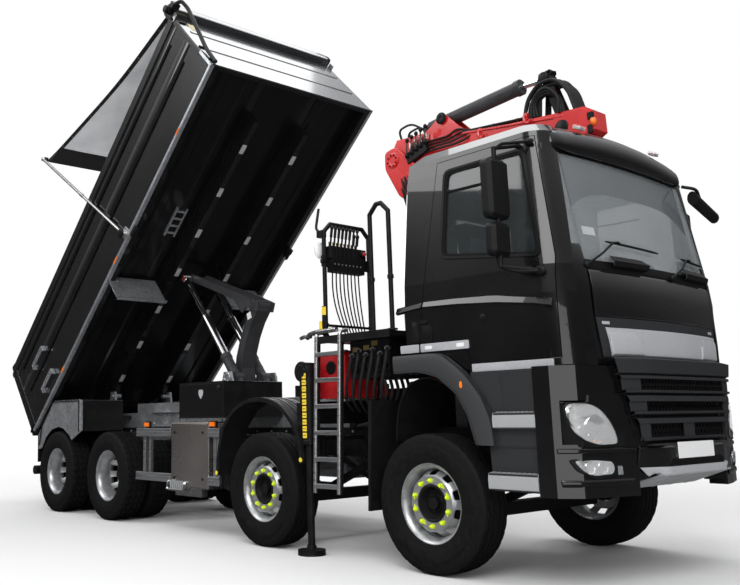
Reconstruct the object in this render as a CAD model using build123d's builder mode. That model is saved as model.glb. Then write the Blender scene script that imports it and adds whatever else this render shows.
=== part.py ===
from build123d import *
import os
from math import acos, atan2, cos, hypot, radians, sin

os.makedirs("parts", exist_ok=True)

# ---------------------------------------------------------------------------
# Four-axle tipper truck with a loader crane. Millimetres, +X forward, +Y left,
# +Z up, origin on the ground below the middle of the truck's bounding box.
# ---------------------------------------------------------------------------

# Axles and wheels
axle_1_x = 3322.0
front_spread = 2048.0
axle_1_to_3 = 5074.0
bogie_spread = 1396.0
axle_2_x = axle_1_x - front_spread
axle_3_x = axle_1_x - axle_1_to_3
axle_4_x = axle_3_x - bogie_spread
tyre_radius = 518.0
wheel_centre_z = tyre_radius
tyre_y = 1088.0
tyre_half_width = 157.0
twin_spacing = 352.0
hub_radius = 108.0
spindle_radius = 45.0
stub_radius = 50.0
running_clearance = 0.05
seat_gap = 0.3
kingpin_y = 985.0
kingpin_radius = 35.0
front_beam_height = 100.0
front_beam_width = 110.0
front_beam_top = 470.0
rear_axle_tube_radius = 75.0
differential_radius = 205.0
differential_width = 260.0

# Chassis frame
rail_inner_y = 380.0
rail_thickness = 65.0
rail_bottom_z = 800.0
rail_top_z = 1070.0
frame_front_x = axle_1_x + 1200.0
frame_rear_x = axle_4_x - 600.0
cross_member_width = 90.0
rail_outer_y = rail_inner_y + rail_thickness

# Galvanised subframe
subframe_rear_height = 190.0
subframe_height = 310.0
subframe_step_x = axle_3_x - 620.0
subframe_front_x = axle_1_x - 1650.0

# Tipping body, in the lowered position, and its hinge
tip_angle = 42.5
hinge_x = axle_4_x + 110.0
hinge_z = 1500.0
hinge_pin_radius = 30.0
bed_bottom_z = 1688.0
bed_height = 1240.0
bed_front_x = axle_1_x - 1384.0
bed_rear_x = axle_1_x - 7262.0
bed_half_width = 1250.0
bed_wall = 50.0
bed_floor_lift = 150.0
bed_floor_thickness = 20.0
bed_rail_height = 110.0
bed_beam_y = 352.0
bed_beam_width = 70.0
bed_beam_drop = 285.0
tailgate_thickness = 60.0
tailgate_axis_lift = 60.0
arm_pivot_x = axle_1_x - 3823.0
arm_length = 2900.0
arm_lean = 15.0

# Tipping gear
hoist_column_x = axle_1_x - 3865.0
hoist_column_z = 1527.0
hoist_column_length = 1020.0
hoist_shaft_x = axle_1_x - 4920.0
hoist_shaft_z = 3000.0
hoist_lever_length = 1443.0
ram_pivot_x = axle_1_x - 3800.0
ram_pivot_z = 1640.0
ram_y = 200.0
ram_radius = 62.0
ram_rod_radius = 38.0
hoist_pin_radius = 28.0

# Cab
cab_wall = 40.0
cab_floor_z = 1500.0
glass_thickness = 8.0
door_gap = 5.0

# Crane
crane_x = axle_1_x - 800.0
crane_y = -150.0
mast_base_z = 1480.0
mast_radius = 150.0
boom_pivot_x = axle_1_x - 1080.0
boom_pivot_z = 3640.0
knee_x = axle_1_x + 760.0
knee_z = 3480.0
boom_pin_radius = 40.0
outrigger_x = axle_1_x - 1425.0
leg_x = axle_1_x - 1380.0
leg_y = 1200.0

cs, sn = cos(radians(tip_angle)), sin(radians(tip_angle))


# ---------------------------------------------------------------------------
# Shape helpers: each adds to, or cuts from, the part being built
# ---------------------------------------------------------------------------
def block(x0, x1, y0, y1, z0, z1, mode=Mode.ADD):
    with Locations(((x0 + x1) / 2, (y0 + y1) / 2, (z0 + z1) / 2)):
        Box(x1 - x0, y1 - y0, z1 - z0, mode=mode)


def bar(start, end, radius, mode=Mode.ADD):
    first, last = Vector(*start), Vector(*end)
    with Locations(Plane(origin=(first + last) * 0.5, z_dir=last - first)):
        Cylinder(radius, (last - first).length, mode=mode)


def side_plate(points, y0, y1, mode=Mode.ADD):
    with BuildSketch(Plane.XZ.offset(-y1)) as outline:
        with BuildLine():
            Polyline(*points, close=True)
        make_face()
    extrude(outline.sketch, amount=y1 - y0, mode=mode)


def front_plate(points, x0, x1, mode=Mode.ADD):
    with BuildSketch(Plane.YZ.offset(x0)) as outline:
        with BuildLine():
            Polyline(*points, close=True)
        make_face()
    extrude(outline.sketch, amount=x1 - x0, mode=mode)


def flat_plate(points, z0, z1, mode=Mode.ADD):
    with BuildSketch(Plane.XY.offset(z0)) as outline:
        with BuildLine():
            Polyline(*points, close=True)
        make_face()
    extrude(outline.sketch, amount=z1 - z0, mode=mode)


def save(part, name):
    part.label = name
    export_step(part, f"parts/{name}.step")


raise_bed = Location((hinge_x, 0, hinge_z), (0, -tip_angle, 0)) * Location((-hinge_x, 0, -hinge_z))


def ax(offset):
    """X of a point given ahead of the first axle."""
    return axle_1_x + offset


# ---------------------------------------------------------------------------
# Wheels: tyre, rim and hub of each wheel turned in one section
# columns: offset outward from the tyre's middle, radius
# ---------------------------------------------------------------------------
rim_seat = 296.0
hub_inner = -35.0
hub_bore_end = 98.0
tyre_outline = [
    (-125, rim_seat), (-tyre_half_width, 400), (-138, tyre_radius - 22), (-105, tyre_radius),
    (105, tyre_radius), (138, tyre_radius - 22), (tyre_half_width, 400), (125, rim_seat),
]
front_wheel_section = tyre_outline + [
    (112, 276), (58, 268), (100, 190), (106, hub_radius),
    (150, hub_radius - 6), (150, 0), (hub_bore_end, 0),
    (hub_bore_end, spindle_radius + running_clearance),
    (hub_inner, spindle_radius + running_clearance), (hub_inner, hub_radius),
    (90, hub_radius), (86, 186), (40, 258), (-112, 270),
]
twin_hub_end = 20.0
twin_hub_inner = -twin_spacing - 100.0
rear_wheel_section = tyre_outline + [
    (112, 276), (-130, 262), (-158, 240), (-158, hub_radius + 12),
    (twin_hub_end, hub_radius), (twin_hub_end, 0), (-60, 0),
    (-60, stub_radius + running_clearance), (twin_hub_inner, stub_radius + running_clearance),
    (twin_hub_inner, hub_radius + 12), (-194, hub_radius + 12), (-194, 240), (-222, 262),
    (-twin_spacing - 112, 276), (-twin_spacing - 125, rim_seat),
    (-twin_spacing - tyre_half_width, 400), (-twin_spacing - 138, tyre_radius - 22),
    (-twin_spacing - 105, tyre_radius), (-twin_spacing + 105, tyre_radius),
    (-twin_spacing + 138, tyre_radius - 22), (-twin_spacing + tyre_half_width, 400),
    (-twin_spacing + 125, rim_seat), (-twin_spacing + 120, 282), (-120, 282),
]

# columns: name, axle x, section
wheel_table = [
    ("wheel_1", axle_1_x, front_wheel_section),
    ("wheel_2", axle_2_x, front_wheel_section),
    ("twin_wheels_3", axle_3_x, rear_wheel_section),
    ("twin_wheels_4", axle_4_x, rear_wheel_section),
]
for stem, axle_x, section in wheel_table:
    for side_name, side in (("right", -1), ("left", 1)):
        with BuildPart() as wheel:
            with BuildSketch(Plane.YZ.offset(axle_x)):
                with BuildLine():
                    Polyline(*[(side * (tyre_y + w), wheel_centre_z + r) for w, r in section], close=True)
                make_face()
            revolve(axis=Axis((axle_x, 0, wheel_centre_z), (0, 1, 0)))
        save(wheel.part, f"{stem}_{side_name}")

# ---------------------------------------------------------------------------
# Front axle beams with fixed kingpins, and the steering knuckles
# ---------------------------------------------------------------------------
knuckle_ring_radius = 60.0
knuckle_bottom_z = front_beam_top + 0.3
knuckle_top_z = 640.0
kingpin_top_z = 655.0
spindle_shoulder_radius = 55.0
with BuildPart() as front_axles:
    for axle_x in (axle_1_x, axle_2_x):
        block(axle_x - front_beam_width / 2, axle_x + front_beam_width / 2,
              -kingpin_y, kingpin_y, front_beam_top - front_beam_height, front_beam_top)
        for side in (-1, 1):
            bar((axle_x, side * kingpin_y, front_beam_top - front_beam_height),
                (axle_x, side * kingpin_y, front_beam_top), kingpin_radius + 3)
            bar((axle_x, side * kingpin_y, front_beam_top - 10), (axle_x, side * kingpin_y, kingpin_top_z),
                kingpin_radius)
save(front_axles.part, "front_axles")

for stem, axle_x in (("knuckle_1", axle_1_x), ("knuckle_2", axle_2_x)):
    for side_name, side in (("right", -1), ("left", 1)):
        with BuildPart() as knuckle:
            bar((axle_x, side * kingpin_y, knuckle_bottom_z), (axle_x, side * kingpin_y, knuckle_top_z),
                knuckle_ring_radius)
            bar((axle_x, side * kingpin_y, wheel_centre_z),
                (axle_x, side * (tyre_y + hub_bore_end - 3), wheel_centre_z), spindle_radius)
            bar((axle_x, side * (tyre_y + hub_inner - 14), wheel_centre_z),
                (axle_x, side * (tyre_y + hub_inner - 0.3), wheel_centre_z), spindle_shoulder_radius)
            bar((axle_x, side * kingpin_y, knuckle_bottom_z - 1), (axle_x, side * kingpin_y, knuckle_top_z + 1),
                kingpin_radius + running_clearance, mode=Mode.SUBTRACT)
        save(knuckle.part, f"{stem}_{side_name}")

# ---------------------------------------------------------------------------
# Rear axles, leaf springs
# ---------------------------------------------------------------------------
backplate_radius = 190.0
rear_spring_seat_z = 640.0
with BuildPart() as rear_axles:
    for axle_x in (axle_3_x, axle_4_x):
        inner_face = tyre_y - twin_spacing - tyre_half_width
        bar((axle_x, -inner_face + 20, wheel_centre_z), (axle_x, inner_face - 20, wheel_centre_z),
            rear_axle_tube_radius)
        for side in (-1, 1):
            bar((axle_x, side * (inner_face - 60), wheel_centre_z), (axle_x, side * (inner_face - 14), wheel_centre_z),
                backplate_radius)
            bar((axle_x, side * (inner_face - 60), wheel_centre_z), (axle_x, side * (tyre_y - 64), wheel_centre_z),
                stub_radius)
            block(axle_x - 90, axle_x + 90, side * (rail_inner_y + rail_thickness / 2) - 32,
                  side * (rail_inner_y + rail_thickness / 2) + 32, wheel_centre_z, rear_spring_seat_z)
        bar((axle_x, -differential_width / 2, wheel_centre_z), (axle_x, differential_width / 2, wheel_centre_z),
            differential_radius)
save(rear_axles.part, "rear_axles")

# columns: axle x, half length, height of the seat on the axle
spring_table = [
    (axle_1_x, 760.0, front_beam_top),
    (axle_2_x, 760.0, front_beam_top),
    (axle_3_x, 600.0, rear_spring_seat_z),
    (axle_4_x, 600.0, rear_spring_seat_z),
]
leaf_pack = 70.0
with BuildPart() as leaf_springs:
    for axle_x, half_length, seat_z in spring_table:
        outline = [
            (axle_x - 100, seat_z), (axle_x + 100, seat_z),
            (axle_x + half_length, rail_bottom_z - leaf_pack * 0.6), (axle_x + half_length, rail_bottom_z),
            (axle_x + half_length - 60, rail_bottom_z), (axle_x + 100, seat_z + leaf_pack),
            (axle_x - 100, seat_z + leaf_pack), (axle_x - half_length + 60, rail_bottom_z),
            (axle_x - half_length, rail_bottom_z), (axle_x - half_length, rail_bottom_z - leaf_pack * 0.6),
        ]
        for side in (-1, 1):
            middle = side * (rail_inner_y + rail_thickness / 2)
            side_plate(outline, middle - 30, middle + 30)
save(leaf_springs.part, "leaf_springs")

# ---------------------------------------------------------------------------
# Chassis frame: two rails and their cross members
# ---------------------------------------------------------------------------
with BuildPart() as chassis_frame:
    for side in (-1, 1):
        inner, outer = sorted((side * rail_inner_y, side * rail_outer_y))
        block(frame_rear_x, frame_front_x, inner, outer, rail_bottom_z, rail_top_z)
    for member_x in (ax(1120), ax(-700), ax(-2300), axle_3_x + 620, axle_3_x - bogie_spread / 2, frame_rear_x + 60):
        block(member_x - cross_member_width / 2, member_x + cross_member_width / 2,
              -rail_inner_y, rail_inner_y, rail_bottom_z + 40, rail_top_z - 40)
    # cab mounts on the rails
    for mount_x in (ax(-180), ax(1040)):
        for side in (-1, 1):
            inner, outer = sorted((side * (rail_inner_y + 10), side * (rail_outer_y - 10)))
            block(mount_x - 50, mount_x + 50, inner, outer, rail_top_z - 1, cab_floor_z - seat_gap)
save(chassis_frame.part, "chassis_frame")

with BuildPart() as engine_block:
    block(ax(-400), ax(960), -rail_inner_y + 10, rail_inner_y - 10, rail_bottom_z - 60, cab_floor_z - 60)
    # engine feet between the rails
    for foot_x in (ax(-250), ax(700)):
        block(foot_x - 60, foot_x + 60, -rail_inner_y + seat_gap, rail_inner_y - seat_gap,
              rail_bottom_z + 80, rail_bottom_z + 180)
save(engine_block.part, "engine_block")

# ---------------------------------------------------------------------------
# Galvanised subframe with the hinge brackets and the tipping gear's cradle
# ---------------------------------------------------------------------------
bracket_thickness = 30.0
bracket_half_length = 110.0
cradle_plate_y = 318.0
cradle_plate_thickness = 25.0
with BuildPart() as subframe:
    profile = [
        (frame_rear_x, rail_top_z), (subframe_front_x, rail_top_z),
        (subframe_front_x, rail_top_z + subframe_height), (subframe_step_x, rail_top_z + subframe_height),
        (subframe_step_x, rail_top_z + subframe_rear_height), (frame_rear_x, rail_top_z + subframe_rear_height),
    ]
    side_plate(profile, rail_inner_y, rail_outer_y)
    bracket = [
        (hinge_x - bracket_half_length, rail_top_z + subframe_rear_height - 20),
        (hinge_x + bracket_half_length, rail_top_z + subframe_rear_height - 20),
        (hinge_x + 55, hinge_z + 60), (hinge_x - 55, hinge_z + 60),
    ]
    side_plate(bracket, rail_outer_y - 10, rail_outer_y - 10 + bracket_thickness)
    # cradle: inside the rails, from the rail's depth up to the column's pivot
    cradle = [
        (hoist_column_x - 230, rail_top_z + 40), (hoist_column_x + 330, rail_top_z + 40),
        (ram_pivot_x + 105, ram_pivot_z - 60), (ram_pivot_x + 60, ram_pivot_z + 75),
        (ram_pivot_x - 75, ram_pivot_z + 75), (hoist_column_x - 75, hoist_column_z - 20),
    ]
    side_plate(cradle, cradle_plate_y, cradle_plate_y + cradle_plate_thickness)
    block(hoist_column_x - 150, hoist_column_x + 150, cradle_plate_y + cradle_plate_thickness - 5,
          rail_inner_y + 5, rail_top_z + 60, rail_top_z + 200)
    mirror(about=Plane.XZ)
    bar((hoist_column_x, -cradle_plate_y - 20, hoist_column_z), (hoist_column_x, cradle_plate_y + 20, hoist_column_z),
        hoist_pin_radius)
    bar((ram_pivot_x, -cradle_plate_y - 40, ram_pivot_z), (ram_pivot_x, cradle_plate_y + 40, ram_pivot_z),
        hoist_pin_radius + running_clearance, mode=Mode.SUBTRACT)
    for side in (-1, 1):
        bar((hinge_x, side * (bed_beam_y - 12), hinge_z), (hinge_x, side * (rail_outer_y + 30), hinge_z),
            hinge_pin_radius)
    for member_x in (ax(-1800), ax(-2650), ax(-4500), subframe_step_x + 100, axle_4_x - 500):
        block(member_x - 40, member_x + 40, -rail_inner_y - 5, rail_inner_y + 5,
              rail_top_z + 20, rail_top_z + subframe_rear_height - 20)
save(subframe.part, "subframe")

# ---------------------------------------------------------------------------
# Tipping body, built lowered and then raised about its hinge
# ---------------------------------------------------------------------------
bed_top_z = bed_bottom_z + bed_height
floor_under_z = bed_bottom_z + bed_floor_lift
housing_height = 150.0
deflector_x = axle_1_x - 4500.0
deflector_bottom_z = 1345.0
with BuildPart() as tipper_body:
    block(bed_rear_x, bed_front_x, -bed_half_width, bed_half_width, bed_bottom_z, bed_top_z)
    # load space, open at the rear and at the top
    block(bed_rear_x - 1, bed_front_x - bed_wall, -bed_half_width + bed_wall, bed_half_width - bed_wall,
          floor_under_z + bed_floor_thickness, bed_top_z + 1, mode=Mode.SUBTRACT)
    # hollow below the floor, inside the side rails and the bulkhead
    block(bed_rear_x - 1, bed_front_x - bed_wall, -bed_half_width + bed_rail_height,
          bed_half_width - bed_rail_height, bed_bottom_z - 1, floor_under_z, mode=Mode.SUBTRACT)
    # long beams that rest over the subframe and carry the hinge
    beam = [
        (hinge_x - 70, hinge_z - 40), (hinge_x + 120, floor_under_z - bed_beam_drop * 0.83),
        (bed_front_x - 500, floor_under_z - bed_beam_drop * 0.83), (bed_front_x - 500, floor_under_z + 2),
        (hinge_x - 500, floor_under_z + 2), (hinge_x - 500, floor_under_z - 60), (hinge_x - 110, hinge_z + 70),
    ]
    for side in (-1, 1):
        low, high = sorted((side * bed_beam_y, side * (bed_beam_y + bed_beam_width)))
        side_plate(beam, low, high)
        bar((hinge_x, low - 1, hinge_z), (hinge_x, high + 1, hinge_z), hinge_pin_radius + running_clearance,
            mode=Mode.SUBTRACT)
        # swages pressed into the side wall
        for swage_z in (bed_bottom_z + 330, bed_bottom_z + 760):
            y_in, y_out = sorted((side * (bed_half_width - 18), side * (bed_half_width + 1)))
            block(bed_rear_x + 260, bed_front_x - 260, y_in, y_out, swage_z, swage_z + 230, mode=Mode.SUBTRACT)
        # deflector plate that hangs ahead of the rear wheels
        low, high = sorted((side * 520, side * (bed_half_width - 15)))
        block(deflector_x - 4, deflector_x + 4, low, high, deflector_bottom_z, floor_under_z + 2)
        block(deflector_x - 4, deflector_x + 30, low, high, deflector_bottom_z, deflector_bottom_z + 8)
    # sheet housing along the top of the bulkhead
    block(bed_front_x - 60, bed_front_x + 85, -bed_half_width, bed_half_width, bed_top_z, bed_top_z + housing_height)

# ---------------------------------------------------------------------------
# Tailgate, hung from pins above the rear corners
# ---------------------------------------------------------------------------
gate_axis_x = bed_rear_x - 35.0
gate_axis_z = bed_top_z + tailgate_axis_lift
gate_pin_radius = 20.0
hanger_y = 1120.0
hanger_width = 50.0
with BuildPart() as tailgate_ears:
    for side in (-1, 1):
        low, high = sorted((side * (hanger_y + hanger_width + 5), side * (hanger_y + hanger_width + 45)))
        side_plate([
            (bed_rear_x + 2, bed_top_z - 120), (bed_rear_x + 160, bed_top_z), (gate_axis_x + 40, gate_axis_z + 40),
            (gate_axis_x - 35, gate_axis_z + 35), (gate_axis_x - 35, gate_axis_z - 35), (bed_rear_x + 2, bed_top_z - 20),
        ], low, high)
        bar((gate_axis_x, side * (hanger_y - 8), gate_axis_z), (gate_axis_x, side * (hanger_y + hanger_width + 20),
            gate_axis_z), gate_pin_radius)
with BuildPart() as tipper_shell:
    add(tipper_body.part)
    add(tailgate_ears.part)
    for side in (-1, 1):
        # pins of the sheet arms
        bar((arm_pivot_x, side * (bed_half_width - 10), bed_bottom_z + 90),
            (arm_pivot_x, side * (bed_half_width + 55), bed_bottom_z + 90), 16.0)
        # lugs beside the tipping gear's shaft
        low, high = sorted((side * 292, side * 320))
        shaft = Vector(*(raise_bed.inverse() * Location((hoist_shaft_x, 0, hoist_shaft_z))).position)
        side_plate([
            (shaft.X - 60, shaft.Z - 50), (shaft.X + 60, shaft.Z - 50),
            (shaft.X + 160, floor_under_z + 2), (shaft.X - 160, floor_under_z + 2),
        ], low, high)
save(tipper_shell.part.moved(raise_bed), "tipper_body")

with BuildPart() as tailgate:
    block(bed_rear_x - 3 - tailgate_thickness, bed_rear_x - 3, -bed_half_width + 5, bed_half_width - 5,
          bed_bottom_z, bed_top_z - 30)
    for side in (-1, 1):
        low, high = sorted((side * hanger_y, side * (hanger_y + hanger_width)))
        side_plate([
            (bed_rear_x - 3 - tailgate_thickness, bed_top_z - 150), (bed_rear_x - 3, bed_top_z - 150),
            (bed_rear_x - 3, gate_axis_z + 10), (gate_axis_x, gate_axis_z + 38), (gate_axis_x - 32, gate_axis_z + 10),
        ], low, high)
        bar((gate_axis_x, low - 1, gate_axis_z), (gate_axis_x, high + 1, gate_axis_z),
            gate_pin_radius + running_clearance, mode=Mode.SUBTRACT)
save(tailgate.part.moved(raise_bed), "tailgate")

# ---------------------------------------------------------------------------
# Sheet arms with their cross bar, and the load sheet
# ---------------------------------------------------------------------------
arm_y = bed_half_width + 32.0
arm_tube_radius = 20.0
arm_pivot_z = bed_bottom_z + 90.0
tip_x = arm_pivot_x - arm_length * sin(radians(arm_lean))
tip_z = arm_pivot_z + arm_length * cos(radians(arm_lean))
with BuildPart() as sheet_arms:
    for side in (-1, 1):
        bar((arm_pivot_x, side * arm_y, arm_pivot_z), (tip_x, side * arm_y, tip_z), arm_tube_radius)
        bar((arm_pivot_x, side * (arm_y - 25), arm_pivot_z), (arm_pivot_x, side * (arm_y + 25), arm_pivot_z), 42.0)
        bar((arm_pivot_x, side * (arm_y - 40), arm_pivot_z), (arm_pivot_x, side * (arm_y + 40), arm_pivot_z),
            16.0 + running_clearance, mode=Mode.SUBTRACT)
    bar((tip_x, -arm_y - 18, tip_z), (tip_x, arm_y + 18, tip_z), 24.0)
save(sheet_arms.part.moved(raise_bed), "sheet_arms")

sheet_thickness = 6.0
with BuildPart() as load_sheet:
    start_x, start_z = bed_front_x + 15, bed_top_z + housing_height + 0.3
    side_plate([
        (start_x, start_z), (start_x, start_z + sheet_thickness),
        (tip_x + 25, tip_z + sheet_thickness - 10), (tip_x + 25, tip_z - 10),
    ], -1190, 1190)
save(load_sheet.part.moved(raise_bed), "load_sheet")

# ---------------------------------------------------------------------------
# Tipping gear: column, lever and two telescopic rams
# ---------------------------------------------------------------------------
span_x, span_z = hoist_shaft_x - hoist_column_x, hoist_shaft_z - hoist_column_z
span = hypot(span_x, span_z)
inside = acos((hoist_column_length**2 + span**2 - hoist_lever_length**2) / (2 * hoist_column_length * span))
column_angle = atan2(span_z, span_x) - inside
knee_pin_x = hoist_column_x + hoist_column_length * cos(column_angle)
knee_pin_z = hoist_column_z + hoist_column_length * sin(column_angle)
# columns: distance from the column's pin towards the knee, distance to the rear
column_outline = [
    (-70, 60), (0, 105), (150, 165), (340, 190), (540, 178), (760, 135), (980, 85), (hoist_column_length + 55, 40),
    (hoist_column_length + 55, -45), (hoist_column_length - 60, -62), (800, 5), (620, 45), (430, 60), (240, 45),
    (100, -10), (0, -85), (-70, -60),
]
with BuildPart() as hoist_column:
    across = (-sin(column_angle), cos(column_angle))
    side_plate([
        (hoist_column_x + cos(column_angle) * along + across[0] * aside,
         hoist_column_z + sin(column_angle) * along + across[1] * aside) for along, aside in column_outline
    ], -98, 98)
    bar((hoist_column_x, -98, hoist_column_z), (hoist_column_x, 98, hoist_column_z), 80.0)
    bar((knee_pin_x, -98, knee_pin_z), (knee_pin_x, 98, knee_pin_z), 62.0)
    bar((knee_pin_x, -132, knee_pin_z), (knee_pin_x, 132, knee_pin_z), hoist_pin_radius)
    bar((hoist_column_x, -100, hoist_column_z), (hoist_column_x, 100, hoist_column_z),
        hoist_pin_radius + running_clearance, mode=Mode.SUBTRACT)
save(hoist_column.part, "hoist_column")

lever_x = (knee_pin_x - hoist_shaft_x) / hoist_lever_length
lever_z = (knee_pin_z - hoist_shaft_z) / hoist_lever_length
lever_up_x, lever_up_z = -lever_z, lever_x
with BuildPart() as hoist_lever:
    for side in (-1, 1):
        low, high = sorted((side * 106, side * 130))
        side_plate([
            (knee_pin_x + 85 * lever_x - 60 * lever_up_x, knee_pin_z + 85 * lever_z - 60 * lever_up_z),
            (knee_pin_x + 85 * lever_x + 55 * lever_up_x, knee_pin_z + 85 * lever_z + 55 * lever_up_z),
            (knee_pin_x + 60 * lever_up_x, knee_pin_z + 60 * lever_up_z),
            (hoist_shaft_x + 62 * lever_up_x, hoist_shaft_z + 62 * lever_up_z),
            (hoist_shaft_x - 55 * lever_x + 20 * lever_up_x, hoist_shaft_z - 55 * lever_z + 20 * lever_up_z),
            (hoist_shaft_x - 30 * lever_up_x, hoist_shaft_z - 30 * lever_up_z),
            (knee_pin_x - 420 * lever_x - 35 * lever_up_x, knee_pin_z - 420 * lever_z - 35 * lever_up_z),
            (knee_pin_x - 190 * lever_x - 150 * lever_up_x, knee_pin_z - 190 * lever_z - 150 * lever_up_z),
            (knee_pin_x - 130 * lever_x - 60 * lever_up_x, knee_pin_z - 130 * lever_z - 60 * lever_up_z),
        ], low, high)
        bar((knee_pin_x, low - 1, knee_pin_z), (knee_pin_x, high + 1, knee_pin_z),
            hoist_pin_radius + running_clearance, mode=Mode.SUBTRACT)
    bar((hoist_shaft_x, -134, hoist_shaft_z), (hoist_shaft_x, 134, hoist_shaft_z), hoist_pin_radius)
save(hoist_lever.part, "hoist_lever")

ram_dx, ram_dz = hoist_shaft_x - ram_pivot_x, hoist_shaft_z - ram_pivot_z
ram_length = hypot(ram_dx, ram_dz)
ram_ux, ram_uz = ram_dx / ram_length, ram_dz / ram_length
barrel_tail = 470.0
barrel_head = 370.0
stage_radius = 50.0
stage_start = 195.0
stage_end = 1040.0
rod_start = 930.0


def along_ram(distance, y):
    return (ram_pivot_x + ram_ux * distance, y, ram_pivot_z + ram_uz * distance)


with BuildPart() as ram_barrels:
    for y in (-ram_y, ram_y):
        bar(along_ram(-barrel_tail, y), along_ram(barrel_head, y), ram_radius)
        bar((ram_pivot_x, y - ram_radius, ram_pivot_z), (ram_pivot_x, y + ram_radius, ram_pivot_z), 75.0)
        trunnion_start, trunnion_end = (ram_y + stage_radius + 5, cradle_plate_y + cradle_plate_thickness - 2)
        side = 1 if y > 0 else -1
        bar((ram_pivot_x, side * trunnion_start, ram_pivot_z), (ram_pivot_x, side * trunnion_end, ram_pivot_z),
            hoist_pin_radius)
    for y in (-ram_y, ram_y):
        bar(along_ram(-barrel_tail + 10, y), along_ram(barrel_head + 1, y), stage_radius + running_clearance,
            mode=Mode.SUBTRACT)
save(ram_barrels.part, "ram_barrels")

with BuildPart() as ram_stages:
    for y in (-ram_y, ram_y):
        bar(along_ram(stage_start, y), along_ram(stage_end, y), stage_radius)
        bar(along_ram(stage_start - 1, y), along_ram(stage_end + 1, y), ram_rod_radius + running_clearance,
            mode=Mode.SUBTRACT)
save(ram_stages.part, "ram_stages")

with BuildPart() as ram_rods:
    for y in (-ram_y, ram_y):
        bar(along_ram(rod_start, y), along_ram(ram_length - 30, y), ram_rod_radius)
        bar((hoist_shaft_x, y - 55, hoist_shaft_z), (hoist_shaft_x, y + 55, hoist_shaft_z), 55.0)
save(ram_rods.part, "ram_rods")

# ---------------------------------------------------------------------------
# Cab: lofted through flat sections
# columns: height, rear x, half width, end of the flat side, corner x, corner y, front x
# ---------------------------------------------------------------------------
cab_sections = [
    (1500, -290, 1160, 1060, 1285, 860, 1372),
    (2000, -290, 1172, 1070, 1268, 860, 1338),
    (2200, -290, 1165, 1060, 1245, 870, 1302),
    (3080, -275, 1085, 958, 1088, 855, 1128),
    (3220, -262, 1070, 940, 1072, 845, 1130),
    (3312, -180, 965, 850, 985, 740, 1085),
]
rear_chamfer = 80.0


def cab_form(inset):
    with BuildPart() as form:
        for index, (height, rear, half, side_end, corner_x, corner_y, front) in enumerate(cab_sections):
            level = height
            if index == 0:
                level = height + inset
            if index == len(cab_sections) - 1:
                level = height - inset
            half_width = half - inset
            corner = (ax(corner_x) - inset * 0.7, corner_y - inset * 0.5)
            side = (ax(side_end) - inset * 0.3, half_width)
            middle = ((side[0] + corner[0]) / 2 + 45, (side[1] + corner[1]) / 2 + 45)
            back = ax(rear) + inset
            with BuildSketch(Plane.XY.offset(level)):
                with BuildLine():
                    Line((back, -half_width + rear_chamfer), (back, half_width - rear_chamfer))
                    Line((back, half_width - rear_chamfer), (back + rear_chamfer, half_width))
                    Line((back + rear_chamfer, half_width), side)
                    ThreePointArc(side, middle, corner)
                    ThreePointArc(corner, (ax(front) - inset, 0), (corner[0], -corner[1]))
                    ThreePointArc((corner[0], -corner[1]), (middle[0], -middle[1]), (side[0], -side[1]))
                    Line((side[0], -side[1]), (back + rear_chamfer, -half_width))
                    Line((back + rear_chamfer, -half_width), (back, -half_width + rear_chamfer))
                make_face()
        loft(ruled=True)
    return form.part


def cab_half_width(height):
    """Half width of the cab's flat side at a height."""
    for low, high in zip(cab_sections, cab_sections[1:]):
        if low[0] <= height <= high[0]:
            return low[2] + (high[2] - low[2]) * (height - low[0]) / (high[0] - low[0])


mirror_arm_radius = 14.0
mirror_foot_radius = 20.0
mirror_foot_x = 900.0
door_outline = [
    (ax(-70), 1690), (ax(-15), 2074), (ax(125), 3175), (ax(1015), 3175), (ax(1150), 2250),
    (ax(1150), 1548), (ax(420), 1548), (ax(380), 1690),
]
door_window_outline = [(ax(195), 2400), (ax(1050), 2285), (ax(922), 3068), (ax(222), 3068)]


def side_prism(points, side, grow):
    """A prism across one side of the cab, its outline grown by a distance."""
    with BuildPart() as prism:
        with BuildSketch(Plane.XZ):
            with BuildLine():
                Polyline(*points, close=True)
            make_face()
            if grow:
                offset(amount=grow, kind=Kind.INTERSECTION)
        extrude(amount=-side * 1300)
    with BuildPart() as slab:
        add(prism.part)
        low, high = sorted((side * 860, side * 1300))
        block(ax(-400), ax(1500), low, high, 1400, 3300, mode=Mode.INTERSECT)
    return slab.part


cab_outer = cab_form(0)
cab_inner = cab_form(cab_wall)


def windscreen_prism(grow):
    """The windscreen's outline seen from the front, narrower at the top, run through the cab's front."""
    outline = [(-1000 - grow, 2240 - grow), (1000 + grow, 2240 - grow), (900 + grow, 3062 + grow),
               (-900 - grow, 3062 + grow)]
    with BuildPart() as prism:
        with BuildSketch(Plane.YZ.offset(ax(850))):
            with BuildLine():
                Polyline(*outline, close=True)
            make_face()
        extrude(amount=650)
    return prism.part


rear_window_zone = (ax(-400), ax(-150), -420, 420, 2380, 2880)
with BuildPart() as cab_shell:
    add(cab_outer)
    add(cab_inner, mode=Mode.SUBTRACT)
    add(windscreen_prism(0), mode=Mode.SUBTRACT)
    block(*rear_window_zone, mode=Mode.SUBTRACT)
    for side in (-1, 1):
        add(side_prism(door_outline, side, door_gap), mode=Mode.SUBTRACT)
save(cab_shell.part, "cab_shell")

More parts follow.
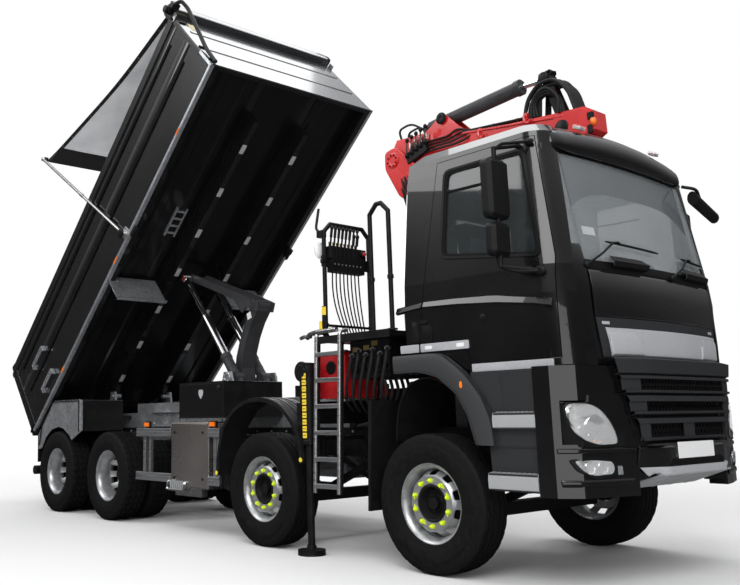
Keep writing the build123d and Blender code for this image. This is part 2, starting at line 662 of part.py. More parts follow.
glass_outer = cab_form(10)
glass_inner = cab_form(10 + glass_thickness)
with BuildPart() as glazing:
    add(glass_outer)
    add(glass_inner, mode=Mode.SUBTRACT)
with BuildPart() as cab_glass:
    with BuildPart(mode=Mode.PRIVATE) as zones:
        add(windscreen_prism(-seat_gap))
        x0, x1, y0, y1, z0, z1 = rear_window_zone
        block(x0, x1, y0 + seat_gap, y1 - seat_gap, z0 + seat_gap, z1 - seat_gap)
    add(glazing.part)
    add(zones.part, mode=Mode.INTERSECT)
save(cab_glass.part, "cab_glass")

for side_name, side in (("right", -1), ("left", 1)):
    with BuildPart() as door:
        add(cab_outer)
        add(cab_inner, mode=Mode.SUBTRACT)
        add(side_prism(door_outline, side, 0), mode=Mode.INTERSECT)
        add(side_prism(door_window_outline, side, 0), mode=Mode.SUBTRACT)
    save(door.part, f"door_{side_name}")
    with BuildPart() as door_glass:
        add(glazing.part)
        add(side_prism(door_window_outline, side, -seat_gap), mode=Mode.INTERSECT)
    save(door_glass.part, f"door_glass_{side_name}")
    # two mirrors on a bowed arm that stands off the door
    with BuildPart() as mirrors:
        for half, depth, z0, z1, corner in ((118, 40, 2530, 2965, 45), (104, 36, 2262, 2500, 40)):
            with BuildPart(mode=Mode.PRIVATE) as head:
                block(ax(890) - depth, ax(890) + depth, side * 1372 - half, side * 1372 + half, z0, z1)
                fillet(head.edges().filter_by(Axis.X), corner)
                chamfer(head.faces().sort_by(Axis.X)[-1].edges(), 26)
            add(head.part)
        bar((ax(890), side * 1372, 2180), (ax(890), side * 1372, 3060), 17.0)
        for z, foot_x, foot_z in ((2190, mirror_foot_x + 175, 2150), (3050, mirror_foot_x, 3118)):
            foot = cab_half_width(foot_z - mirror_foot_radius) + seat_gap
            bar((ax(foot_x), side * foot, foot_z), (ax(foot_x), side * (foot + 32), foot_z), mirror_foot_radius)
            bar((ax(foot_x), side * (foot + 16), foot_z), (ax(890), side * 1372, z), mirror_arm_radius)
    save(mirrors.part, f"mirrors_{side_name}")

with BuildPart() as cab_interior:
    floor = cab_sections[0][0] + cab_wall
    for y in (-520, 520):
        block(ax(180), ax(620), y - 240, y + 240, floor, floor + 300)
        block(ax(150), ax(680), y - 260, y + 260, floor + 300, floor + 440)
        side_plate([(ax(120), floor + 380), (ax(240), floor + 380), (ax(120), floor + 1180), (ax(20), floor + 1180)],
                   y - 250, y + 250)
    block(ax(960), ax(1150), -1040, 1040, floor, 2060)
    side_plate([(ax(900), 2060), (ax(1150), 2060), (ax(1130), 2190), (ax(980), 2230), (ax(900), 2150)], -1040, 1040)
    bar((ax(960), 520, 2080), (ax(820), 520, 2220), 30.0)
    with Locations(Plane(origin=(ax(820), 520, 2220), z_dir=(-1, 0, 1))):
        Torus(215, 18)
        Cylinder(70, 30)
        Box(430, 36, 20)
save(cab_interior.part, "cab_interior")

# ---------------------------------------------------------------------------
# Nose below the cab: bumper, lamp surround, head lamps, grille, skid plate
# ---------------------------------------------------------------------------
nose_outer = [
    (ax(985), 1238), (ax(1110), 1225), (ax(1240), 1110), (ax(1330), 840), (ax(1395), 560),
]
nose_inner = [(ax(985), 1090), (ax(1080), 1080), (ax(1200), 820), (ax(1260), 500)]


def nose_ring(z0, z1, outer, inner):
    left = outer + [(x, -y) for x, y in reversed(outer)]
    right = [(x, -y) for x, y in inner] + [(x, y) for x, y in reversed(inner)]
    flat_plate(left + right, z0, z1)


bumper_bottom_z = 620.0
bumper_top_z = 945.0
surround_top_z = 1490.0
lamp_bottom_z = 965.0
lamp_top_z = 1255.0
grille_half_width = 565.0
with BuildPart() as bumper:
    nose_ring(bumper_bottom_z, bumper_top_z, nose_outer, nose_inner)
    flat_plate([(ax(1380), -560), (ax(1462), -430), (ax(1462), 430), (ax(1380), 560)], 640, bumper_top_z)
    # the underside slopes back from the lip, closed by a skid plate
    side_plate([(ax(1500), 600), (ax(1500), 766), (ax(1462), 752), (ax(1150), 640), (ax(1150), 600)], -650, 650,
               mode=Mode.SUBTRACT)
    side_plate([(ax(1454), 749), (ax(1150), 640), (ax(1150), 656), (ax(1440), 762)], -560, 560)
    for side in (-1, 1):
        # brackets back to the frame rails
        inner, outer = sorted((side * (rail_inner_y + 5), side * (rail_outer_y - 5)))
        block(frame_front_x, ax(1300), inner, outer, rail_bottom_z, rail_bottom_z + 130)
        # fog lamp recess
        with Locations(Plane(origin=(ax(1290), side * 965, 815), z_dir=(0.95, side * 0.3, 0))):
            Cylinder(60, 140, mode=Mode.SUBTRACT)
save(bumper.part, "bumper")

with BuildPart() as lamp_surround:
    nose_ring(bumper_top_z, surround_top_z, nose_outer, nose_inner)
    block(ax(1240), ax(1500), -grille_half_width, grille_half_width, bumper_top_z + 25, surround_top_z + 1,
          mode=Mode.SUBTRACT)
    for side in (-1, 1):
        low, high = sorted((side * 745, side * 1190))
        block(ax(1150), ax(1400), low, high, lamp_bottom_z, lamp_top_z, mode=Mode.SUBTRACT)
save(lamp_surround.part, "lamp_surround")

with BuildPart() as head_lamps:
    for side in (-1, 1):
        points = [(ax(1151), side * 1189), (ax(1185), side * 1170), (ax(1240), side * 1100), (ax(1328), side * 830),
                  (ax(1345), side * 746), (ax(1236), side * 746), (ax(1151), side * 924)]
        flat_plate(points, lamp_bottom_z + seat_gap, lamp_top_z - seat_gap)
save(head_lamps.part, "head_lamps")

# columns: bottom, top of each open row of the grille
grille_rows = [(985, 1080), (1140, 1235), (1295, 1400)]
with BuildPart() as grille:
    block(ax(1335), ax(1385), -grille_half_width + seat_gap, grille_half_width - seat_gap,
          bumper_top_z + 25 + seat_gap, surround_top_z)
    for row_bottom, row_top in grille_rows:
        block(ax(1330), ax(1390), -grille_half_width + 35, grille_half_width - 35, row_bottom, row_top,
              mode=Mode.SUBTRACT)
    for y in (-400, -200, 0, 200, 400):
        block(ax(1340), ax(1352), y - 6, y + 6, bumper_top_z + 30, 1420)
save(grille.part, "grille")

# ---------------------------------------------------------------------------
# Steps and wheel arches below the doors
# ---------------------------------------------------------------------------
step_outer_y = 1236.0
step_inner_y = 1000.0
panel_setback = 41.0
arch_band = [
    (-300, 1500), (-300, 1640), (120, 1640), (200, 1618), (389, 1483), (540, 1304), (615, 1133), (636, 953),
    (475, 956), (408, 1171), (315, 1325), (139, 1458), (-50, 1503),
]
with BuildPart() as step_panels:
    for side in (-1, 1):
        low, high = sorted((side * step_inner_y, side * (step_outer_y - panel_setback)))
        side_plate([(ax(430), 1480), (ax(985), 1480), (ax(985), 940), (ax(600), 940), (ax(600), 1133),
                    (ax(520), 1304), (ax(430), 1420)], low, high)
        low, high = sorted((side * step_inner_y, side * (step_outer_y - panel_setback - 10)))
        side_plate([(ax(560), 950), (ax(985), 950), (ax(985), 700), (ax(965), 640), (ax(585), 640),
                    (ax(570), 760)], low, high)
        # two step boards that stand out from the panel
        low, high = sorted((side * 1100, side * step_outer_y))
        block(ax(640), ax(985), low, high, 1071, 1180)
        block(ax(575), ax(975), low, high, 650, 765)
        # band of the arch over the first wheel
        low, high = sorted((side * 1178, side * step_outer_y))
        side_plate([(ax(x), z) for x, z in arch_band], low, high)
save(step_panels.part, "step_panels")

# ---------------------------------------------------------------------------
# Mudguards: the ribbed guard over the second axle, the bent plate over the last
# ---------------------------------------------------------------------------
guard_skin = 12.0


def guard_strip(points, thickness, y0, y1):
    """A bent strip: the outline and its copy moved towards the wheel."""
    centre_x = sum(x for x, _ in points) / len(points)
    inner = []
    for x, z in points:
        dx, dz = centre_x - x, wheel_centre_z - z
        reach = hypot(dx, dz)
        inner.append((x + dx / reach * thickness, z + dz / reach * thickness))
    side_plate(points + inner[::-1], y0, y1)


guard_2 = [(605, 770), (585, 960), (500, 1105), (370, 1240), (190, 1325), (-20, 1357), (-230, 1335), (-430, 1255),
           (-590, 1100), (-675, 880), (-697, 620)]
guard_4 = [(620, 1040), (600, 1428), (-180, 1428), (-510, 1110), (-575, 850)]
# side sheet of the last guard, cut round the tyre
valance_4 = [
    (690, 1432), (600, 1428), (-180, 1428), (-515, 1105), (-640, 975), (-625, 790), (-498, 806), (-370, 958),
    (-197, 1058), (0, 1093), (149, 1073), (330, 989), (407, 925), (705, 1050),
]
with BuildPart() as mudguards:
    for side in (-1, 1):
        low, high = sorted((side * 925, side * 1240))
        guard_strip([(axle_2_x + x, z) for x, z in guard_2], guard_skin, low, high)
        low, high = sorted((side * 575, side * 1225))
        guard_strip([(axle_4_x + x, z) for x, z in guard_4], guard_skin, low, high)
        low, high = sorted((side * 1195, side * (1195 + guard_skin)))
        side_plate([(axle_4_x + x, z) for x, z in valance_4], low, high)
        # stays from the frame rails
        low, high = sorted((side * (rail_outer_y), side * 930))
        block(axle_2_x + 560, axle_2_x + 590, low, high, 960, 1000)
        block(axle_2_x - 680, axle_2_x - 655, low, high, 960, 1000)
        low, high = sorted((side * rail_outer_y, side * 580))
        block(axle_4_x + 560, axle_4_x + 612, low, high, 1180, 1230)
save(mudguards.part, "mudguards")

# ---------------------------------------------------------------------------
# Side equipment between the axles
# ---------------------------------------------------------------------------
box_front_x, box_rear_x = ax(-2945), ax(-3645)
with BuildPart() as side_box:
    block(box_rear_x, box_front_x, -1205, -700, 460, 1130)
    block(box_rear_x + 100, box_front_x - 100, -1215, -1150, 380, 460)
    block(box_rear_x + 150, box_front_x - 150, -700, -rail_outer_y, 860, 1000)
save(side_box.part, "side_box")

with BuildPart() as fuel_tank:
    block(box_rear_x - 250, box_front_x + 100, 640, 1205, 480, 1130)
    fillet(fuel_tank.edges().filter_by(Axis.X), radius=90)
    block(box_rear_x, box_front_x - 100, rail_outer_y, 660, 860, 1000)
save(fuel_tank.part, "fuel_tank")

with BuildPart() as side_guards:
    for side in (-1, 1):
        for x0, x1 in ((ax(-4350), box_rear_x - 260), (box_front_x + 105, ax(-2755))):
            for z0 in (520, 1000):
                low, high = sorted((side * 1190, side * 1215))
                block(x0, x1, low, high, z0, z0 + 75)
            middle = (x0 + x1) / 2
            low, high = sorted((side * 1160, side * 1190))
            block(middle - 25, middle + 25, low, high, 520, 1075)
            low, high = sorted((side * rail_outer_y, side * 1165))
            block(middle - 25, middle + 25, low, high, 940, 1000)
save(side_guards.part, "side_guards")

with BuildPart() as cross_box:
    for side in (-1, 1):
        low, high = sorted((side * rail_outer_y, side * 1200))
        block(ax(-3500), ax(-2665), low, high, 1180, 1545)
save(cross_box.part, "cross_box")

with BuildPart() as underrun_bar:
    bar((frame_rear_x - 180, -1180, 505), (frame_rear_x - 180, 1180, 505), 60.0)
    for side in (-1, 1):
        low, high = sorted((side * (rail_inner_y + 5), side * (rail_outer_y - 5)))
        side_plate([(frame_rear_x - 240, 505), (frame_rear_x - 120, 505), (frame_rear_x, rail_bottom_z + 20),
                    (frame_rear_x, rail_top_z), (frame_rear_x - 60, rail_top_z)], low, high)
save(underrun_bar.part, "underrun_bar")

# ---------------------------------------------------------------------------
# Crane: base across the frame, outriggers, rotating mast and folded booms
# ---------------------------------------------------------------------------
base_front_x, base_rear_x = ax(-520), ax(-1620)
beam_low_z, beam_high_z = 1130.0, 1290.0
beam_half_width = 75.0
beam_out_y = 1130.0
with BuildPart() as crane_base:
    block(base_rear_x, base_front_x, -rail_outer_y - 25, rail_outer_y + 25, rail_top_z, mast_base_z - 60)
    block(outrigger_x - beam_half_width - 20, outrigger_x + beam_half_width + 20, -1000, 1000,
          beam_low_z - 20, beam_high_z + 20)
    block(outrigger_x - beam_half_width - seat_gap, outrigger_x + beam_half_width + seat_gap, -1001, 1001,
          beam_low_z - seat_gap, beam_high_z + seat_gap, mode=Mode.SUBTRACT)
    bar((crane_x, crane_y, mast_base_z - 60), (crane_x, crane_y, mast_base_z), 230.0)
save(crane_base.part, "crane_base")

leg_tube_radius, leg_rod_radius = 52.0, 32.0
for side_name, side in (("right", -1), ("left", 1)):
    with BuildPart() as outrigger:
        low, high = sorted((side * 40, side * beam_out_y))
        block(outrigger_x - beam_half_width, outrigger_x + beam_half_width, low, high, beam_low_z, beam_high_z)
        low, high = sorted((side * beam_out_y, side * 1240))
        block(outrigger_x - beam_half_width, leg_x + 20, low, high, beam_low_z - 10, beam_high_z + 10)
        bar((leg_x, side * leg_y, 930), (leg_x, side * leg_y, 1640), leg_tube_radius)
        bar((outrigger_x, side * 1140, 1575), (outrigger_x, side * 1245, 1575), 85.0)
        block(outrigger_x - 40, outrigger_x + 40, *sorted((side * 1150, side * 1230)), beam_high_z, 1575)
        bar((leg_x, side * leg_y, 920), (leg_x, side * leg_y, 1600), leg_rod_radius + running_clearance,
            mode=Mode.SUBTRACT)
    save(outrigger.part, f"outrigger_{side_name}")
    with BuildPart() as leg:
        bar((leg_x, side * leg_y, 20), (leg_x, side * leg_y, 1130), leg_rod_radius)
        bar((leg_x, side * leg_y, 0), (leg_x, side * leg_y, 45), 120.0)
    save(leg.part, f"leg_{side_name}")

boom_half_width = 95.0
head_half_width = 130.0
mast_top_z = 3340.0
with BuildPart() as crane_mast:
    bar((crane_x, crane_y, mast_base_z + seat_gap), (crane_x, crane_y, mast_top_z), mast_radius)
    for side in (-1, 1):
        low, high = sorted((crane_y + side * (boom_half_width + 2), crane_y + side * head_half_width))
        side_plate([(ax(-1180), 3560), (ax(-1180), 3740), (ax(-1040), 3760), (ax(-700), 3430), (ax(-700), 3250),
                    (ax(-1000), 3250)], low, high)
    bar((crane_x, crane_y, mast_top_z - 90), (crane_x, crane_y, mast_top_z - 2), mast_radius + 15)
    bar((boom_pivot_x, crane_y - head_half_width - 8, boom_pivot_z),
        (boom_pivot_x, crane_y + head_half_width + 8, boom_pivot_z), boom_pin_radius)
save(crane_mast.part, "crane_mast")

lug_width = 20.0
ram_pin_x, ram_pin_z = axle_1_x - 480.0, 3912.0
boom_nose_x = axle_1_x + 1045.0
with BuildPart() as inner_boom:
    side_plate([
        (boom_pivot_x - 90, boom_pivot_z - 40), (boom_pivot_x - 70, boom_pivot_z + 60),
        (boom_pivot_x + 20, boom_pivot_z + 210), (ax(-720), 3830), (ax(-560), 3790), (ax(-200), 3690),
        (knee_x, knee_z + 130), (boom_nose_x - 80, knee_z + 120), (boom_nose_x - 5, knee_z + 70),
        (boom_nose_x, knee_z - 90), (boom_nose_x - 90, knee_z - 140), (knee_x - 60, knee_z - 150),
        (ax(-500), 3400), (ax(-620), 3460), (boom_pivot_x - 20, boom_pivot_z - 90),
    ], crane_y - boom_half_width, crane_y + boom_half_width)
    # lugs of the outer boom's ram, the ram with its rod, and the linkage post
    for side in (-1, 1):
        low, high = sorted((crane_y + side * (boom_half_width - lug_width), crane_y + side * boom_half_width))
        side_plate([
            (ax(-760), 3800), (ax(-640), 3860), (ram_pin_x - 30, ram_pin_z + 33), (ram_pin_x + 55, ram_pin_z + 15),
            (ax(-260), 3760), (ax(-220), 3660), (ax(-700), 3700),
        ], low, high)
    bar((ram_pin_x, crane_y - boom_half_width - 12, ram_pin_z), (ram_pin_x, crane_y + boom_half_width + 12, ram_pin_z),
        boom_pin_radius)
    bar((ax(-640), crane_y, 3900), (ax(330), crane_y, 3985), 62.0)
    bar((ax(330), crane_y, 3985), (ax(600), crane_y, 3975), 22.0)
    bar((ax(600), crane_y - 60, 3975), (ax(600), crane_y + 60, 3975), 40.0)
    side_plate([(ax(575), 3990), (ax(625), 3990), (ax(760), 3540), (ax(700), 3540)], crane_y - 20, crane_y + 20)
    bar((boom_pivot_x, crane_y - boom_half_width - 1, boom_pivot_z),
        (boom_pivot_x, crane_y + boom_half_width + 1, boom_pivot_z), boom_pin_radius + running_clearance,
        mode=Mode.SUBTRACT)
    bar((knee_x, crane_y - boom_half_width, knee_z), (knee_x, crane_y + head_half_width + 195, knee_z), boom_pin_radius)
save(inner_boom.part, "inner_boom")

outer_y0 = crane_y + head_half_width + 14
outer_y1 = outer_y0 + 170
outer_rear_x = ax(-900)
with BuildPart() as outer_boom:
    side_plate([
        (knee_x + 80, knee_z - 70), (knee_x + 80, knee_z + 60), (knee_x - 60, knee_z + 120),
        (outer_rear_x, knee_z + 110), (outer_rear_x, knee_z - 90), (knee_x - 60, knee_z - 110),
    ], outer_y0, outer_y1)
    bar((knee_x, outer_y0 - 1, knee_z), (knee_x, outer_y1 + 1, knee_z), boom_pin_radius + running_clearance,
        mode=Mode.SUBTRACT)
    block(outer_rear_x - 1, knee_x - 160, outer_y0 + 25, outer_y1 - 25, knee_z - 60, knee_z + 80, mode=Mode.SUBTRACT)
save(outer_boom.part, "outer_boom")

tip_bore_radius = 25.0
boom_tip_x = outer_rear_x - 160
with BuildPart() as boom_extension:
    block(outer_rear_x - 100, knee_x - 200, outer_y0 + 25 + seat_gap, outer_y1 - 25 - seat_gap,
          knee_z - 60 + seat_gap, knee_z + 80 - seat_gap)
    block(boom_tip_x - 60, outer_rear_x - 90, outer_y0 + 45, outer_y1 - 45, knee_z - 60, knee_z + 60)
    bar((boom_tip_x, outer_y0, knee_z), (boom_tip_x, outer_y1, knee_z), tip_bore_radius, mode=Mode.SUBTRACT)
save(boom_extension.part, "boom_extension")

# ---------------------------------------------------------------------------
# Platform, ladder, control stand, oil tank
# ---------------------------------------------------------------------------
platform_z = 1860.0
with BuildPart() as platform:
    block(ax(-1210), ax(-330), -1235, -480, platform_z - 40, platform_z)
    for x in (ax(-1150), ax(-620)):
        block(x - 25, x + 25, -530, -480, rail_top_z + 60, platform_z - 40)
        block(x - 25, x + 25, -530, -rail_outer_y - 25, rail_top_z + 60, rail_top_z + 110)
    # valve chest under the platform, ahead of the oil tank
    block(ax(-960), ax(-500), -1060, -560, 1490, platform_z - 40)
    # ladder below the outer edge
    for x in (ax(-1275), ax(-975)):
        side_plate([(x - 15, 530), (x + 15, 530), (x + 75, platform_z - 10), (x + 45, platform_z - 10)], -1235, -1200)
    for step in range(6):
        z = 570 + step * 225
        lean = (z - 530) / (platform_z - 10 - 530) * 60
        block(ax(-1275) + lean, ax(-975) + lean, -1235, -1200, z, z + 30)
save(platform.part, "platform")

stand_x = axle_1_x - 1130.0
stand_outer_y, stand_inner_y = -1195.0, -630.0
stand_top_z = 2900.0
stand_corner = 80.0
stand_tube = 20.0
guard_rear_x, guard_front_x = axle_1_x - 545.0, axle_1_x - 330.0
guard_top_z = 2940.0
valve_z = 2560.0
lever_count = 8
lever_pitch = 46.0
lever_y = -1130.0


def hoop(points, radius):
    """A bent tube as straight runs that meet in balls of the same radius."""
    for start, end in zip(points, points[1:]):
        bar(start, end, radius)
    for corner in points[1:-1]:
        with Locations(corner):
            Sphere(radius)


with BuildPart() as control_stand:
    # hoop across the platform, with the valve block and its levers
    low_corner_z = stand_top_z - stand_corner
    hoop([
        (stand_x, stand_outer_y, platform_z), (stand_x, stand_outer_y, low_corner_z),
        (stand_x, stand_outer_y + stand_corner, stand_top_z), (stand_x, stand_inner_y - stand_corner, stand_top_z),
        (stand_x, stand_inner_y, low_corner_z), (stand_x, stand_inner_y, platform_z),
    ], stand_tube)
    bar((stand_x, stand_outer_y, platform_z + 110), (stand_x, stand_inner_y, platform_z + 110), stand_tube * 0.6)
    block(stand_x - 15, stand_x + 15, stand_outer_y - 25, stand_inner_y + 20, valve_z - 60, valve_z + 40)
    block(stand_x - 45, stand_x + 60, stand_outer_y + 30, stand_inner_y - 110, valve_z + 20, valve_z + 120)
    block(stand_x - 10, stand_x + 70, stand_outer_y + 40, stand_inner_y - 130, valve_z - 110, valve_z + 30)
    for index in range(lever_count):
        y = lever_y + index * lever_pitch
        bar((stand_x + 10, y, valve_z + 110), (stand_x + 40, y, valve_z + 290), 9.0)
        with Locations((stand_x + 40, y, valve_z + 300)):
            Sphere(16)
    # guard hoop at the platform's outer edge, behind the cab
    guard_corner_z = guard_top_z - stand_corner
    hoop([
        (guard_rear_x, stand_outer_y, platform_z), (guard_rear_x, stand_outer_y, guard_corner_z),
        (guard_rear_x + stand_corner, stand_outer_y, guard_top_z),
        (guard_front_x - stand_corner, stand_outer_y, guard_top_z),
        (guard_front_x, stand_outer_y, guard_corner_z), (guard_front_x, stand_outer_y, platform_z),
    ], stand_tube)
save(control_stand.part, "control_stand")

tank_rear_x, tank_front_x = axle_1_x - 1360.0, axle_1_x - 1000.0
tank_top_z = 1745.0
with BuildPart() as oil_tank:
    block(tank_rear_x, tank_front_x, -1100, -600, 1330, tank_top_z)
    fillet(oil_tank.edges().filter_by(Axis.Y), radius=60)
    for x in (tank_rear_x + 70, tank_front_x - 70):
        block(x - 30, x + 30, -610, -rail_outer_y - 25, 1350, 1400)
save(oil_tank.part, "oil_tank")

with BuildPart() as mudflaps:
    for side in (-1, 1):
        low, high = sorted((side * 925, side * 1235))
        side_plate([(ax(-640), 420), (ax(-615), 420), (ax(-560), 1300), (ax(-600), 1300)], low, high)
        low, high = sorted((side * rail_outer_y, side * 930))
        block(ax(-602), ax(-570), low, high, 1000, 1040)
save(mudflaps.part, "mudflaps")
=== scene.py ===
import math

import bmesh
import bpy
from mathutils import Matrix, Vector


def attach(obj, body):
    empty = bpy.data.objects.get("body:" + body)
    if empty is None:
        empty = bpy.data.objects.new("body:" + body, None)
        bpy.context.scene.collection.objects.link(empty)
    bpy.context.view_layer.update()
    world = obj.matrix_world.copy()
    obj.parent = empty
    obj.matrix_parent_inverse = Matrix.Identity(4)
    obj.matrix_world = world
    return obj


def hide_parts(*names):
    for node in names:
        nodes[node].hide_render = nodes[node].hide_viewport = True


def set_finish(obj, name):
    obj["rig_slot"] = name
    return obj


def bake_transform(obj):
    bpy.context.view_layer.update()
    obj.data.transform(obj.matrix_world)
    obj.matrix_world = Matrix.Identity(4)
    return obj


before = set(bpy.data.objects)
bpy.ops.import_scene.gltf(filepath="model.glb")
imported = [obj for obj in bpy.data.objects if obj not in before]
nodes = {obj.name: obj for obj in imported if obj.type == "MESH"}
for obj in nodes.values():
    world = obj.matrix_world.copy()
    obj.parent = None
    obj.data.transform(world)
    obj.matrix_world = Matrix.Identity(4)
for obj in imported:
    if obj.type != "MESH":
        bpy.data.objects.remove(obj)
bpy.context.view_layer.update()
scene = bpy.context.scene

# ---------------------------------------------------------------------------
# Shared sizes, in millimetres like the CAD; meshes are written in metres
# ---------------------------------------------------------------------------
AXLE_1 = 3322.0
AXLES = {1: AXLE_1, 2: AXLE_1 - 2048.0, 3: AXLE_1 - 5074.0, 4: AXLE_1 - 6470.0}
WHEEL_Z = 518.0
TYRE_Y = 1088.0
TWIN_SPACING = 352.0
SIDES = (("right", -1), ("left", 1))

# tipping body: lowered frame and its hinge
TIP = math.radians(42.5)
HINGE = Vector((AXLES[4] + 110.0, 0.0, 1500.0))
BED_BOTTOM, BED_TOP = 1688.0, 2928.0
BED_FRONT, BED_REAR = AXLE_1 - 1384.0, AXLE_1 - 7262.0
BED_HALF = 1250.0
raise_bed = Matrix.Translation(HINGE) @ Matrix.Rotation(-TIP, 4, "Y") @ Matrix.Translation(-HINGE)


def ax(offset):
    """X of a point given ahead of the first axle."""
    return AXLE_1 + offset


# ---------------------------------------------------------------------------
# Materials
# ---------------------------------------------------------------------------
def new_material(name):
    material = bpy.data.materials.new(name)
    material.use_nodes = True
    tree = material.node_tree
    shader = tree.nodes["Principled BSDF"]
    return material, tree, shader


def texture(tree, kind, scale, stretch=(1, 1, 1), **settings):
    """A procedural texture in object space, with its own stretch."""
    place = tree.nodes.new("ShaderNodeTexCoord")
    mapping = tree.nodes.new("ShaderNodeMapping")
    mapping.inputs["Scale"].default_value = stretch
    node = tree.nodes.new(kind)
    node.inputs["Scale"].default_value = scale
    for key, value in settings.items():
        node.inputs[key].default_value = value
    tree.links.new(place.outputs["Object"], mapping.inputs["Vector"])
    tree.links.new(mapping.outputs["Vector"], node.inputs["Vector"])
    return node


def ramp(tree, source, low, high, start=0.3, end=0.7):
    """Spreads a texture's value between two numbers or two colours."""
    node = tree.nodes.new("ShaderNodeMapRange")
    node.inputs["From Min"].default_value = start
    node.inputs["From Max"].default_value = end
    tree.links.new(source, node.inputs["Value"])
    if isinstance(low, (int, float)):
        node.inputs["To Min"].default_value = low
        node.inputs["To Max"].default_value = high
        return node.outputs["Result"]
    mix = tree.nodes.new("ShaderNodeMix")
    mix.data_type = "RGBA"
    mix.inputs["A"].default_value = (*low, 1)
    mix.inputs["B"].default_value = (*high, 1)
    tree.links.new(node.outputs["Result"], mix.inputs["Factor"])
    return mix.outputs["Result"]


def bump(tree, shader, source, strength, distance=0.001):
    node = tree.nodes.new("ShaderNodeBump")
    node.inputs["Strength"].default_value = strength
    node.inputs["Distance"].default_value = distance
    tree.links.new(source, node.inputs["Height"])
    tree.links.new(node.outputs["Normal"], shader.inputs["Normal"])


def surface(name, low, high, roughness, metallic=0.0, grain=60.0, stretch=(1, 1, 1), bumps=0.1,
            coat=0.0, coat_roughness=0.03, alpha=1.0, distance=0.001, spread=(0.3, 0.7), specular=0.5):
    """Two close colours mixed by noise, a roughness range and a fine bump."""
    material, tree, shader = new_material(name)
    noise = texture(tree, "ShaderNodeTexNoise", grain, stretch, Detail=4.0)
    tree.links.new(ramp(tree, noise.outputs["Fac"], low, high, *spread), shader.inputs["Base Color"])
    tree.links.new(ramp(tree, noise.outputs["Fac"], *roughness), shader.inputs["Roughness"])
    shader.inputs["Metallic"].default_value = metallic
    shader.inputs["Coat Weight"].default_value = coat
    shader.inputs["Coat Roughness"].default_value = coat_roughness
    shader.inputs["Alpha"].default_value = alpha
    shader.inputs["Specular IOR Level"].default_value = specular
    if bumps:
        bump(tree, shader, noise.outputs["Fac"], bumps, distance)
    return material


paint = surface("gloss_black_paint", (0.0035, 0.0035, 0.004), (0.006, 0.0058, 0.006), (0.22, 0.3), grain=1.6,
                bumps=0.0, coat=0.8, coat_roughness=0.02, specular=0.2)
chassis_paint = surface("chassis_black", (0.005, 0.005, 0.0055), (0.009, 0.009, 0.0095), (0.35, 0.55),
                        grain=9,
                        bumps=0.15, specular=0.22)
# painted highlight: a lighter grey copy of the gloss black paint, for the bulkhead and the sheet housing
# whose faces turn up to the light
bulkhead_highlight_paint = surface("bulkhead_painted_highlight", (0.020, 0.021, 0.023), (0.03, 0.031, 0.034), (0.2, 0.28),
                         grain=1.2,
                         bumps=0.0, coat=1.0, coat_roughness=0.08, specular=0.8)
hoist_paint = surface("hoist_grey", (0.035, 0.036, 0.038), (0.05, 0.05, 0.053), (0.32, 0.5), grain=7,
                      bumps=0.1, specular=0.22)
dark_plastic = surface("step_grey_plastic", (0.020, 0.021, 0.023), (0.028, 0.029, 0.032), (0.5, 0.62),
                       grain=420,
                       bumps=0.35, specular=0.22)
black_plastic = surface("black_plastic", (0.0045, 0.0045, 0.005), (0.008, 0.008, 0.0085), (0.38, 0.52),
                        grain=380,
                        bumps=0.3, specular=0.22)
guard_plastic = surface("guard_plastic", (0.006, 0.006, 0.0065), (0.011, 0.011, 0.0115), (0.3, 0.48),
                        grain=14,
                        bumps=0.1, specular=0.22)
rubber = surface("tyre_rubber", (0.0045, 0.0045, 0.005), (0.009, 0.0088, 0.0085), (0.55, 0.8), grain=35,
                 bumps=0.25,
                 specular=0.12)
rim_silver = surface("rim_silver", (0.42, 0.43, 0.44), (0.58, 0.59, 0.6), (0.28, 0.42), metallic=0.75,
                     grain=18,
                     bumps=0.08)
chrome = surface("chrome", (0.78, 0.79, 0.8), (0.88, 0.88, 0.89), (0.05, 0.13), metallic=1.0, grain=30,
                 stretch=(1, 1, 0.1), bumps=0.0)
stainless = surface("stainless", (0.50, 0.485, 0.47), (0.66, 0.65, 0.635), (0.2, 0.34), metallic=1.0,
                    grain=60,
                    stretch=(1, 1, 0.03), bumps=0.06)
aluminium = surface("aluminium", (0.52, 0.53, 0.54), (0.7, 0.71, 0.72), (0.25, 0.4), metallic=0.95, grain=50,
                    stretch=(0.05, 1, 1), bumps=0.08)
crane_red = surface("crane_red", (0.50, 0.010, 0.012), (0.62, 0.022, 0.022), (0.2, 0.33), grain=3, bumps=0.0,
                    coat=0.7, coat_roughness=0.08)
silver_trim = surface("silver_trim", (0.40, 0.41, 0.43), (0.48, 0.49, 0.51), (0.34, 0.44), metallic=0.2,
                      grain=90,
                      bumps=0.05)
pale_trim = surface("pale_grey_trim", (0.24, 0.25, 0.26), (0.33, 0.34, 0.35), (0.45, 0.6), grain=200,
                    bumps=0.2)
interior = surface("interior_plastic", (0.03, 0.032, 0.036), (0.05, 0.053, 0.058), (0.6, 0.8), grain=160,
                   bumps=0.2)
seat_cloth = surface("seat_cloth", (0.10, 0.12, 0.14), (0.22, 0.25, 0.28), (0.8, 0.95), grain=300, bumps=0.5)
engine_iron = surface("engine_iron", (0.03, 0.03, 0.03), (0.07, 0.068, 0.065), (0.5, 0.8), grain=16,
                      bumps=0.4)
yellow_cap = surface("nut_cap_yellow", (0.60, 0.78, 0.0), (0.72, 0.88, 0.01), (0.3, 0.42), grain=90,
                     bumps=0.0)
yellow_mark = surface("yellow_mark", (0.75, 0.52, 0.02), (0.85, 0.62, 0.03), (0.4, 0.5), grain=60, bumps=0.0)
orange_lens = surface("orange_lens", (0.85, 0.16, 0.01), (0.95, 0.22, 0.01), (0.12, 0.2), grain=200,
                      bumps=0.1,
                      coat=0.8)
red_paint = surface("tank_red", (0.42, 0.008, 0.012), (0.55, 0.014, 0.018), (0.25, 0.4), grain=5, bumps=0.0,
                    coat=0.4)
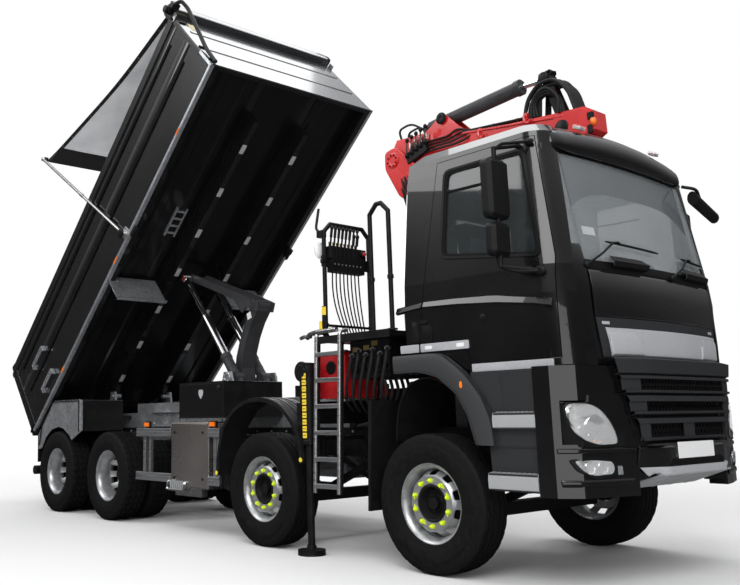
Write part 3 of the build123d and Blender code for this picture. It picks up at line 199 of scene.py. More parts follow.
plate_white = surface("plate_white", (0.72, 0.73, 0.73), (0.78, 0.78, 0.78), (0.35, 0.45), grain=400,
                      bumps=0.1)
arch_grey = surface("arch_grey", (0.030, 0.031, 0.033), (0.040, 0.041, 0.044), (0.42, 0.56), grain=300,
                    bumps=0.15)
board_grey = surface("step_board_grey", (0.26, 0.27, 0.275), (0.33, 0.335, 0.34), (0.45, 0.6), grain=220,
                     bumps=0.25)
brushed_steel = surface("brushed_steel", (0.36, 0.33, 0.31), (0.44, 0.41, 0.39), (0.24, 0.32), metallic=0.9,
                        grain=2.0,
                        bumps=0.0)
pale_yellow = surface("pale_yellow", (0.62, 0.55, 0.30), (0.7, 0.62, 0.36), (0.5, 0.6), grain=60, bumps=0.0)
webbing = surface("sheet_webbing", (0.014, 0.014, 0.015), (0.024, 0.024, 0.026), (0.7, 0.85), grain=500,
                  bumps=0.5)
brass = surface("valve_brass", (0.5, 0.36, 0.12), (0.62, 0.46, 0.18), (0.3, 0.45), metallic=0.9, grain=60,
                bumps=0.1)
hose_rubber = surface("hose_rubber", (0.010, 0.010, 0.011), (0.02, 0.02, 0.021), (0.4, 0.6), grain=240,
                      bumps=0.3, specular=0.22)
underside_paint = surface("underside_black", (0.0035, 0.0035, 0.004), (0.006, 0.0058, 0.006), (0.3, 0.42),
                          grain=1.6,
                          bumps=0.0, coat=0.3, coat_roughness=0.1, specular=0.15)
side_glass = surface("side_glass", (0.020, 0.026, 0.027), (0.030, 0.038, 0.040), (0.02, 0.05), grain=2,
                     bumps=0.0,
                     alpha=0.55, coat=1.0)
# painted reflection: the pale grey-blue base colour stands in for the sky mirrored in the windscreen, over
# the cab inside seen through the part-clear glass
sky_painted_glass = surface("sky_painted_glass", (0.30, 0.33, 0.345), (0.36, 0.39, 0.405), (0.02, 0.05), grain=2,
                       bumps=0.0,
                       alpha=0.42, coat=1.0)
lens_glass = surface("lens_glass", (0.75, 0.77, 0.78), (0.85, 0.86, 0.87), (0.02, 0.06), grain=4, bumps=0.0,
                     alpha=0.22, coat=1.0)
reflector = surface("lamp_reflector", (0.80, 0.80, 0.78), (0.93, 0.93, 0.92), (0.06, 0.2), metallic=1.0,
                    grain=12,
                    bumps=0.3, distance=0.01)


def galvanised_steel():
    """Zinc spangle: flat crystal cells of slightly different brightness."""
    material, tree, shader = new_material("galvanised")
    cells = texture(tree, "ShaderNodeTexVoronoi", 38.0)
    cloud = texture(tree, "ShaderNodeTexNoise", 5.0, Detail=3.0)
    separate = tree.nodes.new("ShaderNodeSeparateColor")
    tree.links.new(cells.outputs["Color"], separate.inputs["Color"])
    tree.links.new(ramp(tree, separate.outputs["Red"], (0.44, 0.46, 0.48), (0.62, 0.64, 0.66), 0.0, 1.0),
                   shader.inputs["Base Color"])
    tree.links.new(ramp(tree, cloud.outputs["Fac"], 0.28, 0.5), shader.inputs["Roughness"])
    shader.inputs["Metallic"].default_value = 0.85
    bump(tree, shader, separate.outputs["Green"], 0.05)
    return material


def mesh_cloth():
    """A pale coated net: fine weave in bump and alpha left partly open."""
    material, tree, shader = new_material("mesh_cloth")
    weave = texture(tree, "ShaderNodeTexWave", 60.0, Distortion=0.5)
    cloud = texture(tree, "ShaderNodeTexNoise", 2.5, Detail=5.0)
    tree.links.new(ramp(tree, cloud.outputs["Fac"], (0.62, 0.65, 0.68), (0.86, 0.87, 0.88)),
                   shader.inputs["Base Color"])
    shader.inputs["Roughness"].default_value = 0.85
    shader.inputs["Alpha"].default_value = 0.8
    shader.inputs["Sheen Weight"].default_value = 0.3
    bump(tree, shader, weave.outputs["Fac"], 0.25)
    return material


galvanised = galvanised_steel()
cloth = mesh_cloth()

node_materials = {
    paint: ("tipper_body", "tailgate", "cab_shell", "door_left", "door_right", "bumper", "lamp_surround"),
    chassis_paint: ("chassis_frame", "front_axles", "rear_axles", "leaf_springs", "cross_box", "underrun_bar",
                    "crane_base", "control_stand", "knuckle_1_left", "knuckle_1_right", "knuckle_2_left",
                    "knuckle_2_right", "leg_left", "leg_right", "outrigger_left", "outrigger_right",
                    "platform"),
    hoist_paint: ("hoist_column", "hoist_lever", "ram_barrels"),
    dark_plastic: ("step_panels", "grille"),
    black_plastic: ("mirrors_left", "mirrors_right"),
    guard_plastic: ("mudguards", "mudflaps"),
    galvanised: ("subframe",),
    engine_iron: ("engine_block",),
    crane_red: ("crane_mast", "inner_boom", "outer_boom", "boom_extension"),
    red_paint: ("oil_tank",),
    chrome: ("ram_rods", "ram_stages"),
    stainless: ("side_box", "sheet_arms"),
    aluminium: ("side_guards", "fuel_tank"),
    sky_painted_glass: ("cab_glass",),
    side_glass: ("door_glass_left", "door_glass_right"),
    lens_glass: ("head_lamps",),
    interior: ("cab_interior",),
    rubber: tuple(n for n in nodes if n.startswith(("wheel_", "twin_wheels"))),
    cloth: ("load_sheet",),
}
for material, names in node_materials.items():
    for node_name in names:
        nodes[node_name].data.materials.clear()
        nodes[node_name].data.materials.append(material)


# ---------------------------------------------------------------------------
# Mesh building
# ---------------------------------------------------------------------------
class Piece:
    """Collects solids in millimetres and makes one mesh object of them."""

    def __init__(self, place=None):
        self.verts, self.faces = [], []
        self.place = place or Matrix.Identity(4)

    def add(self, verts, faces):
        base = len(self.verts)
        self.verts += [self.place @ Vector(v) for v in verts]
        self.faces += [tuple(base + i for i in face) for face in faces]

    def box(self, x0, x1, y0, y1, z0, z1, turn=None):
        corners = [(x, y, z) for x in (x0, x1) for y in (y0, y1) for z in (z0, z1)]
        if turn:
            axis, angle, centre = turn
            spin = Matrix.Rotation(math.radians(angle), 4, axis)
            corners = [spin @ (Vector(c) - Vector(centre)) + Vector(centre) for c in corners]
        self.add(corners,
                 [(0, 1, 3, 2), (4, 6, 7, 5), (0, 4, 5, 1), (2, 3, 7, 6), (0, 2, 6, 4), (1, 5, 7, 3)])

    def prism(self, points, plane, low, high):
        """points lie in plane "xz", "yz" or "xy"; low and high are along the third axis."""
        def spot(a, b, c):
            return {"xz": (a, c, b), "yz": (c, a, b), "xy": (a, b, c)}[plane]
        n = len(points)
        verts = [spot(a, b, low) for a, b in points] + [spot(a, b, high) for a, b in points]
        faces = [tuple(range(n)), tuple(range(2 * n - 1, n - 1, -1))]
        faces += [(i, n + i, n + (i + 1) % n, (i + 1) % n) for i in range(n)]
        self.add(verts, faces)

    def tube(self, path, radius, sides=10, closed=False):
        """A round tube along points, its corners mitred; radius may be one per point."""
        points = [Vector(p) for p in path]
        radii = radius if isinstance(radius, (list, tuple)) else [radius] * len(points)
        rings, normal = [], None
        last = len(points) - 1
        for i, p in enumerate(points):
            before = (p - points[i - 1]).normalized() if i or closed else None
            after = (points[(i + 1) % len(points)] - p).normalized() if i < last or closed else None
            along = ((before or after) + (after or before)).normalized()
            if normal is None:
                normal = along.orthogonal().normalized()
            normal = (normal - along * normal.dot(along)).normalized()
            other = along.cross(normal)
            rings.append([p + (normal * math.cos(t) + other * math.sin(t)) * radii[i]
                          for t in (2 * math.pi * k / sides for k in range(sides))])
        verts = [v for ring in rings for v in ring]
        faces = []
        count = len(rings)
        for i in range(count if closed else count - 1):
            a, b = i * sides, ((i + 1) % count) * sides
            faces += [(a + k, a + (k + 1) % sides, b + (k + 1) % sides, b + k) for k in range(sides)]
        if not closed:
            faces.append(tuple(range(sides - 1, -1, -1)))
            faces.append(tuple((count - 1) * sides + k for k in range(sides)))
        self.add(verts, faces)

    def lathe(self, profile, centre, axis="y", steps=48, closed=False, turn=1):
        """profile: (along, radius) points turned about an axis through centre."""
        frames = {"x": (Vector((1, 0, 0)), Vector((0, 1, 0)), Vector((0, 0, 1))),
                  "y": (Vector((0, 1, 0)), Vector((0, 0, 1)), Vector((1, 0, 0))),
                  "z": (Vector((0, 0, 1)), Vector((1, 0, 0)), Vector((0, 1, 0)))}
        if isinstance(axis, str):
            along, u, v = frames[axis]
        else:
            along = Vector(axis).normalized()
            u = along.orthogonal().normalized()
            v = along.cross(u)
        centre = Vector(centre)
        n = len(profile)
        verts = []
        for k in range(steps):
            t = 2 * math.pi * k / steps
            out = u * math.cos(t) + v * math.sin(t)
            verts += [centre + along * (w * turn) + out * r for w, r in profile]
        faces = []
        for k in range(steps):
            a, b = k * n, (k + 1) % steps * n
            for i in range(n if closed else n - 1):
                j = (i + 1) % n
                faces.append((a + i, a + j, b + j, b + i))
        if not closed:
            for end in (0, n - 1):
                ring = [k * n + end for k in range(steps)]
                if profile[end][1] > 0.01:
                    faces.append(tuple(ring if end else ring[::-1]))
        self.add(verts, faces)

    def ball(self, centre, radii, rows=8, columns=14):
        rx, ry, rz = radii if isinstance(radii, (list, tuple)) else (radii,) * 3
        verts = [(centre[0], centre[1], centre[2] - rz)]
        for i in range(1, rows):
            p = math.pi * (i / rows - 0.5)
            verts += [(centre[0] + rx * math.cos(p) * math.cos(t), centre[1] + ry * math.cos(p) * math.sin(t),
                       centre[2] + rz * math.sin(p))
                      for t in (2 * math.pi * k / columns for k in range(columns))]
        verts.append((centre[0], centre[1], centre[2] + rz))
        top = len(verts) - 1
        faces = [(0, 1 + (k + 1) % columns, 1 + k) for k in range(columns)]
        for i in range(rows - 2):
            a, b = 1 + i * columns, 1 + (i + 1) * columns
            faces += [(a + k, a + (k + 1) % columns, b + (k + 1) % columns, b + k) for k in range(columns)]
        a = top - columns
        faces += [(a + k, a + (k + 1) % columns, top) for k in range(columns)]
        self.add(verts, faces)

    def loft(self, sections, closed_ring=True):
        """Sections with the same number of points, joined in order and capped."""
        n = len(sections[0])
        verts = [p for section in sections for p in section]
        faces = []
        for i in range(len(sections) - 1):
            a, b = i * n, (i + 1) * n
            for k in range(n if closed_ring else n - 1):
                faces.append((a + k, a + (k + 1) % n, b + (k + 1) % n, b + k))
        if closed_ring:
            faces.append(tuple(range(n - 1, -1, -1)))
            faces.append(tuple((len(sections) - 1) * n + k for k in range(n)))
        self.add(verts, faces)

    def make(self, name, material, body, slot, bevel=0.0, sharp=35, subdivide=0):
        mesh = bpy.data.meshes.new(name)
        mesh.from_pydata([v * 0.001 for v in self.verts], [], self.faces)
        mesh.materials.append(material)
        work = bmesh.new()
        work.from_mesh(mesh)
        bmesh.ops.recalc_face_normals(work, faces=work.faces)
        work.to_mesh(mesh)
        work.free()
        mesh.polygons.foreach_set("use_smooth", [True] * len(mesh.polygons))
        mesh.set_sharp_from_angle(angle=math.radians(sharp))
        obj = bpy.data.objects.new(name, mesh)
        scene.collection.objects.link(obj)
        if bevel:
            edge = obj.modifiers.new("edge", "BEVEL")
            edge.width = bevel * 0.001
            edge.segments = 2
            edge.limit_method = "ANGLE"
            edge.angle_limit = math.radians(35)
            edge.harden_normals = True
        if subdivide:
            smooth = obj.modifiers.new("smooth", "SUBSURF")
            smooth.levels = smooth.render_levels = subdivide
        if body:
            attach(obj, body)
        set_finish(obj, slot)
        return obj


def rounded(points, radius, steps=4):
    """A path with its inner corners replaced by short curves."""
    pts = [Vector(p) for p in points]
    path = [pts[0]]
    for a, b, c in zip(pts, pts[1:], pts[2:]):
        cut = min(radius, (b - a).length * 0.45, (c - b).length * 0.45)
        start, end = b + (a - b).normalized() * cut, b + (c - b).normalized() * cut
        for k in range(steps + 1):
            t = k / steps
            path.append(start * (1 - t) ** 2 + b * 2 * t * (1 - t) + end * t * t)
    path.append(pts[-1])
    return path


def copy_of(obj, name, body, matrix):
    """The same mesh shown again at another place."""
    twin = bpy.data.objects.new(name, obj.data)
    scene.collection.objects.link(twin)
    for modifier in obj.modifiers:
        fresh = twin.modifiers.new(modifier.name, modifier.type)
        for key in ("width", "segments", "limit_method", "angle_limit", "harden_normals", "levels",
                    "render_levels"):
            if hasattr(modifier, key):
                setattr(fresh, key, getattr(modifier, key))
    twin.matrix_world = matrix
    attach(twin, body)
    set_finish(twin, obj["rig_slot"])
    return twin


# ---------------------------------------------------------------------------
# Camera, floor and light
# ---------------------------------------------------------------------------
CAMERA_PLACE = Vector((AXLE_1 + 4502.8, -6355.0, 1163.9)) * 0.001
CAMERA_AZIMUTH, CAMERA_ELEVATION, CAMERA_ROLL = (math.radians(v) for v in (51.1, 10.9, -0.8))
FOCAL_PIXELS = 860.5
PHOTO_WIDTH, PHOTO_HEIGHT = 740, 585
PRINCIPAL = (271.1, 252.8)
SENSOR_MM = 36.0


def make_camera():
    a, e, r = CAMERA_AZIMUTH, CAMERA_ELEVATION, CAMERA_ROLL
    view = Vector((-math.sin(a) * math.cos(e), math.cos(a) * math.cos(e), math.sin(e)))
    right = view.cross(Vector((0, 0, 1))).normalized()
    up = right.cross(view)
    turned_right = right * math.cos(r) + up * math.sin(r)
    turned_up = up * math.cos(r) - right * math.sin(r)
    data = bpy.data.cameras.new("camera")
    data.sensor_fit = "HORIZONTAL"
    data.sensor_width = SENSOR_MM
    data.lens = FOCAL_PIXELS / PHOTO_WIDTH * SENSOR_MM
    data.shift_x = (PHOTO_WIDTH / 2 - PRINCIPAL[0]) / PHOTO_WIDTH
    data.shift_y = (PRINCIPAL[1] - PHOTO_HEIGHT / 2) / PHOTO_WIDTH
    data.clip_end = 200
    camera = bpy.data.objects.new("camera", data)
    scene.collection.objects.link(camera)
    rotation = Matrix((turned_right, turned_up, -view)).transposed().to_4x4()
    camera.matrix_world = Matrix.Translation(CAMERA_PLACE) @ rotation
    scene.camera = camera


def make_stage():
    """A pale floor that keeps the shadow near the truck and fades to the white background away from it."""
    mesh = bpy.data.meshes.new("floor")
    half = 90.0
    mesh.from_pydata([(-half, -half, 0), (half, -half, 0), (half, half, 0), (-half, half, 0)], [],
                     [(0, 1, 2, 3)])
    material, tree, shader = new_material("floor")
    shader.inputs["Base Color"].default_value = (0.86, 0.86, 0.86, 1)
    shader.inputs["Roughness"].default_value = 0.95
    shader.inputs["Specular IOR Level"].default_value = 0.0
    place = tree.nodes.new("ShaderNodeTexCoord")
    reach = tree.nodes.new("ShaderNodeVectorMath")
    reach.operation = "LENGTH"
    tree.links.new(place.outputs["Object"], reach.inputs[0])
    fade = tree.nodes.new("ShaderNodeMapRange")
    fade.interpolation_type = "SMOOTHSTEP"
    fade.inputs["From Min"].default_value = 5.0
    fade.inputs["From Max"].default_value = 13.0
    tree.links.new(reach.outputs["Value"], fade.inputs["Value"])
    path = tree.nodes.new("ShaderNodeLightPath")
    seen = tree.nodes.new("ShaderNodeMath")
    seen.operation = "MAXIMUM"
    tree.links.new(path.outputs["Is Camera Ray"], seen.inputs[0])
    tree.links.new(path.outputs["Is Transmission Ray"], seen.inputs[1])
    amount = tree.nodes.new("ShaderNodeMath")
    amount.operation = "MULTIPLY"
    tree.links.new(seen.outputs["Value"], amount.inputs[0])
    tree.links.new(fade.outputs["Result"], amount.inputs[1])
    white = tree.nodes.new("ShaderNodeEmission")
    white.inputs["Color"].default_value = (1, 1, 1, 1)
    blend = tree.nodes.new("ShaderNodeMixShader")
    tree.links.new(amount.outputs["Value"], blend.inputs["Fac"])
    tree.links.new(shader.outputs["BSDF"], blend.inputs[1])
    tree.links.new(white.outputs["Emission"], blend.inputs[2])
    # in glossy paint the ground reads dark, as a yard does
    dark = tree.nodes.new("ShaderNodeBsdfDiffuse")
    dark.inputs["Color"].default_value = (0.10, 0.10, 0.105, 1)
    mirrored = tree.nodes.new("ShaderNodeMixShader")
    tree.links.new(path.outputs["Is Glossy Ray"], mirrored.inputs["Fac"])
    tree.links.new(blend.outputs["Shader"], mirrored.inputs[1])
    tree.links.new(dark.outputs["BSDF"], mirrored.inputs[2])
    tree.links.new(mirrored.outputs["Shader"], tree.nodes["Material Output"].inputs["Surface"])
    mesh.materials.append(material)
    floor = bpy.data.objects.new("floor", mesh)
    scene.collection.objects.link(floor)


def make_world():
    world = bpy.data.worlds.new("world")
    scene.world = world
    world.use_nodes = True
    tree = world.node_tree
    back = tree.nodes["Background"]
    back.inputs["Strength"].default_value = 1.0
    path = tree.nodes.new("ShaderNodeLightPath")
    place = tree.nodes.new("ShaderNodeTexCoord")
    parts = tree.nodes.new("ShaderNodeSeparateXYZ")
    tree.links.new(place.outputs["Generated"], parts.inputs["Vector"])
    sky = tree.nodes.new("ShaderNodeValToRGB")
    sky.color_ramp.elements[0].position = 0.0
    sky.color_ramp.elements[0].color = (0.05, 0.045, 0.042, 1)
    sky.color_ramp.elements[1].position = 0.85
    sky.color_ramp.elements[1].color = (0.80, 0.83, 0.86, 1)
    for position, grey in ((0.16, 0.08), (0.3, 0.16), (0.5, 0.42)):
        stop = sky.color_ramp.elements.new(position)
        stop.color = (grey, grey, grey * 1.02, 1)
    tree.links.new(parts.outputs["Z"], sky.inputs["Fac"])
    diffuse = tree.nodes.new("ShaderNodeMix")
    diffuse.data_type = "RGBA"
    diffuse.inputs["A"].default_value = (0.62, 0.62, 0.63, 1)
    tree.links.new(path.outputs["Is Glossy Ray"], diffuse.inputs["Factor"])
    tree.links.new(sky.outputs["Color"], diffuse.inputs["B"])
    seen = tree.nodes.new("ShaderNodeMath")
    seen.operation = "MAXIMUM"
    tree.links.new(path.outputs["Is Camera Ray"], seen.inputs[0])
    tree.links.new(path.outputs["Is Transmission Ray"], seen.inputs[1])
    total = tree.nodes.new("ShaderNodeMix")
    total.data_type = "RGBA"
    total.inputs["B"].default_value = (1, 1, 1, 1)
    tree.links.new(seen.outputs["Value"], total.inputs["Factor"])
    tree.links.new(diffuse.outputs["Result"], total.inputs["A"])
    tree.links.new(total.outputs["Result"], back.inputs["Color"])


def make_lights():
    # columns: name, place, target, size, power in watts
    table = [
        ("key", (9.0, -9.0, 9.0), (0.5, 0, 1.5), 7.0, 840.0),
        ("fill", (-7.0, -10.0, 12.0), (-1.5, 0, 2.0), 7.0, 620.0),
        ("top", (0.0, 2.0, 13.0), (0, 0, 2.0), 9.0, 460.0),
        ("back", (-10.0, 9.0, 8.0), (0, 0, 2.0), 8.0, 400.0),
        ("low", (9.0, -5.0, 1.0), (2.0, -1, 1.6), 3.0, 60.0),
    ]
    for name, place, target, size, power in table:
        data = bpy.data.lights.new(name, "AREA")
        data.shape = "SQUARE"
        data.size = size
        data.energy = power
        light = bpy.data.objects.new(name, data)
        scene.collection.objects.link(light)
        light.location = place
        light.rotation_euler = (Vector(target) - Vector(place)).to_track_quat("-Z", "Y").to_euler()


scene.view_settings.view_transform = "Standard"
make_camera()
make_stage()
make_world()
make_lights()

# ---------------------------------------------------------------------------
# Wheels
# ---------------------------------------------------------------------------
TYRE_STEPS = 144
# columns: offset outward from the tyre's middle, radius; the tread is filled in between
SIDEWALL = [(-112, 288), (-122, 297), (-134, 303), (-142, 330), (-150, 352), (-155, 378), (-157, 402),
            (-155, 426),
            (-152, 430), (-150, 452), (-146, 466), (-145, 480), (-140, 492), (-133, 503)]
GROOVE_DEPTH = 13.0


def tyre_piece(block_tread):
    """One tyre round the origin's Y axis, its tread cut by grooves."""
    grooves = (-86, -30, 30, 86) if not block_tread else (-72, 0, 72)
    groove_half = 5.5 if not block_tread else 7.0
    tread = []
    for g in grooves:
        tread += [(g - groove_half - 1.5, 0), (g - groove_half, 1), (g + groove_half, 1),
                  (g + groove_half + 1.5, 0)]
    middles = sorted([(w, 0) for w in (-124, -105, 105, 124)] + tread)
    piece = Piece()
    rows = []
    for k in range(TYRE_STEPS):
        t = 2 * math.pi * k / TYRE_STEPS
        zigzag = 4.0 * (1 if k % 4 < 2 else -1) if not block_tread else 7.0 * (1 if k % 4 < 2 else -1)
        row = list(SIDEWALL)
        for w, sunk in middles:
            crown = 518.0 - 5.0 * (w / 125.0) ** 4
            shift = zigzag if sunk or abs(w) < 100 else 0.0
            cut = GROOVE_DEPTH if sunk else 0.0
            if block_tread and k % 4 == 0:
                cut = max(cut, 10.0)
            if not block_tread and k % 4 == 0 and abs(w) > 92 and not sunk:
                cut = 3.0
            row.append((w + shift, crown - cut))
        row += [(-w, r) for w, r in reversed(SIDEWALL)]
        if block_tread and k % 4 == 0:
            row = [(w, r - 8.0 if r > 485 and abs(w) > 130 else r) for w, r in row]
        rows.append([(r * math.cos(t), w, r * math.sin(t)) for w, r in row])
    rows.append(rows[0])
    n = len(rows[0])
    verts = [p for row in rows[:-1] for p in row]
    faces = []
    for k in range(TYRE_STEPS):
        a, b = k * n, (k + 1) % TYRE_STEPS * n
        faces += [(a + i, a + i + 1, b + i + 1, b + i) for i in range(n - 1)]
        # closes the inside behind the rim
        faces.append((a + n - 1, a, b, b + n - 1))
    piece.add(verts, faces)
    return piece


def holed_disc(profile, thickness, holes, hole_row, hole_half):
    """A turned disc wall with oval hand holes: faces near each hole's centre are left out."""
    steps = holes * 12
    front = profile
    piece = Piece()
    n = len(front)
    verts = []
    for k in range(steps):
        t = 2 * math.pi * k / steps
        verts += [(r * math.cos(t), w, r * math.sin(t)) for w, r in front]
        verts += [(r * math.cos(t), w - thickness, r * math.sin(t)) for w, r in front]
    faces = []

    def open_cell(k, i):
        phase = (k % 12 + 0.5) / 12 - 0.5
        middle = (i + 0.5 - hole_row) / hole_half
        return (phase / 0.27) ** 2 + middle ** 2 < 1.0

    for k in range(steps):
        a, b = k * 2 * n, (k + 1) % steps * 2 * n
        for i in range(n - 1):
            if open_cell(k, i):
                continue
            faces.append((a + i, a + i + 1, b + i + 1, b + i))
            faces.append((a + n + i, b + n + i, b + n + i + 1, a + n + i + 1))
            if open_cell((k + 1) % steps, i):
                faces.append((b + i, b + i + 1, b + n + i + 1, b + n + i))
            if open_cell((k - 1) % steps, i):
                faces.append((a + i, a + n + i, a + n + i + 1, a + i + 1))
            if i and open_cell(k, i - 1):
                faces.append((a + i, b + i, b + n + i, a + n + i))
            if i < n - 2 and open_cell(k, i + 1):
                faces.append((a + i + 1, a + n + i + 1, b + n + i + 1, b + i + 1))
        for i in (0, n - 1):
            faces.append((a + i, b + i, b + n + i, a + n + i))
    piece.add(verts, faces)
    return piece


def spread_profile(points, steps):
    """Adds evenly spaced points to each run of a profile."""
    out = []
    for (a, b), (c, d) in zip(points, points[1:]):
        out += [(a + (c - a) * k / steps, b + (d - b) * k / steps) for k in range(steps)]
    return out + [points[-1]]


RIM_RING = [(-116, 290), (-120, 302), (-112, 304), (-104, 292), (-70, 268), (-40, 262), (60, 262), (92, 276),
            (108, 292), (116, 304), (123, 303), (121, 292), (112, 280), (96, 266), (62, 252), (-42,
                                                                                               252), (-74,
                                                                                                      258),
            (-108, 280)]


def front_rim():
    rim = Piece()
    rim.lathe(RIM_RING, (0, 0, 0), "y", 72, closed=True)
    cone = spread_profile([(14, 254), (30, 252), (92, 214), (102, 203)], 4)
    disc = holed_disc(cone, 9, 10, 6.6, 3.6)
    rim.add(disc.verts, disc.faces)
    rim.lathe([(102, 204), (106, 200), (108, 198), (108, 142), (96, 140), (96, 204)], (0, 0, 0), "y", 72,
              closed=True)
    return rim


def rear_rim():
    rim = Piece()
    rim.lathe(RIM_RING, (0, 0, 0), "y", 72, closed=True)
    cone = spread_profile([(-20, 254), (-50, 250), (-122, 214), (-132, 203)], 4)
    disc = holed_disc(cone, 9, 10, 6.6, 3.6)
    rim.add(disc.verts, disc.faces)
    rim.lathe([(-132, 204), (-138, 200), (-138, 142), (-150, 140), (-150, 204)], (0, 0, 0), "y", 72,
              closed=True)
    return rim


def inner_rim():
    rim = Piece()
    rim.lathe(RIM_RING, (0, 0, 0), "y", 60, closed=True)
    return rim


def front_hub():
    hub = Piece()
    hub.lathe([(60, 0), (60, 52), (66, 58), (66, 70), (58, 78), (58, 96), (90, 112), (104, 118), (108, 128),
               (104, 139), (80, 139), (40, 120), (40, 0)], (0, 0, 0), "y", 48)
    for k in range(8):
        t = 2 * math.pi * k / 8
        hub.lathe([(66, 0), (72, 5), (72, 7), (60, 8)], (64 * math.cos(t), 0, 64 * math.sin(t)), "y", 6)
    return hub


def rear_hub():
    hub = Piece()
    hub.lathe([(-36, 0), (-36, 60), (-44, 74), (-120, 92), (-124, 128), (-134, 139), (-150, 139), (-150, 0)],
              (0, 0, 0), "y", 48)
    for k in range(10):
        t = 2 * math.pi * (k + 0.5) / 10
        hub.lathe([(-34, 0), (-34, 8), (-42, 8)], (48 * math.cos(t), 0, 48 * math.sin(t)), "y", 6)
        # wheel nuts
        hub.lathe([(-106, 0), (-104, 8), (-108, 14), (-132, 15), (-132, 20), (-138, 20)],
                  (167.5 * math.cos(t), 0, 167.5 * math.sin(t)), "y", 6)
    return hub


def nut_caps():
    """Ten caps whose pointers face each other in pairs."""
    caps = Piece()
    for k in range(10):
        t = 2 * math.pi * (k + 0.5) / 10
        centre = (167.5 * math.cos(t), 0, 167.5 * math.sin(t))
        caps.lathe([(136, 0), (135, 8), (130, 14), (122, 17), (110, 18), (108, 18)], centre, "y", 14)
        lean = 1 if k % 2 else -1
        along = Vector((-math.sin(t), 0, math.cos(t))) * lean
        out = Vector((math.cos(t), 0, math.sin(t)))
        base = Vector(centre)
        tip = base + along * 38
        low, high = Vector((0, 109, 0)), Vector((0, 117, 0))
        corners = [base + out * 15, tip, base - out * 15]
        verts = [c + low for c in corners] + [c + high for c in corners]
        caps.add(verts, [(0, 1, 2), (5, 4, 3), (0, 3, 4, 1), (1, 4, 5, 2), (2, 5, 3, 0)])
    return caps


def wheel_matrix(axle, y, side):
    """Places a wheel piece; the right side is turned round so that its outer face looks outward."""
    place = Matrix.Translation(Vector((AXLES[axle], y, WHEEL_Z)) * 0.001)
    return place @ Matrix.Rotation(0.0 if side > 0 else math.pi, 4, "Z")


def make_wheels():
    steer = tyre_piece(False).make("tyre_1_right", rubber, None, "tyre_rubber", sharp=30)
    drive = tyre_piece(True).make("tyre_3_right", rubber, None, "tyre_rubber", sharp=30)
    rim = front_rim().make("rim_1_right", rim_silver, None, "aluminium", sharp=32)
    deep = rear_rim().make("rim_3_right", rim_silver, None, "aluminium", sharp=32)
    plain = inner_rim().make("inner_rim_3_right", rim_silver, None, "aluminium", sharp=32)
    hub = front_hub().make("hub_1_right", chassis_paint, None, "chassis_paint")
    rear = rear_hub().make("hub_3_right", chassis_paint, None, "chassis_paint")
    caps = nut_caps().make("nut_caps_1_right", yellow_cap, None, "dark_plastic", sharp=50)
    for axle in (1, 2):
        for side_name, side in SIDES:
            body, place = f"wheel_{axle}_{side_name}", wheel_matrix(axle, side * TYRE_Y, side)
            for source, stem in ((steer, "tyre"), (rim, "rim"), (hub, "hub"), (caps, "nut_caps")):
                if axle == 1 and side < 0:
                    source.matrix_world = place
                    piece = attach(source, body)
                else:
                    piece = copy_of(source, f"{stem}_{axle}_{side_name}", body, place)
                if stem == "tyre":
                    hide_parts(body)
    for axle in (3, 4):
        for side_name, side in SIDES:
            body, place = f"twin_wheels_{axle}_{side_name}", wheel_matrix(axle, side * TYRE_Y, side)
            inner = wheel_matrix(axle, side * (TYRE_Y - TWIN_SPACING), side)
            for source, stem, spot in ((drive, "tyre", place), (deep, "rim", place), (rear, "hub", place),
                                       (plain, "inner_rim", inner)):
                if axle == 3 and side < 0:
                    source.matrix_world = spot
                    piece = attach(source, body)
                else:
                    piece = copy_of(source, f"{stem}_{axle}_{side_name}", body, spot)
                if stem == "tyre":
                    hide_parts(body)
            copy_of(drive, f"inner_tyre_{axle}_{side_name}", body, inner)


make_wheels()

# ---------------------------------------------------------------------------
# Cab surfaces: the same sections as the CAD's cab and nose
# ---------------------------------------------------------------------------
# columns: height, half width, end of the flat side, corner x, corner y, front x
CAB_SECTIONS = [
    (1500, 1160, 1060, 1285, 860, 1372), (2000, 1172, 1070, 1268, 860, 1338), (2200, 1165, 1060, 1245, 870,
                                                                               1302),
    (3080, 1085, 958, 1088, 855, 1128), (3220, 1070, 940, 1072, 845, 1130), (3312, 965, 850, 985, 740, 1085),
]
NOSE = [(560, 1395), (840, 1330), (1110, 1240), (1225, 1110), (1238, 985)]


def mix(a, b, t):
    return a + (b - a) * t


def section_at(z):
    z = min(max(z, CAB_SECTIONS[0][0]), CAB_SECTIONS[-1][0])
    for low, high in zip(CAB_SECTIONS, CAB_SECTIONS[1:]):
        if z <= high[0]:
            t = (z - low[0]) / (high[0] - low[0])
            return [mix(a, b, t) for a, b in zip(low[1:], high[1:])]


def cab_half(z):
    return section_at(z)[0]


def front_x(y, z):
    """X of the cab's front or corner surface, ahead of axle 1."""
    half, side_end, corner_x, corner_y, front = section_at(z)
    y = abs(y)
    if y <= corner_y:
        sag = front - corner_x
        radius = (corner_y ** 2 + sag ** 2) / (2 * sag)
        return front - radius + math.sqrt(radius ** 2 - y ** 2)
    t = min((y - corner_y) / (half - corner_y), 1.0)
    return mix(corner_x, side_end, t) + 62 * 4 * t * (1 - t) * 0.9


def nose_x(y, z):
    y = abs(y)
    if y <= NOSE[0][0]:
        return NOSE[0][1]
    for low, high in zip(NOSE, NOSE[1:]):
        if y <= high[0]:
            return mix(low[1], high[1], (y - low[0]) / (high[0] - low[0]))
    return NOSE[-1][1]


def bumper_x(y, z):
    """The bumper, whose middle stands forward."""
    if abs(y) < 430:
        return 1462
    if abs(y) < 560:
        return mix(1462, 1395, (abs(y) - 430) / 130)
    return nose_x(y, z)


def on_side(points, side, out):
    return [(ax(x), side * (cab_half(z) + out), z) for x, z in points]


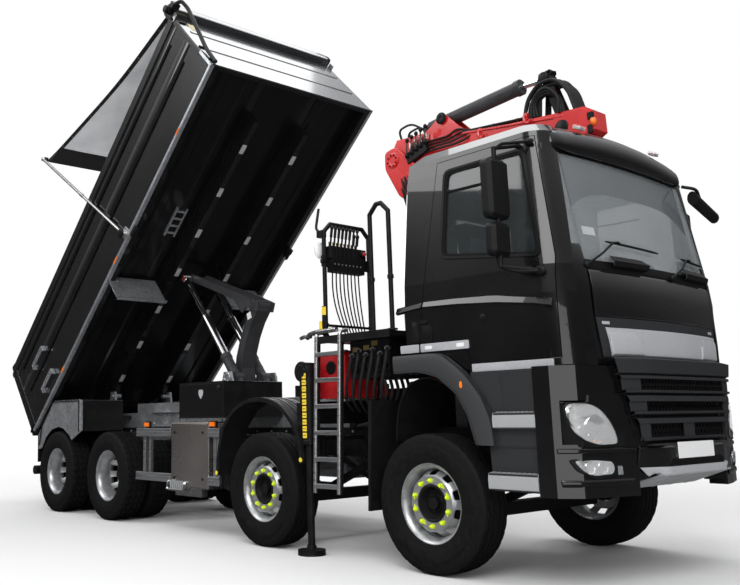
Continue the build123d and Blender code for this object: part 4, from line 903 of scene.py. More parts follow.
def patch(piece, rows, over=front_x, columns=24, depth=12):
    """Rows (z, y from, y to, distance out) give a thin shell over a front surface."""
    sections = []
    for k in range(columns + 1):
        t = k / columns
        spots = [(mix(y0, y1, t), z, out) for z, y0, y1, out in rows]
        outer = [(ax(over(y, z) + out), y, z) for y, z, out in spots]
        inner = [(ax(over(y, z) + out - depth), y, z) for y, z, out in spots]
        sections.append(outer + inner[::-1])
    piece.loft(sections)


def smooth_outline(points, radius, steps=4):
    """A closed outline in two coordinates with rounded corners."""
    pts = [Vector((a, b, 0)) for a, b in points]
    path = []
    for a, b, c in zip(pts[-1:] + pts[:-1], pts, pts[1:] + pts[:1]):
        cut = min(radius, (b - a).length * 0.45, (c - b).length * 0.45)
        start, end = b + (a - b).normalized() * cut, b + (c - b).normalized() * cut
        for k in range(steps + 1):
            t = k / steps
            path.append(start * (1 - t) ** 2 + b * 2 * t * (1 - t) + end * t * t)
    return [(p.x, p.y) for p in path]


def torus_of(piece, sections):
    """Rings joined round into a closed frame."""
    n = len(sections[0])
    count = len(sections)
    faces = [(i * n + k, i * n + (k + 1) % n, (i + 1) % count * n + (k + 1) % n, (i + 1) % count * n + k)
             for i in range(count) for k in range(n)]
    piece.add([p for section in sections for p in section], faces)


def side_ring(piece, outer, inner, side, low, high):
    torus_of(piece, [on_side(outer, side, low), on_side(outer, side, high), on_side(inner, side, high),
                     on_side(inner, side, low)])


def grown(points, amount):
    """An outline grown about its middle by about an amount."""
    middle = (sum(a for a, b in points) / len(points), sum(b for a, b in points) / len(points))
    out = []
    for a, b in points:
        length = math.hypot(a - middle[0], b - middle[1])
        out.append((a + (a - middle[0]) / length * amount, b + (b - middle[1]) / length * amount))
    return out


DOOR_WINDOW = [(195, 2400), (1050, 2285), (922, 3068), (222, 3068)]
CREASE = [(-299, 2005, 1981), (-32, 2034, 2004), (-14, 2036, 2005), (330, 2030, 1992), (690, 2013, 1965),
          (1000, 1965, 1925), (1140, 1931, 1897)]


def strip(piece, side, x0, x1, z0, z1, low=1.5, high=13):
    outline = smooth_outline([(x0, z0), (x1, z0), (x1, z1), (x0, z1)], 8, 2)
    piece.loft([on_side(outline, side, low), on_side(outline, side, high)])


def ridge(piece, side, points):
    piece.loft([[(ax(x), side * (cab_half(z0) - 6), z0 - 10), (ax(x), side * (cab_half(z0) + 17), z0 + 6),
                 (ax(x), side * (cab_half(z1) - 6), z1 + 26)] for x, z1, z0 in points])


def make_cab_sides():
    window = smooth_outline(DOOR_WINDOW, 60)
    for name, side in SIDES:
        door = f"door_{name}"
        frame_piece = Piece()
        side_ring(frame_piece, grown(window, 42), grown(window, 14), side, -4, 10)
        frame_piece.make(f"window_frame_{name}", black_plastic, door, "black_paint", bevel=3)
        seal = Piece()
        side_ring(seal, grown(window, 20), grown(window, -12), side, -6, 4)
        seal.loft([on_side([(x, z) for x, z in ((222, 2903), (640, 2898), (640, 2914), (222, 2920))], side,
                           out)
                   for out in (-10, 1)])
        seal.make(f"window_seal_{name}", rubber, door, "black_paint", bevel=2)
        shoulder = Piece()
        ridge(shoulder, side, CREASE[2:])
        shoulder.make(f"door_crease_{name}", paint, door, "black_paint", bevel=3)
        rear = Piece()
        ridge(rear, side, CREASE[:2])
        rear.make(f"cab_crease_{name}", paint, "chassis", "black_paint", bevel=3)
        bright = Piece()
        strip(bright, side, -58, 414, 1658, 1722)
        bright.make(f"door_strip_{name}", silver_trim, door, "aluminium", bevel=3)
        low_strips = Piece()
        strip(low_strips, side, -270, -76, 1658, 1722)
        strip(low_strips, side, 430, 1120, 1480, 1540)
        low_strips.make(f"cab_strips_{name}", silver_trim, "chassis", "aluminium", bevel=3)
        labels = Piece()
        for x in (-10, 300):
            strip(labels, side, x, x + 72, 1676, 1704, 12, 15)
        labels.make(f"door_tabs_{name}", plate_white, door, "aluminium", bevel=1)
        handle = Piece()
        cup = smooth_outline([(-58, 1750), (56, 1741), (64, 1830), (12, 1907), (-58, 1907)], 22)
        side_ring(handle, grown(cup, 6), grown(cup, -6), side, -3, 5)
        handle.loft([on_side(cup, side, -4), on_side(grown(cup, -10), side, 1.5)])
        handle.loft([on_side(smooth_outline([(-50, 1880), (30, 1880), (30, 1900), (-50, 1900)], 8, 2), side,
                             out)
                     for out in (0, 16)])
        handle.make(f"door_handle_{name}", black_plastic, door, "dark_plastic", bevel=2)
        recess = Piece()
        cup = smooth_outline([(-158, 1747), (-78, 1747), (-78, 1905), (-158, 1905)], 26)
        side_ring(recess, grown(cup, 5), grown(cup, -7), side, -3, 4)
        recess.loft([on_side(cup, side, -4), on_side(grown(cup, -9), side, 1)])
        recess.make(f"cab_recess_{name}", guard_plastic, "chassis", "dark_plastic", bevel=1.5)
        cap = Piece()
        cap.lathe([(0, 0.02), (0, 27), (3, 29), (5, 24), (5.5, 0.02)],
                  (ax(554), side * (cab_half(1872) + 0.5), 1872), turn=side, steps=24)
        cap.make(f"door_cap_{name}", guard_plastic, door, "dark_plastic")
        # mirror glass on the rear faces, and the stay under the small mirror
        glass = Piece()
        for half, z0, z1, depth in ((104, 2545, 2950, 40), (90, 2276, 2486, 36)):
            outline = smooth_outline([(side * 1372 - half, z0), (side * 1372 + half, z0),
                                      (side * 1372 + half, z1), (side * 1372 - half, z1)], 35)
            glass.prism(outline, "yz", ax(890 - depth - 5), ax(890 - depth - 0.5))
        glass.make(f"mirror_glass_{name}", chrome, door, "cab_window", bevel=1)
        stay = Piece()
        stay.tube(rounded([(ax(870), side * 1372, 2262), (ax(880), side * 1372, 2190),
                           (ax(960), side * 1290, 2150), (ax(1075), side * 1186, 2152)], 60), 16, 10)
        stay.ball((ax(1075), side * 1188, 2152), (48, 20, 34))
        stay.ball((ax(985), side * 1206, 2160), (70, 26, 30))
        stay.tube([(ax(888), side * 1372, 3046), (ax(900), side * 1290, 3098),
                   (ax(1000), side * 1096, 3128)], 13, 8)
        stay.ball((ax(1000), side * 1092, 3128), (42, 16, 24))
        stay.make(f"mirror_stay_{name}", black_plastic, door, "black_paint")


def make_cab_front():
    corner = Piece()
    for side in (-1, 1):
        patch(corner, [(z, side * min(1152, cab_half(z) - 8), side * 905, out) for z, out in
                       ((1452, 4), (1470, 12), (1700, 16), (1950, 10), (2030, 16), (2200, 13), (2330, 10),
                        (2350, 2))],
              columns=16)
    corner.make("corner_panels", paint, "chassis", "black_paint", bevel=2)
    hood = Piece()
    patch(hood, [(1828, -880, 880, 8), (1838, -884, 884, 20), (1990, -890, 890, 24), (2140, -886, 886, 20),
                 (2165, -884, 884, 8)], columns=36)
    hood.make("hood_panel", paint, "chassis", "black_paint", bevel=3)
    cowl = Piece()
    patch(cowl, [(2172, -880, 880, 5), (2185, -890, 890, 9), (2240, -980, 980, 7)], columns=36)
    for y0, y1 in ((-640, -190), (400, 850)):
        lift = 12
        patch(cowl, [(2192, y0 + 40, y1 - 30, 10), (2205, y0 + 10, y1 - 6, 52), (2240, y0, y1, 66),
                     (2268 + lift, y0 + 16, y1 - 60, 40), (2276 + lift, y0 + 40, y1 - 90,
                                                           12)], columns=14, depth=10)
    cowl.make("cowl", black_plastic, "chassis", "dark_plastic", bevel=2, sharp=50)
    wipers = Piece()
    for pivot, elbow, end in (((-897, 2195), (-545, 2390), (85, 2374)),
                              ((219, 2190), (545, 2370), (905, 2358))):
        def spot(p, out):
            return (ax(front_x(*p) + out), p[0], p[1])
        wipers.tube([spot(pivot, 20), spot(((pivot[0] + elbow[0]) / 2, (pivot[1] + elbow[1]) / 2), 46),
                     spot(elbow, 34)], 9, 8)
        wipers.tube([spot(elbow, 36), spot((elbow[0] + 60, elbow[1] + 8), 40),
                     spot((elbow[0] + 90, elbow[1] - 2), 28)],
                    7, 8)
        start = (elbow[0] - 70, elbow[1] + 4)
        blade = [spot((mix(start[0], end[0], k / 10), mix(start[1], end[1], k / 10)), 20) for k in range(11)]
        wipers.tube(blade, [5] + [10] * 9 + [5], 6)
        wipers.ball(spot(pivot, 16), (26, 26, 26))
    wipers.make("wipers", black_plastic, "chassis", "dark_plastic", sharp=50)
    visor = Piece()
    sections = []
    for k in range(25):
        y = mix(-985, 985, k / 24)
        edge = max(0.0, (abs(y) - 760) / 225)
        lift = 22 * math.cos(y / 985 * math.pi / 2)
        reach = 1 - 0.55 * edge ** 2
        low = 3068 + 26 * edge
        sections.append([
            (ax(front_x(y, 3070) + 4), y, low - 2), (ax(front_x(y, 3080) + 38 * reach), y, low + lift * 0.3),
            (ax(front_x(y, 3130) + 62 * reach), y, 3118 + lift * 0.6), (ax(front_x(y, 3200) + 50 * reach), y,
                                                                        3196 + lift),
            (ax(front_x(y, 3240) + 14), y, 3262 + lift - 30 * edge), (ax(front_x(y, 3300) - 60), y,
                                                                      3322 + lift - 70 * edge),
            (ax(front_x(y, 3300) - 170), y, 3316 + lift * 0.5 - 90 * edge), (ax(front_x(y, 3220) - 150), y,
                                                                             3200),
        ])
    visor.loft(sections)
    visor.make("roof_visor", paint, "chassis", "black_paint", sharp=60, subdivide=1)
    lamps = Piece()
    for y in (-560, 560):
        lamps.box(ax(1060), ax(1128), y - 42, y + 42, 3300, 3334, turn=("Y", 24, (ax(1094), y, 3317)))
    lamps.make("roof_markers", lens_glass, "chassis", "lamp_lens", bevel=6)
    bases = Piece()
    for y in (-560, 560):
        bases.box(ax(1066), ax(1122), y - 34, y + 34, 3298, 3322, turn=("Y", 24, (ax(1094), y, 3310)))
    bases.make("roof_marker_bases", reflector, "chassis", "lamp_lens", bevel=4)


def hex_mesh(piece, y0, y1, z0, z1, out, over, pitch=46.0, wall=6.0, depth=14):
    """A row pattern of hexagonal frames between two heights."""
    rows = max(1, round((z1 - z0) / (pitch * 0.87)))
    step_z = (z1 - z0) / rows
    radius = pitch / math.sqrt(3)
    angles = [math.radians(30 + 60 * k) for k in range(6)]
    for row in range(rows):
        z = z0 + step_z * (row + 0.5)
        y = y0 + pitch * (0.5 if row % 2 else 1.0)
        while y < y1 - pitch * 0.4:
            rings = []
            for r, back in ((radius, 0), (radius - wall, 0), (radius - wall, depth), (radius, depth)):
                rings.append([(ax(over(y, z) + out - back), y + r * math.cos(t), z + r * 0.97 * math.sin(t))
                              for t in angles])
            torus_of(piece, rings)
            y += pitch


def make_grille():
    back = Piece()
    patch(back, [(955, -640, 640, 2), (1450, -800, 800, 2), (1470, -800, 800, 2)], over=nose_x, columns=24,
          depth=6)
    back.make("grille_back", rubber, "chassis", "dark_plastic")
    bars = Piece()
    # rows: z, y half, out; louvres with a shelf below each mesh
    for rows in (
        [(1424, 815, 20), (1440, 820, 58), (1536, 850, 62), (1548, 850, 26)],
        [(1296, 760, 16), (1306, 770, 60), (1322, 775, 62), (1322, 775, 30)],
        [(1400, 800, 30), (1400, 800, 58), (1420, 806, 56), (1432, 806, 20)],
        [(1150, 700, 14), (1160, 705, 56), (1178, 712, 60), (1178, 712, 30)],
        [(1246, 735, 30), (1246, 735, 56), (1284, 750, 50), (1296, 752, 16)],
        [(1094, 660, 30), (1094, 660, 50), (1128, 675, 46), (1140, 680, 14)],
        [(975, 620, 10), (980, 622, 40), (1002, 630, 44), (1002, 630, 24)],
    ):
        patch(bars, [(z, -half, half, out) for z, half, out in rows], over=nose_x, columns=24, depth=8)
    for side in (-1, 1):
        for z0, z1, inner, outer in ((1322, 1400, 615, 790), (1178, 1246, 575, 730), (1002, 1094, 560, 650)):
            patch(bars, [(z0, side * inner, side * (outer - 8), 44), (z1, side * inner, side * outer, 44)],
                  over=nose_x, columns=6, depth=10)
    patch(bars, [(1002, -75, 75, 40), (1094, -75, 75, 40)], over=nose_x, columns=4, depth=10)
    bars.make("grille_bars", dark_plastic, "chassis", "dark_plastic", bevel=3, sharp=40)
    mesh = Piece()
    hex_mesh(mesh, -615, 615, 1322, 1400, 34, nose_x)
    hex_mesh(mesh, -575, 575, 1178, 1246, 34, nose_x)
    hex_mesh(mesh, -560, -75, 1002, 1094, 26, nose_x)
    hex_mesh(mesh, 75, 560, 1002, 1094, 26, nose_x)
    mesh.make("grille_mesh", black_plastic, "chassis", "dark_plastic", sharp=25)
    upper = Piece()
    patch(upper, [(1546, -830, 830, 6), (1552, -832, 832, 14), (1822, -872, 872, 16), (1830, -874, 874, 6)],
          columns=30)
    upper.make("upper_grille", dark_plastic, "chassis", "dark_plastic", bevel=3)
    badge = Piece()
    patch(badge,
          [(1556, -762, 762, 16), (1566, -770, 770, 30), (1744, -792, 792, 32),
           (1756, -796, 796, 18)], columns=30)
    for side in (-1, 1):
        patch(badge, [(1562, side * 770, side * 430, 28), (1572, side * 772, side * 436, 40),
                      (1690, side * 786, side * 476, 42), (1722, side * 788, side * 520, 34)], columns=10)
    badge.make("badge_panel", silver_trim, "chassis", "aluminium", bevel=4, sharp=45)
    tabs = Piece()
    for y in (-790, 745):
        patch(tabs, [(1776, y - 36, y + 36, 22), (1798, y - 36, y + 36, 22)], columns=3, depth=6)
    tabs.make("grille_tabs", silver_trim, "chassis", "aluminium", bevel=2)


LAMP = [(-1180, 1240), (-1036, 1242), (-939, 1196), (-876, 1118), (-836, 1036), (-822, 962), (-987, 954),
        (-1100, 991), (-1150, 1044), (-1175, 1142)]
LAMP_RING = [(-1237, 1290), (-1030, 1290), (-880, 1290), (-735, 1290), (-735, 1100), (-735, 950), (-985, 948),
             (-1110, 948), (-1237, 948), (-1238, 1120)]
FOG = [(-1150, 863), (-1010, 862), (-887, 851), (-871, 809), (-887, 771), (-1029, 763), (-1111, 792)]


def on_nose(points, side, out):
    return [(ax(nose_x(y, z)) + out, -side * y, z) for y, z in points]


def make_lamps():
    for name, side in SIDES:
        ring = Piece()
        torus_of(ring, [on_nose(LAMP_RING, side, 1), on_nose(LAMP_RING, side, 9), on_nose(LAMP, side, 9),
                        on_nose(LAMP, side, -14)])
        ring.make(f"lamp_panel_{name}", paint, "chassis", "black_paint", bevel=2)
        outline = smooth_outline(LAMP, 50, 3)
        chrome_edge = Piece()
        torus_of(chrome_edge, [on_nose(grown(outline, 4), side, 6), on_nose(grown(outline, 2), side, 13),
                               on_nose(grown(outline, -7), side, 11), on_nose(grown(outline, -7), side, 2)])
        chrome_edge.make(f"lamp_edge_{name}", black_plastic, "chassis", "dark_plastic", sharp=50)
        lens = Piece()
        middle = (sum(a for a, b in outline) / len(outline), sum(b for a, b in outline) / len(outline))
        steps = [on_nose([(mix(a, middle[0], t), mix(b, middle[1], t)) for a, b in outline], side,
                         10 + 9 * (1 - (1 - t) ** 2))
                 for t in (0, 0.2, 0.5, 0.8, 0.97)]
        lens.loft(steps)
        lens_obj = lens.make(f"lamp_lens_{name}", lens_glass, "chassis", "lamp_lens", sharp=60)
        if side < 0:
            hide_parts("head_lamps")
        bowl = Piece()
        shrunk = grown(outline, -5)
        bowl.loft([on_nose([(mix(a, middle[0], t), mix(b, middle[1], t)) for a, b in shrunk], side, 3 - depth)
                   for t, depth in ((0, 0), (0.12, 26), (0.35, 44), (0.7, 50), (0.97, 50))])
        for y, z, r in ((-1110, 1150, 74), (-965, 1085, 78), (-1075, 1050, 40)):
            x = nose_x(y, z)
            bowl.lathe([(-46, 16), (-38, r * 0.72), (-14, r), (-8, r + 5), (-16, r + 7), (-44, r * 0.8)],
                       (ax(x), -side * y, z), axis=(0.953, side * 0.3, 0), steps=30)
        bowl.make(f"lamp_bowl_{name}", reflector, "chassis", "lamp_lens", sharp=60)
        inner = Piece()
        for y, z, r in ((-1110, 1150, 26), (-965, 1085, 30)):
            inner.ball((ax(nose_x(y, z) - 26), -side * y, z), (16, r, r), 8, 16)
        inner.make(f"lamp_bulbs_{name}", lens_glass, "chassis", "lamp_lens")
        amber = Piece()
        for y, z in ((-1000, 985), (-950, 980)):
            amber.ball((ax(nose_x(y, z) - 8), -side * y, z), (10, 13, 13), 6, 10)
        amber.make(f"lamp_amber_{name}", orange_lens, "chassis", "lamp_lens")
        fog_outline = smooth_outline(FOG, 22, 3)
        fog = Piece()
        torus_of(fog, [on_nose(grown(fog_outline, 26), side, 1), on_nose(grown(fog_outline, 22), side, 9),
                       on_nose(grown(fog_outline, 2), side, 5), on_nose(grown(fog_outline, 2), side, 0)])
        fog.make(f"fog_bezel_{name}", black_plastic, "chassis", "dark_plastic", bevel=1)
        fog_middle = (-1010, 812)
        mirror_bowl = Piece()
        mirror_bowl.loft([on_nose([(mix(a, fog_middle[0], t), mix(b, fog_middle[1], t)) for a,
                                   b in fog_outline],
                                  side, out) for t, out in ((0, 2.5), (0.3, 1.5), (0.7, 1.2), (0.97, 1.0))])
        for y in (-1060, -960):
            mirror_bowl.lathe([(1, 12), (4, 34), (9, 40), (6, 43), (1, 43)],
                              (ax(nose_x(y, 812)), -side * y, 812),
                              axis=(0.953, side * 0.3, 0), steps=24)
        mirror_bowl.make(f"fog_bowl_{name}", reflector, "chassis", "lamp_lens", sharp=60)
        fog_lens = Piece()
        fog_lens.loft([on_nose([(mix(a, fog_middle[0], t), mix(b, fog_middle[1], t)) for a,
                                b in fog_outline], side,
                               9 + 8 * (1 - (1 - t) ** 2)) for t in (0, 0.3, 0.7, 0.97)])
        fog_lens.make(f"fog_lens_{name}", lens_glass, "chassis", "lamp_lens", sharp=60)
        # the marker lens uses the windscreen glass, whose pale base colour is a painted sky reflection
        side_mark = Piece()
        patch(side_mark, [(762, side * 842, side * 806, 3), (766, side * 844, side * 804, 8),
                          (816, side * 844, side * 804, 8), (821, side * 842, side * 806,
                                                             3)], over=nose_x, columns=3, depth=4)
        side_mark.make(f"corner_marker_{name}", sky_painted_glass, "chassis", "lamp_lens")


def make_bumper():
    trim = Piece()
    patch(trim, [(812, -650, 650, 4), (830, -662, 662, 14), (930, -640, 640, 16), (944, -628, 628, 4)],
          over=bumper_x,
          columns=40, depth=10)
    for side in (-1, 1):
        patch(trim, [(690, side * 1200, side * 700, 3), (702, side * 1205, side * 700, 10),
                     (722, side * 1208, side * 700, 11), (736, side * 1206, side * 700,
                                                          3)], over=nose_x, columns=14,
              depth=8)
        patch(trim, [(906, side * 1215, side * 668, 3), (912, side * 1216, side * 668, 11),
                     (932, side * 1218, side * 668, 12), (941, side * 1216, side * 668,
                                                          3)], over=nose_x, columns=14,
              depth=8)
    trim.make("bumper_trim", paint, "chassis", "black_paint", bevel=3, sharp=40)
    slot_piece = Piece()
    patch(slot_piece, [(796, -420, 420, 2), (806, -410, 410, 4), (826, -400, 400, 17), (846, -372, 372, 19),
                       (858, -350, 350, 17)], over=bumper_x, columns=20, depth=4)
    slot_piece.make("bumper_slot", rubber, "chassis", "dark_plastic", bevel=2)
    lip = Piece()
    patch(lip, [(740, -560, 560, 3), (752, -590, 590, 15), (790, -640, 640, 20), (802, -640, 640, 6)],
          over=bumper_x,
          columns=36, depth=8)
    lip.make("bumper_lip", silver_trim, "chassis", "aluminium", bevel=3)
    plate = Piece()
    patch(plate, [(852, -292, 232, 20), (856, -294, 234, 24), (960, -294, 234, 24), (964, -292, 232, 20)],
          over=lambda y, z: 1462, columns=2, depth=6)
    plate.make("number_plate", plate_white, "chassis", "aluminium", bevel=2)
    deck = Piece()
    deck.box(ax(1380), ax(1466), -560, 560, 946, 951)
    for row in range(3):
        for k in range(44):
            y = -540 + k * 25 + (12 if row % 2 else 0)
            deck.lathe([(0, 9), (5, 8), (7, 5), (6, 0.02)], (ax(1400 + row * 24), y, 950.5), axis="z",
                       steps=8)
    deck.make("bumper_step", dark_plastic, "chassis", "dark_plastic", sharp=40)


def make_seats():
    covers = Piece()
    for y in (-520, 520):
        covers.loft([[(ax(x0), y - half, z), (ax(x0), y + half, z), (ax(x1), y + half, z),
                      (ax(x1), y - half, z)]
                     for x0, x1, half, z in ((96, 260, 255, 1950), (50, 200, 262, 2350),
                                             (14, 104, 205, 2740))])
        covers.box(ax(146), ax(694), y - 264, y + 264, 1836, 1990)
    covers.make("seat_covers", seat_cloth, "chassis", "interior_trim", bevel=24)


make_cab_sides()
make_cab_front()
make_seats()
make_grille()
make_lamps()
make_bumper()

# ---------------------------------------------------------------------------
# Tipping body: rails, rims, handles, underside
# ---------------------------------------------------------------------------
FLOOR_UNDER = BED_BOTTOM + 150.0
BEAM_Y, BEAM_WIDTH = 352.0, 70.0
BEAM_BOTTOM = FLOOR_UNDER - 285.0 * 0.83
ARM_X, ARM_Z, ARM_Y, ARM_LENGTH = ax(-3823), BED_BOTTOM + 90.0, BED_HALF + 32.0, 2900.0
ARM_TIP = (ARM_X - ARM_LENGTH * math.sin(math.radians(15)), ARM_Z + ARM_LENGTH * math.cos(math.radians(15)))


def make_bed():
    rails = Piece(raise_bed)
    for side in (-1, 1):
        # folded edge along the bottom of the side wall
        rails.prism([(side * (BED_HALF + 1), BED_BOTTOM - 4), (side * (BED_HALF + 9), BED_BOTTOM + 4),
                     (side * (BED_HALF + 9), BED_BOTTOM + 38), (side * (BED_HALF + 1), BED_BOTTOM + 44),
                     (side * (BED_HALF - 40), BED_BOTTOM - 4)], "yz", BED_REAR + 4, BED_FRONT - 2)
        rails.box(BED_FRONT - 34, BED_FRONT + 4, *sorted((side * (BED_HALF - 2), side * (BED_HALF + 5))),
                  BED_BOTTOM + 40, BED_BOTTOM + 330)
    rails.make("bed_bottom_rails", galvanised, "tipper", "black_paint", bevel=3)
    bands = Piece(raise_bed)
    for side in (-1, 1):
        for low, high in ((BED_BOTTOM + 562, BED_BOTTOM + 758), (BED_TOP - 248, BED_TOP - 148)):
            edge = (high - low) / 2
            bands.prism([(side * (BED_HALF - 6), low - 8), (side * (BED_HALF + 4), low + 8),
                         (side * (BED_HALF + 4), high - 8),
                         (side * (BED_HALF - 6), high + 8)], "yz", BED_REAR + 40 + edge * 0, BED_FRONT - 60)
        bands.prism([(side * (BED_HALF - 8), BED_TOP - 132), (side * (BED_HALF + 16), BED_TOP - 120),
                     (side * (BED_HALF + 16), BED_TOP - 4), (side * (BED_HALF - 4), BED_TOP + 6),
                     (side * (BED_HALF - 50), BED_TOP + 6), (side * (BED_HALF - 54), BED_TOP - 2)],
                    "yz", BED_REAR + 4, BED_FRONT - 2)
        bands.box(BED_REAR - 2, BED_REAR + 100, *sorted((side * (BED_HALF - 4), side * (BED_HALF + 10))),
                  BED_BOTTOM + 40, BED_TOP - 120)
        bands.box(BED_FRONT - 60, BED_FRONT - 2, *sorted((side * (BED_HALF - 4), side * (BED_HALF + 6))),
                  BED_BOTTOM + 330, BED_TOP - 120)
    bands.make("bed_side_bands", paint, "tipper", "black_paint", bevel=5)
    # bulkhead: pressed outer sheet with folded edges
    front = Piece(raise_bed)
    front.box(BED_FRONT - 2, BED_FRONT + 5, -BED_HALF + 4, BED_HALF - 4, BED_BOTTOM + 2, BED_TOP - 2)
    front.prism([(BED_FRONT - 4, BED_BOTTOM - 6), (BED_FRONT + 14, BED_BOTTOM - 6),
                 (BED_FRONT + 14, BED_BOTTOM + 14),
                 (BED_FRONT + 3, BED_BOTTOM + 26)], "xz", -BED_HALF + 4, BED_HALF - 4)
    for z in (BED_BOTTOM + 420, BED_BOTTOM + 830):
        front.prism([(BED_FRONT + 2, z - 34), (BED_FRONT + 15, z - 16), (BED_FRONT + 15, z + 16),
                     (BED_FRONT + 2, z + 34)],
                    "xz", -BED_HALF + 90, BED_HALF - 90)
    front.make("bulkhead_skin", bulkhead_highlight_paint, "tipper", "black_paint", bevel=3)
    # smooth under-sheet between the long beams and the side rails, with shallow long folds
    under = Piece(raise_bed)
    for side in (-1, 1):
        low, high = sorted((side * (BEAM_Y + BEAM_WIDTH + 30), side * (BED_HALF - 112)))
        under.box(BED_REAR + 700, BED_FRONT - 54, low, high, FLOOR_UNDER - 8, FLOOR_UNDER - 2)
        for y0, y1 in ((500, 640), (860, 1000)):
            under.prism([(side * y0, FLOOR_UNDER - 7), (side * (y0 + 26), FLOOR_UNDER - 30),
                         (side * (y1 - 26), FLOOR_UNDER - 30),
                         (side * y1, FLOOR_UNDER - 7)], "yz", BED_REAR + 760, BED_FRONT - 70)
        under.box(HINGE.x + 420, BED_FRONT - 505,
                  *sorted((side * (BEAM_Y - 26), side * (BEAM_Y + BEAM_WIDTH + 26))),
                  FLOOR_UNDER - 26, FLOOR_UNDER)
    under.box(BED_REAR + 700, BED_FRONT - 54, -BEAM_Y - 2, BEAM_Y + 2, FLOOR_UNDER - 3, FLOOR_UNDER - 0.5)
    under.make("bed_under_sheet", underside_paint, "tipper", "black_paint", bevel=4)
    pads = Piece(raise_bed)
    for k in range(7):
        x = BED_FRONT - 880 - k * 640
        for side in (-1, 1):
            pads.box(x - 62, x + 62, *sorted((side * (BEAM_Y + 6), side * (BEAM_Y + BEAM_WIDTH - 6))),
                     BEAM_BOTTOM - 12, BEAM_BOTTOM - 2)
    pads.make("bed_rest_pads", pale_trim, "tipper", "black_paint", bevel=3)
    # two folding steps near the tail, and the plates that hang ahead of the wheels
    steps = Piece(raise_bed)
    for x, z in ((BED_REAR + 620, BED_BOTTOM + 640), (BED_REAR + 640, BED_BOTTOM + 170)):
        for side in (-1, 1):
            y0, y1 = side * (BED_HALF + 4), side * (BED_HALF + 62)
            for dx in (-24, 344):
                steps.box(x + dx, x + dx + 14, *sorted((y0, y1)), z - 30, z + 62)
            steps.box(x - 24, x + 358, *sorted((y1 - side * 12, y1)), z - 12, z + 12)
            steps.box(x - 24, x + 358, *sorted((y1 - side * 12, y1)), z + 42, z + 60)
            for k in range(7):
                xx = x + 6 + k * 50
                steps.box(xx, xx + 8, *sorted((y1 - side * 12, y1 - side * 2)), z, z + 50)
    steps.make("bed_steps", galvanised, "tipper", "black_paint", bevel=2)
    plates = Piece(raise_bed)
    x = ax(-4500)
    for side in (-1, 1):
        y0, y1 = sorted((side * 522, side * (BED_HALF - 17)))
        plates.box(x + 4, x + 7, y0, y1, 1348, FLOOR_UNDER - 64)
        plates.box(x - 7, x - 4, y0, y1, 1348, FLOOR_UNDER - 64)
        plates.box(x - 10, x + 34, y0, y1, 1338, 1345)
        for y in (y0 + 130, (y0 + y1) / 2, y1 - 130):
            for direction in (-1, 1):
                plates.lathe([(0, 13), (5, 13), (8, 9), (8, 0.02)], (x + direction * 6.5, y, 1700), axis="x",
                             steps=12,
                             turn=direction)
    plates.make("wheel_deflectors", galvanised, "tipper", "black_paint", bevel=2)
    ladder = Piece(raise_bed)
    for y in (-700, -560):
        ladder.box(ax(-3780), ax(-3340), y - 10, y + 10, FLOOR_UNDER - 44, FLOOR_UNDER)
    for k in range(4):
        ladder.box(ax(-3740) + k * 110, ax(-3715) + k * 110, -700, -560, FLOOR_UNDER - 40, FLOOR_UNDER - 20)
    ladder.make("bed_cable_rack", galvanised, "tipper", "black_paint", bevel=2)
    # tail: hinge bosses, latch levers, side lamps
    tail = Piece(raise_bed)
    for side in (-1, 1):
        tail.lathe([(-2, 34), (10, 34), (14, 26), (14, 0.02)], (BED_REAR - 35, side * 1212, BED_TOP + 60),
                   axis="y",
                   steps=20, turn=side)
        tail.box(BED_REAR - 8, BED_REAR + 60, *sorted((side * (BED_HALF - 80), side * (BED_HALF - 4))),
                 BED_BOTTOM - 40,
                 BED_BOTTOM + 2)
        tail.box(BED_REAR + 8, BED_REAR + 52, *sorted((side * (BED_HALF + 8), side * (BED_HALF + 22))),
                 BED_BOTTOM + 80,
                 BED_BOTTOM + 320)
        tail.tube([(BED_REAR + 40, side * (BED_HALF + 16), BED_BOTTOM + 90),
                   (BED_REAR - 60, side * (BED_HALF + 10), BED_BOTTOM + 40)], 14, 10)
    tail.make("tail_latches", chassis_paint, "tipper", "black_paint", bevel=3)
    gate = Piece(raise_bed)
    for y in (-1020, -510, 0, 510, 1020):
        gate.prism([(BED_REAR - 63, y - 52), (BED_REAR - 84, y - 36), (BED_REAR - 84, y + 36),
                    (BED_REAR - 63, y + 52)],
                   "xy", BED_BOTTOM + 30, BED_TOP - 60)
    for z in (BED_BOTTOM + 4, BED_TOP - 94):
        gate.box(BED_REAR - 92, BED_REAR - 60, -BED_HALF + 10, BED_HALF - 10, z, z + 62)
    gate.make("tailgate_ribs", paint, "tailgate", "black_paint", bevel=5)
    marks = Piece(raise_bed)
    for side in (-1, 1):
        for k in range(3):
            x = BED_FRONT - 900 - k * 1900
            marks.box(x - 50, x + 50, *sorted((side * (BED_HALF + 8), side * (BED_HALF + 14))),
                      BED_BOTTOM + 8,
                      BED_BOTTOM + 34)
    marks.make("bed_side_markers", orange_lens, "tipper", "lamp_lens", bevel=4)


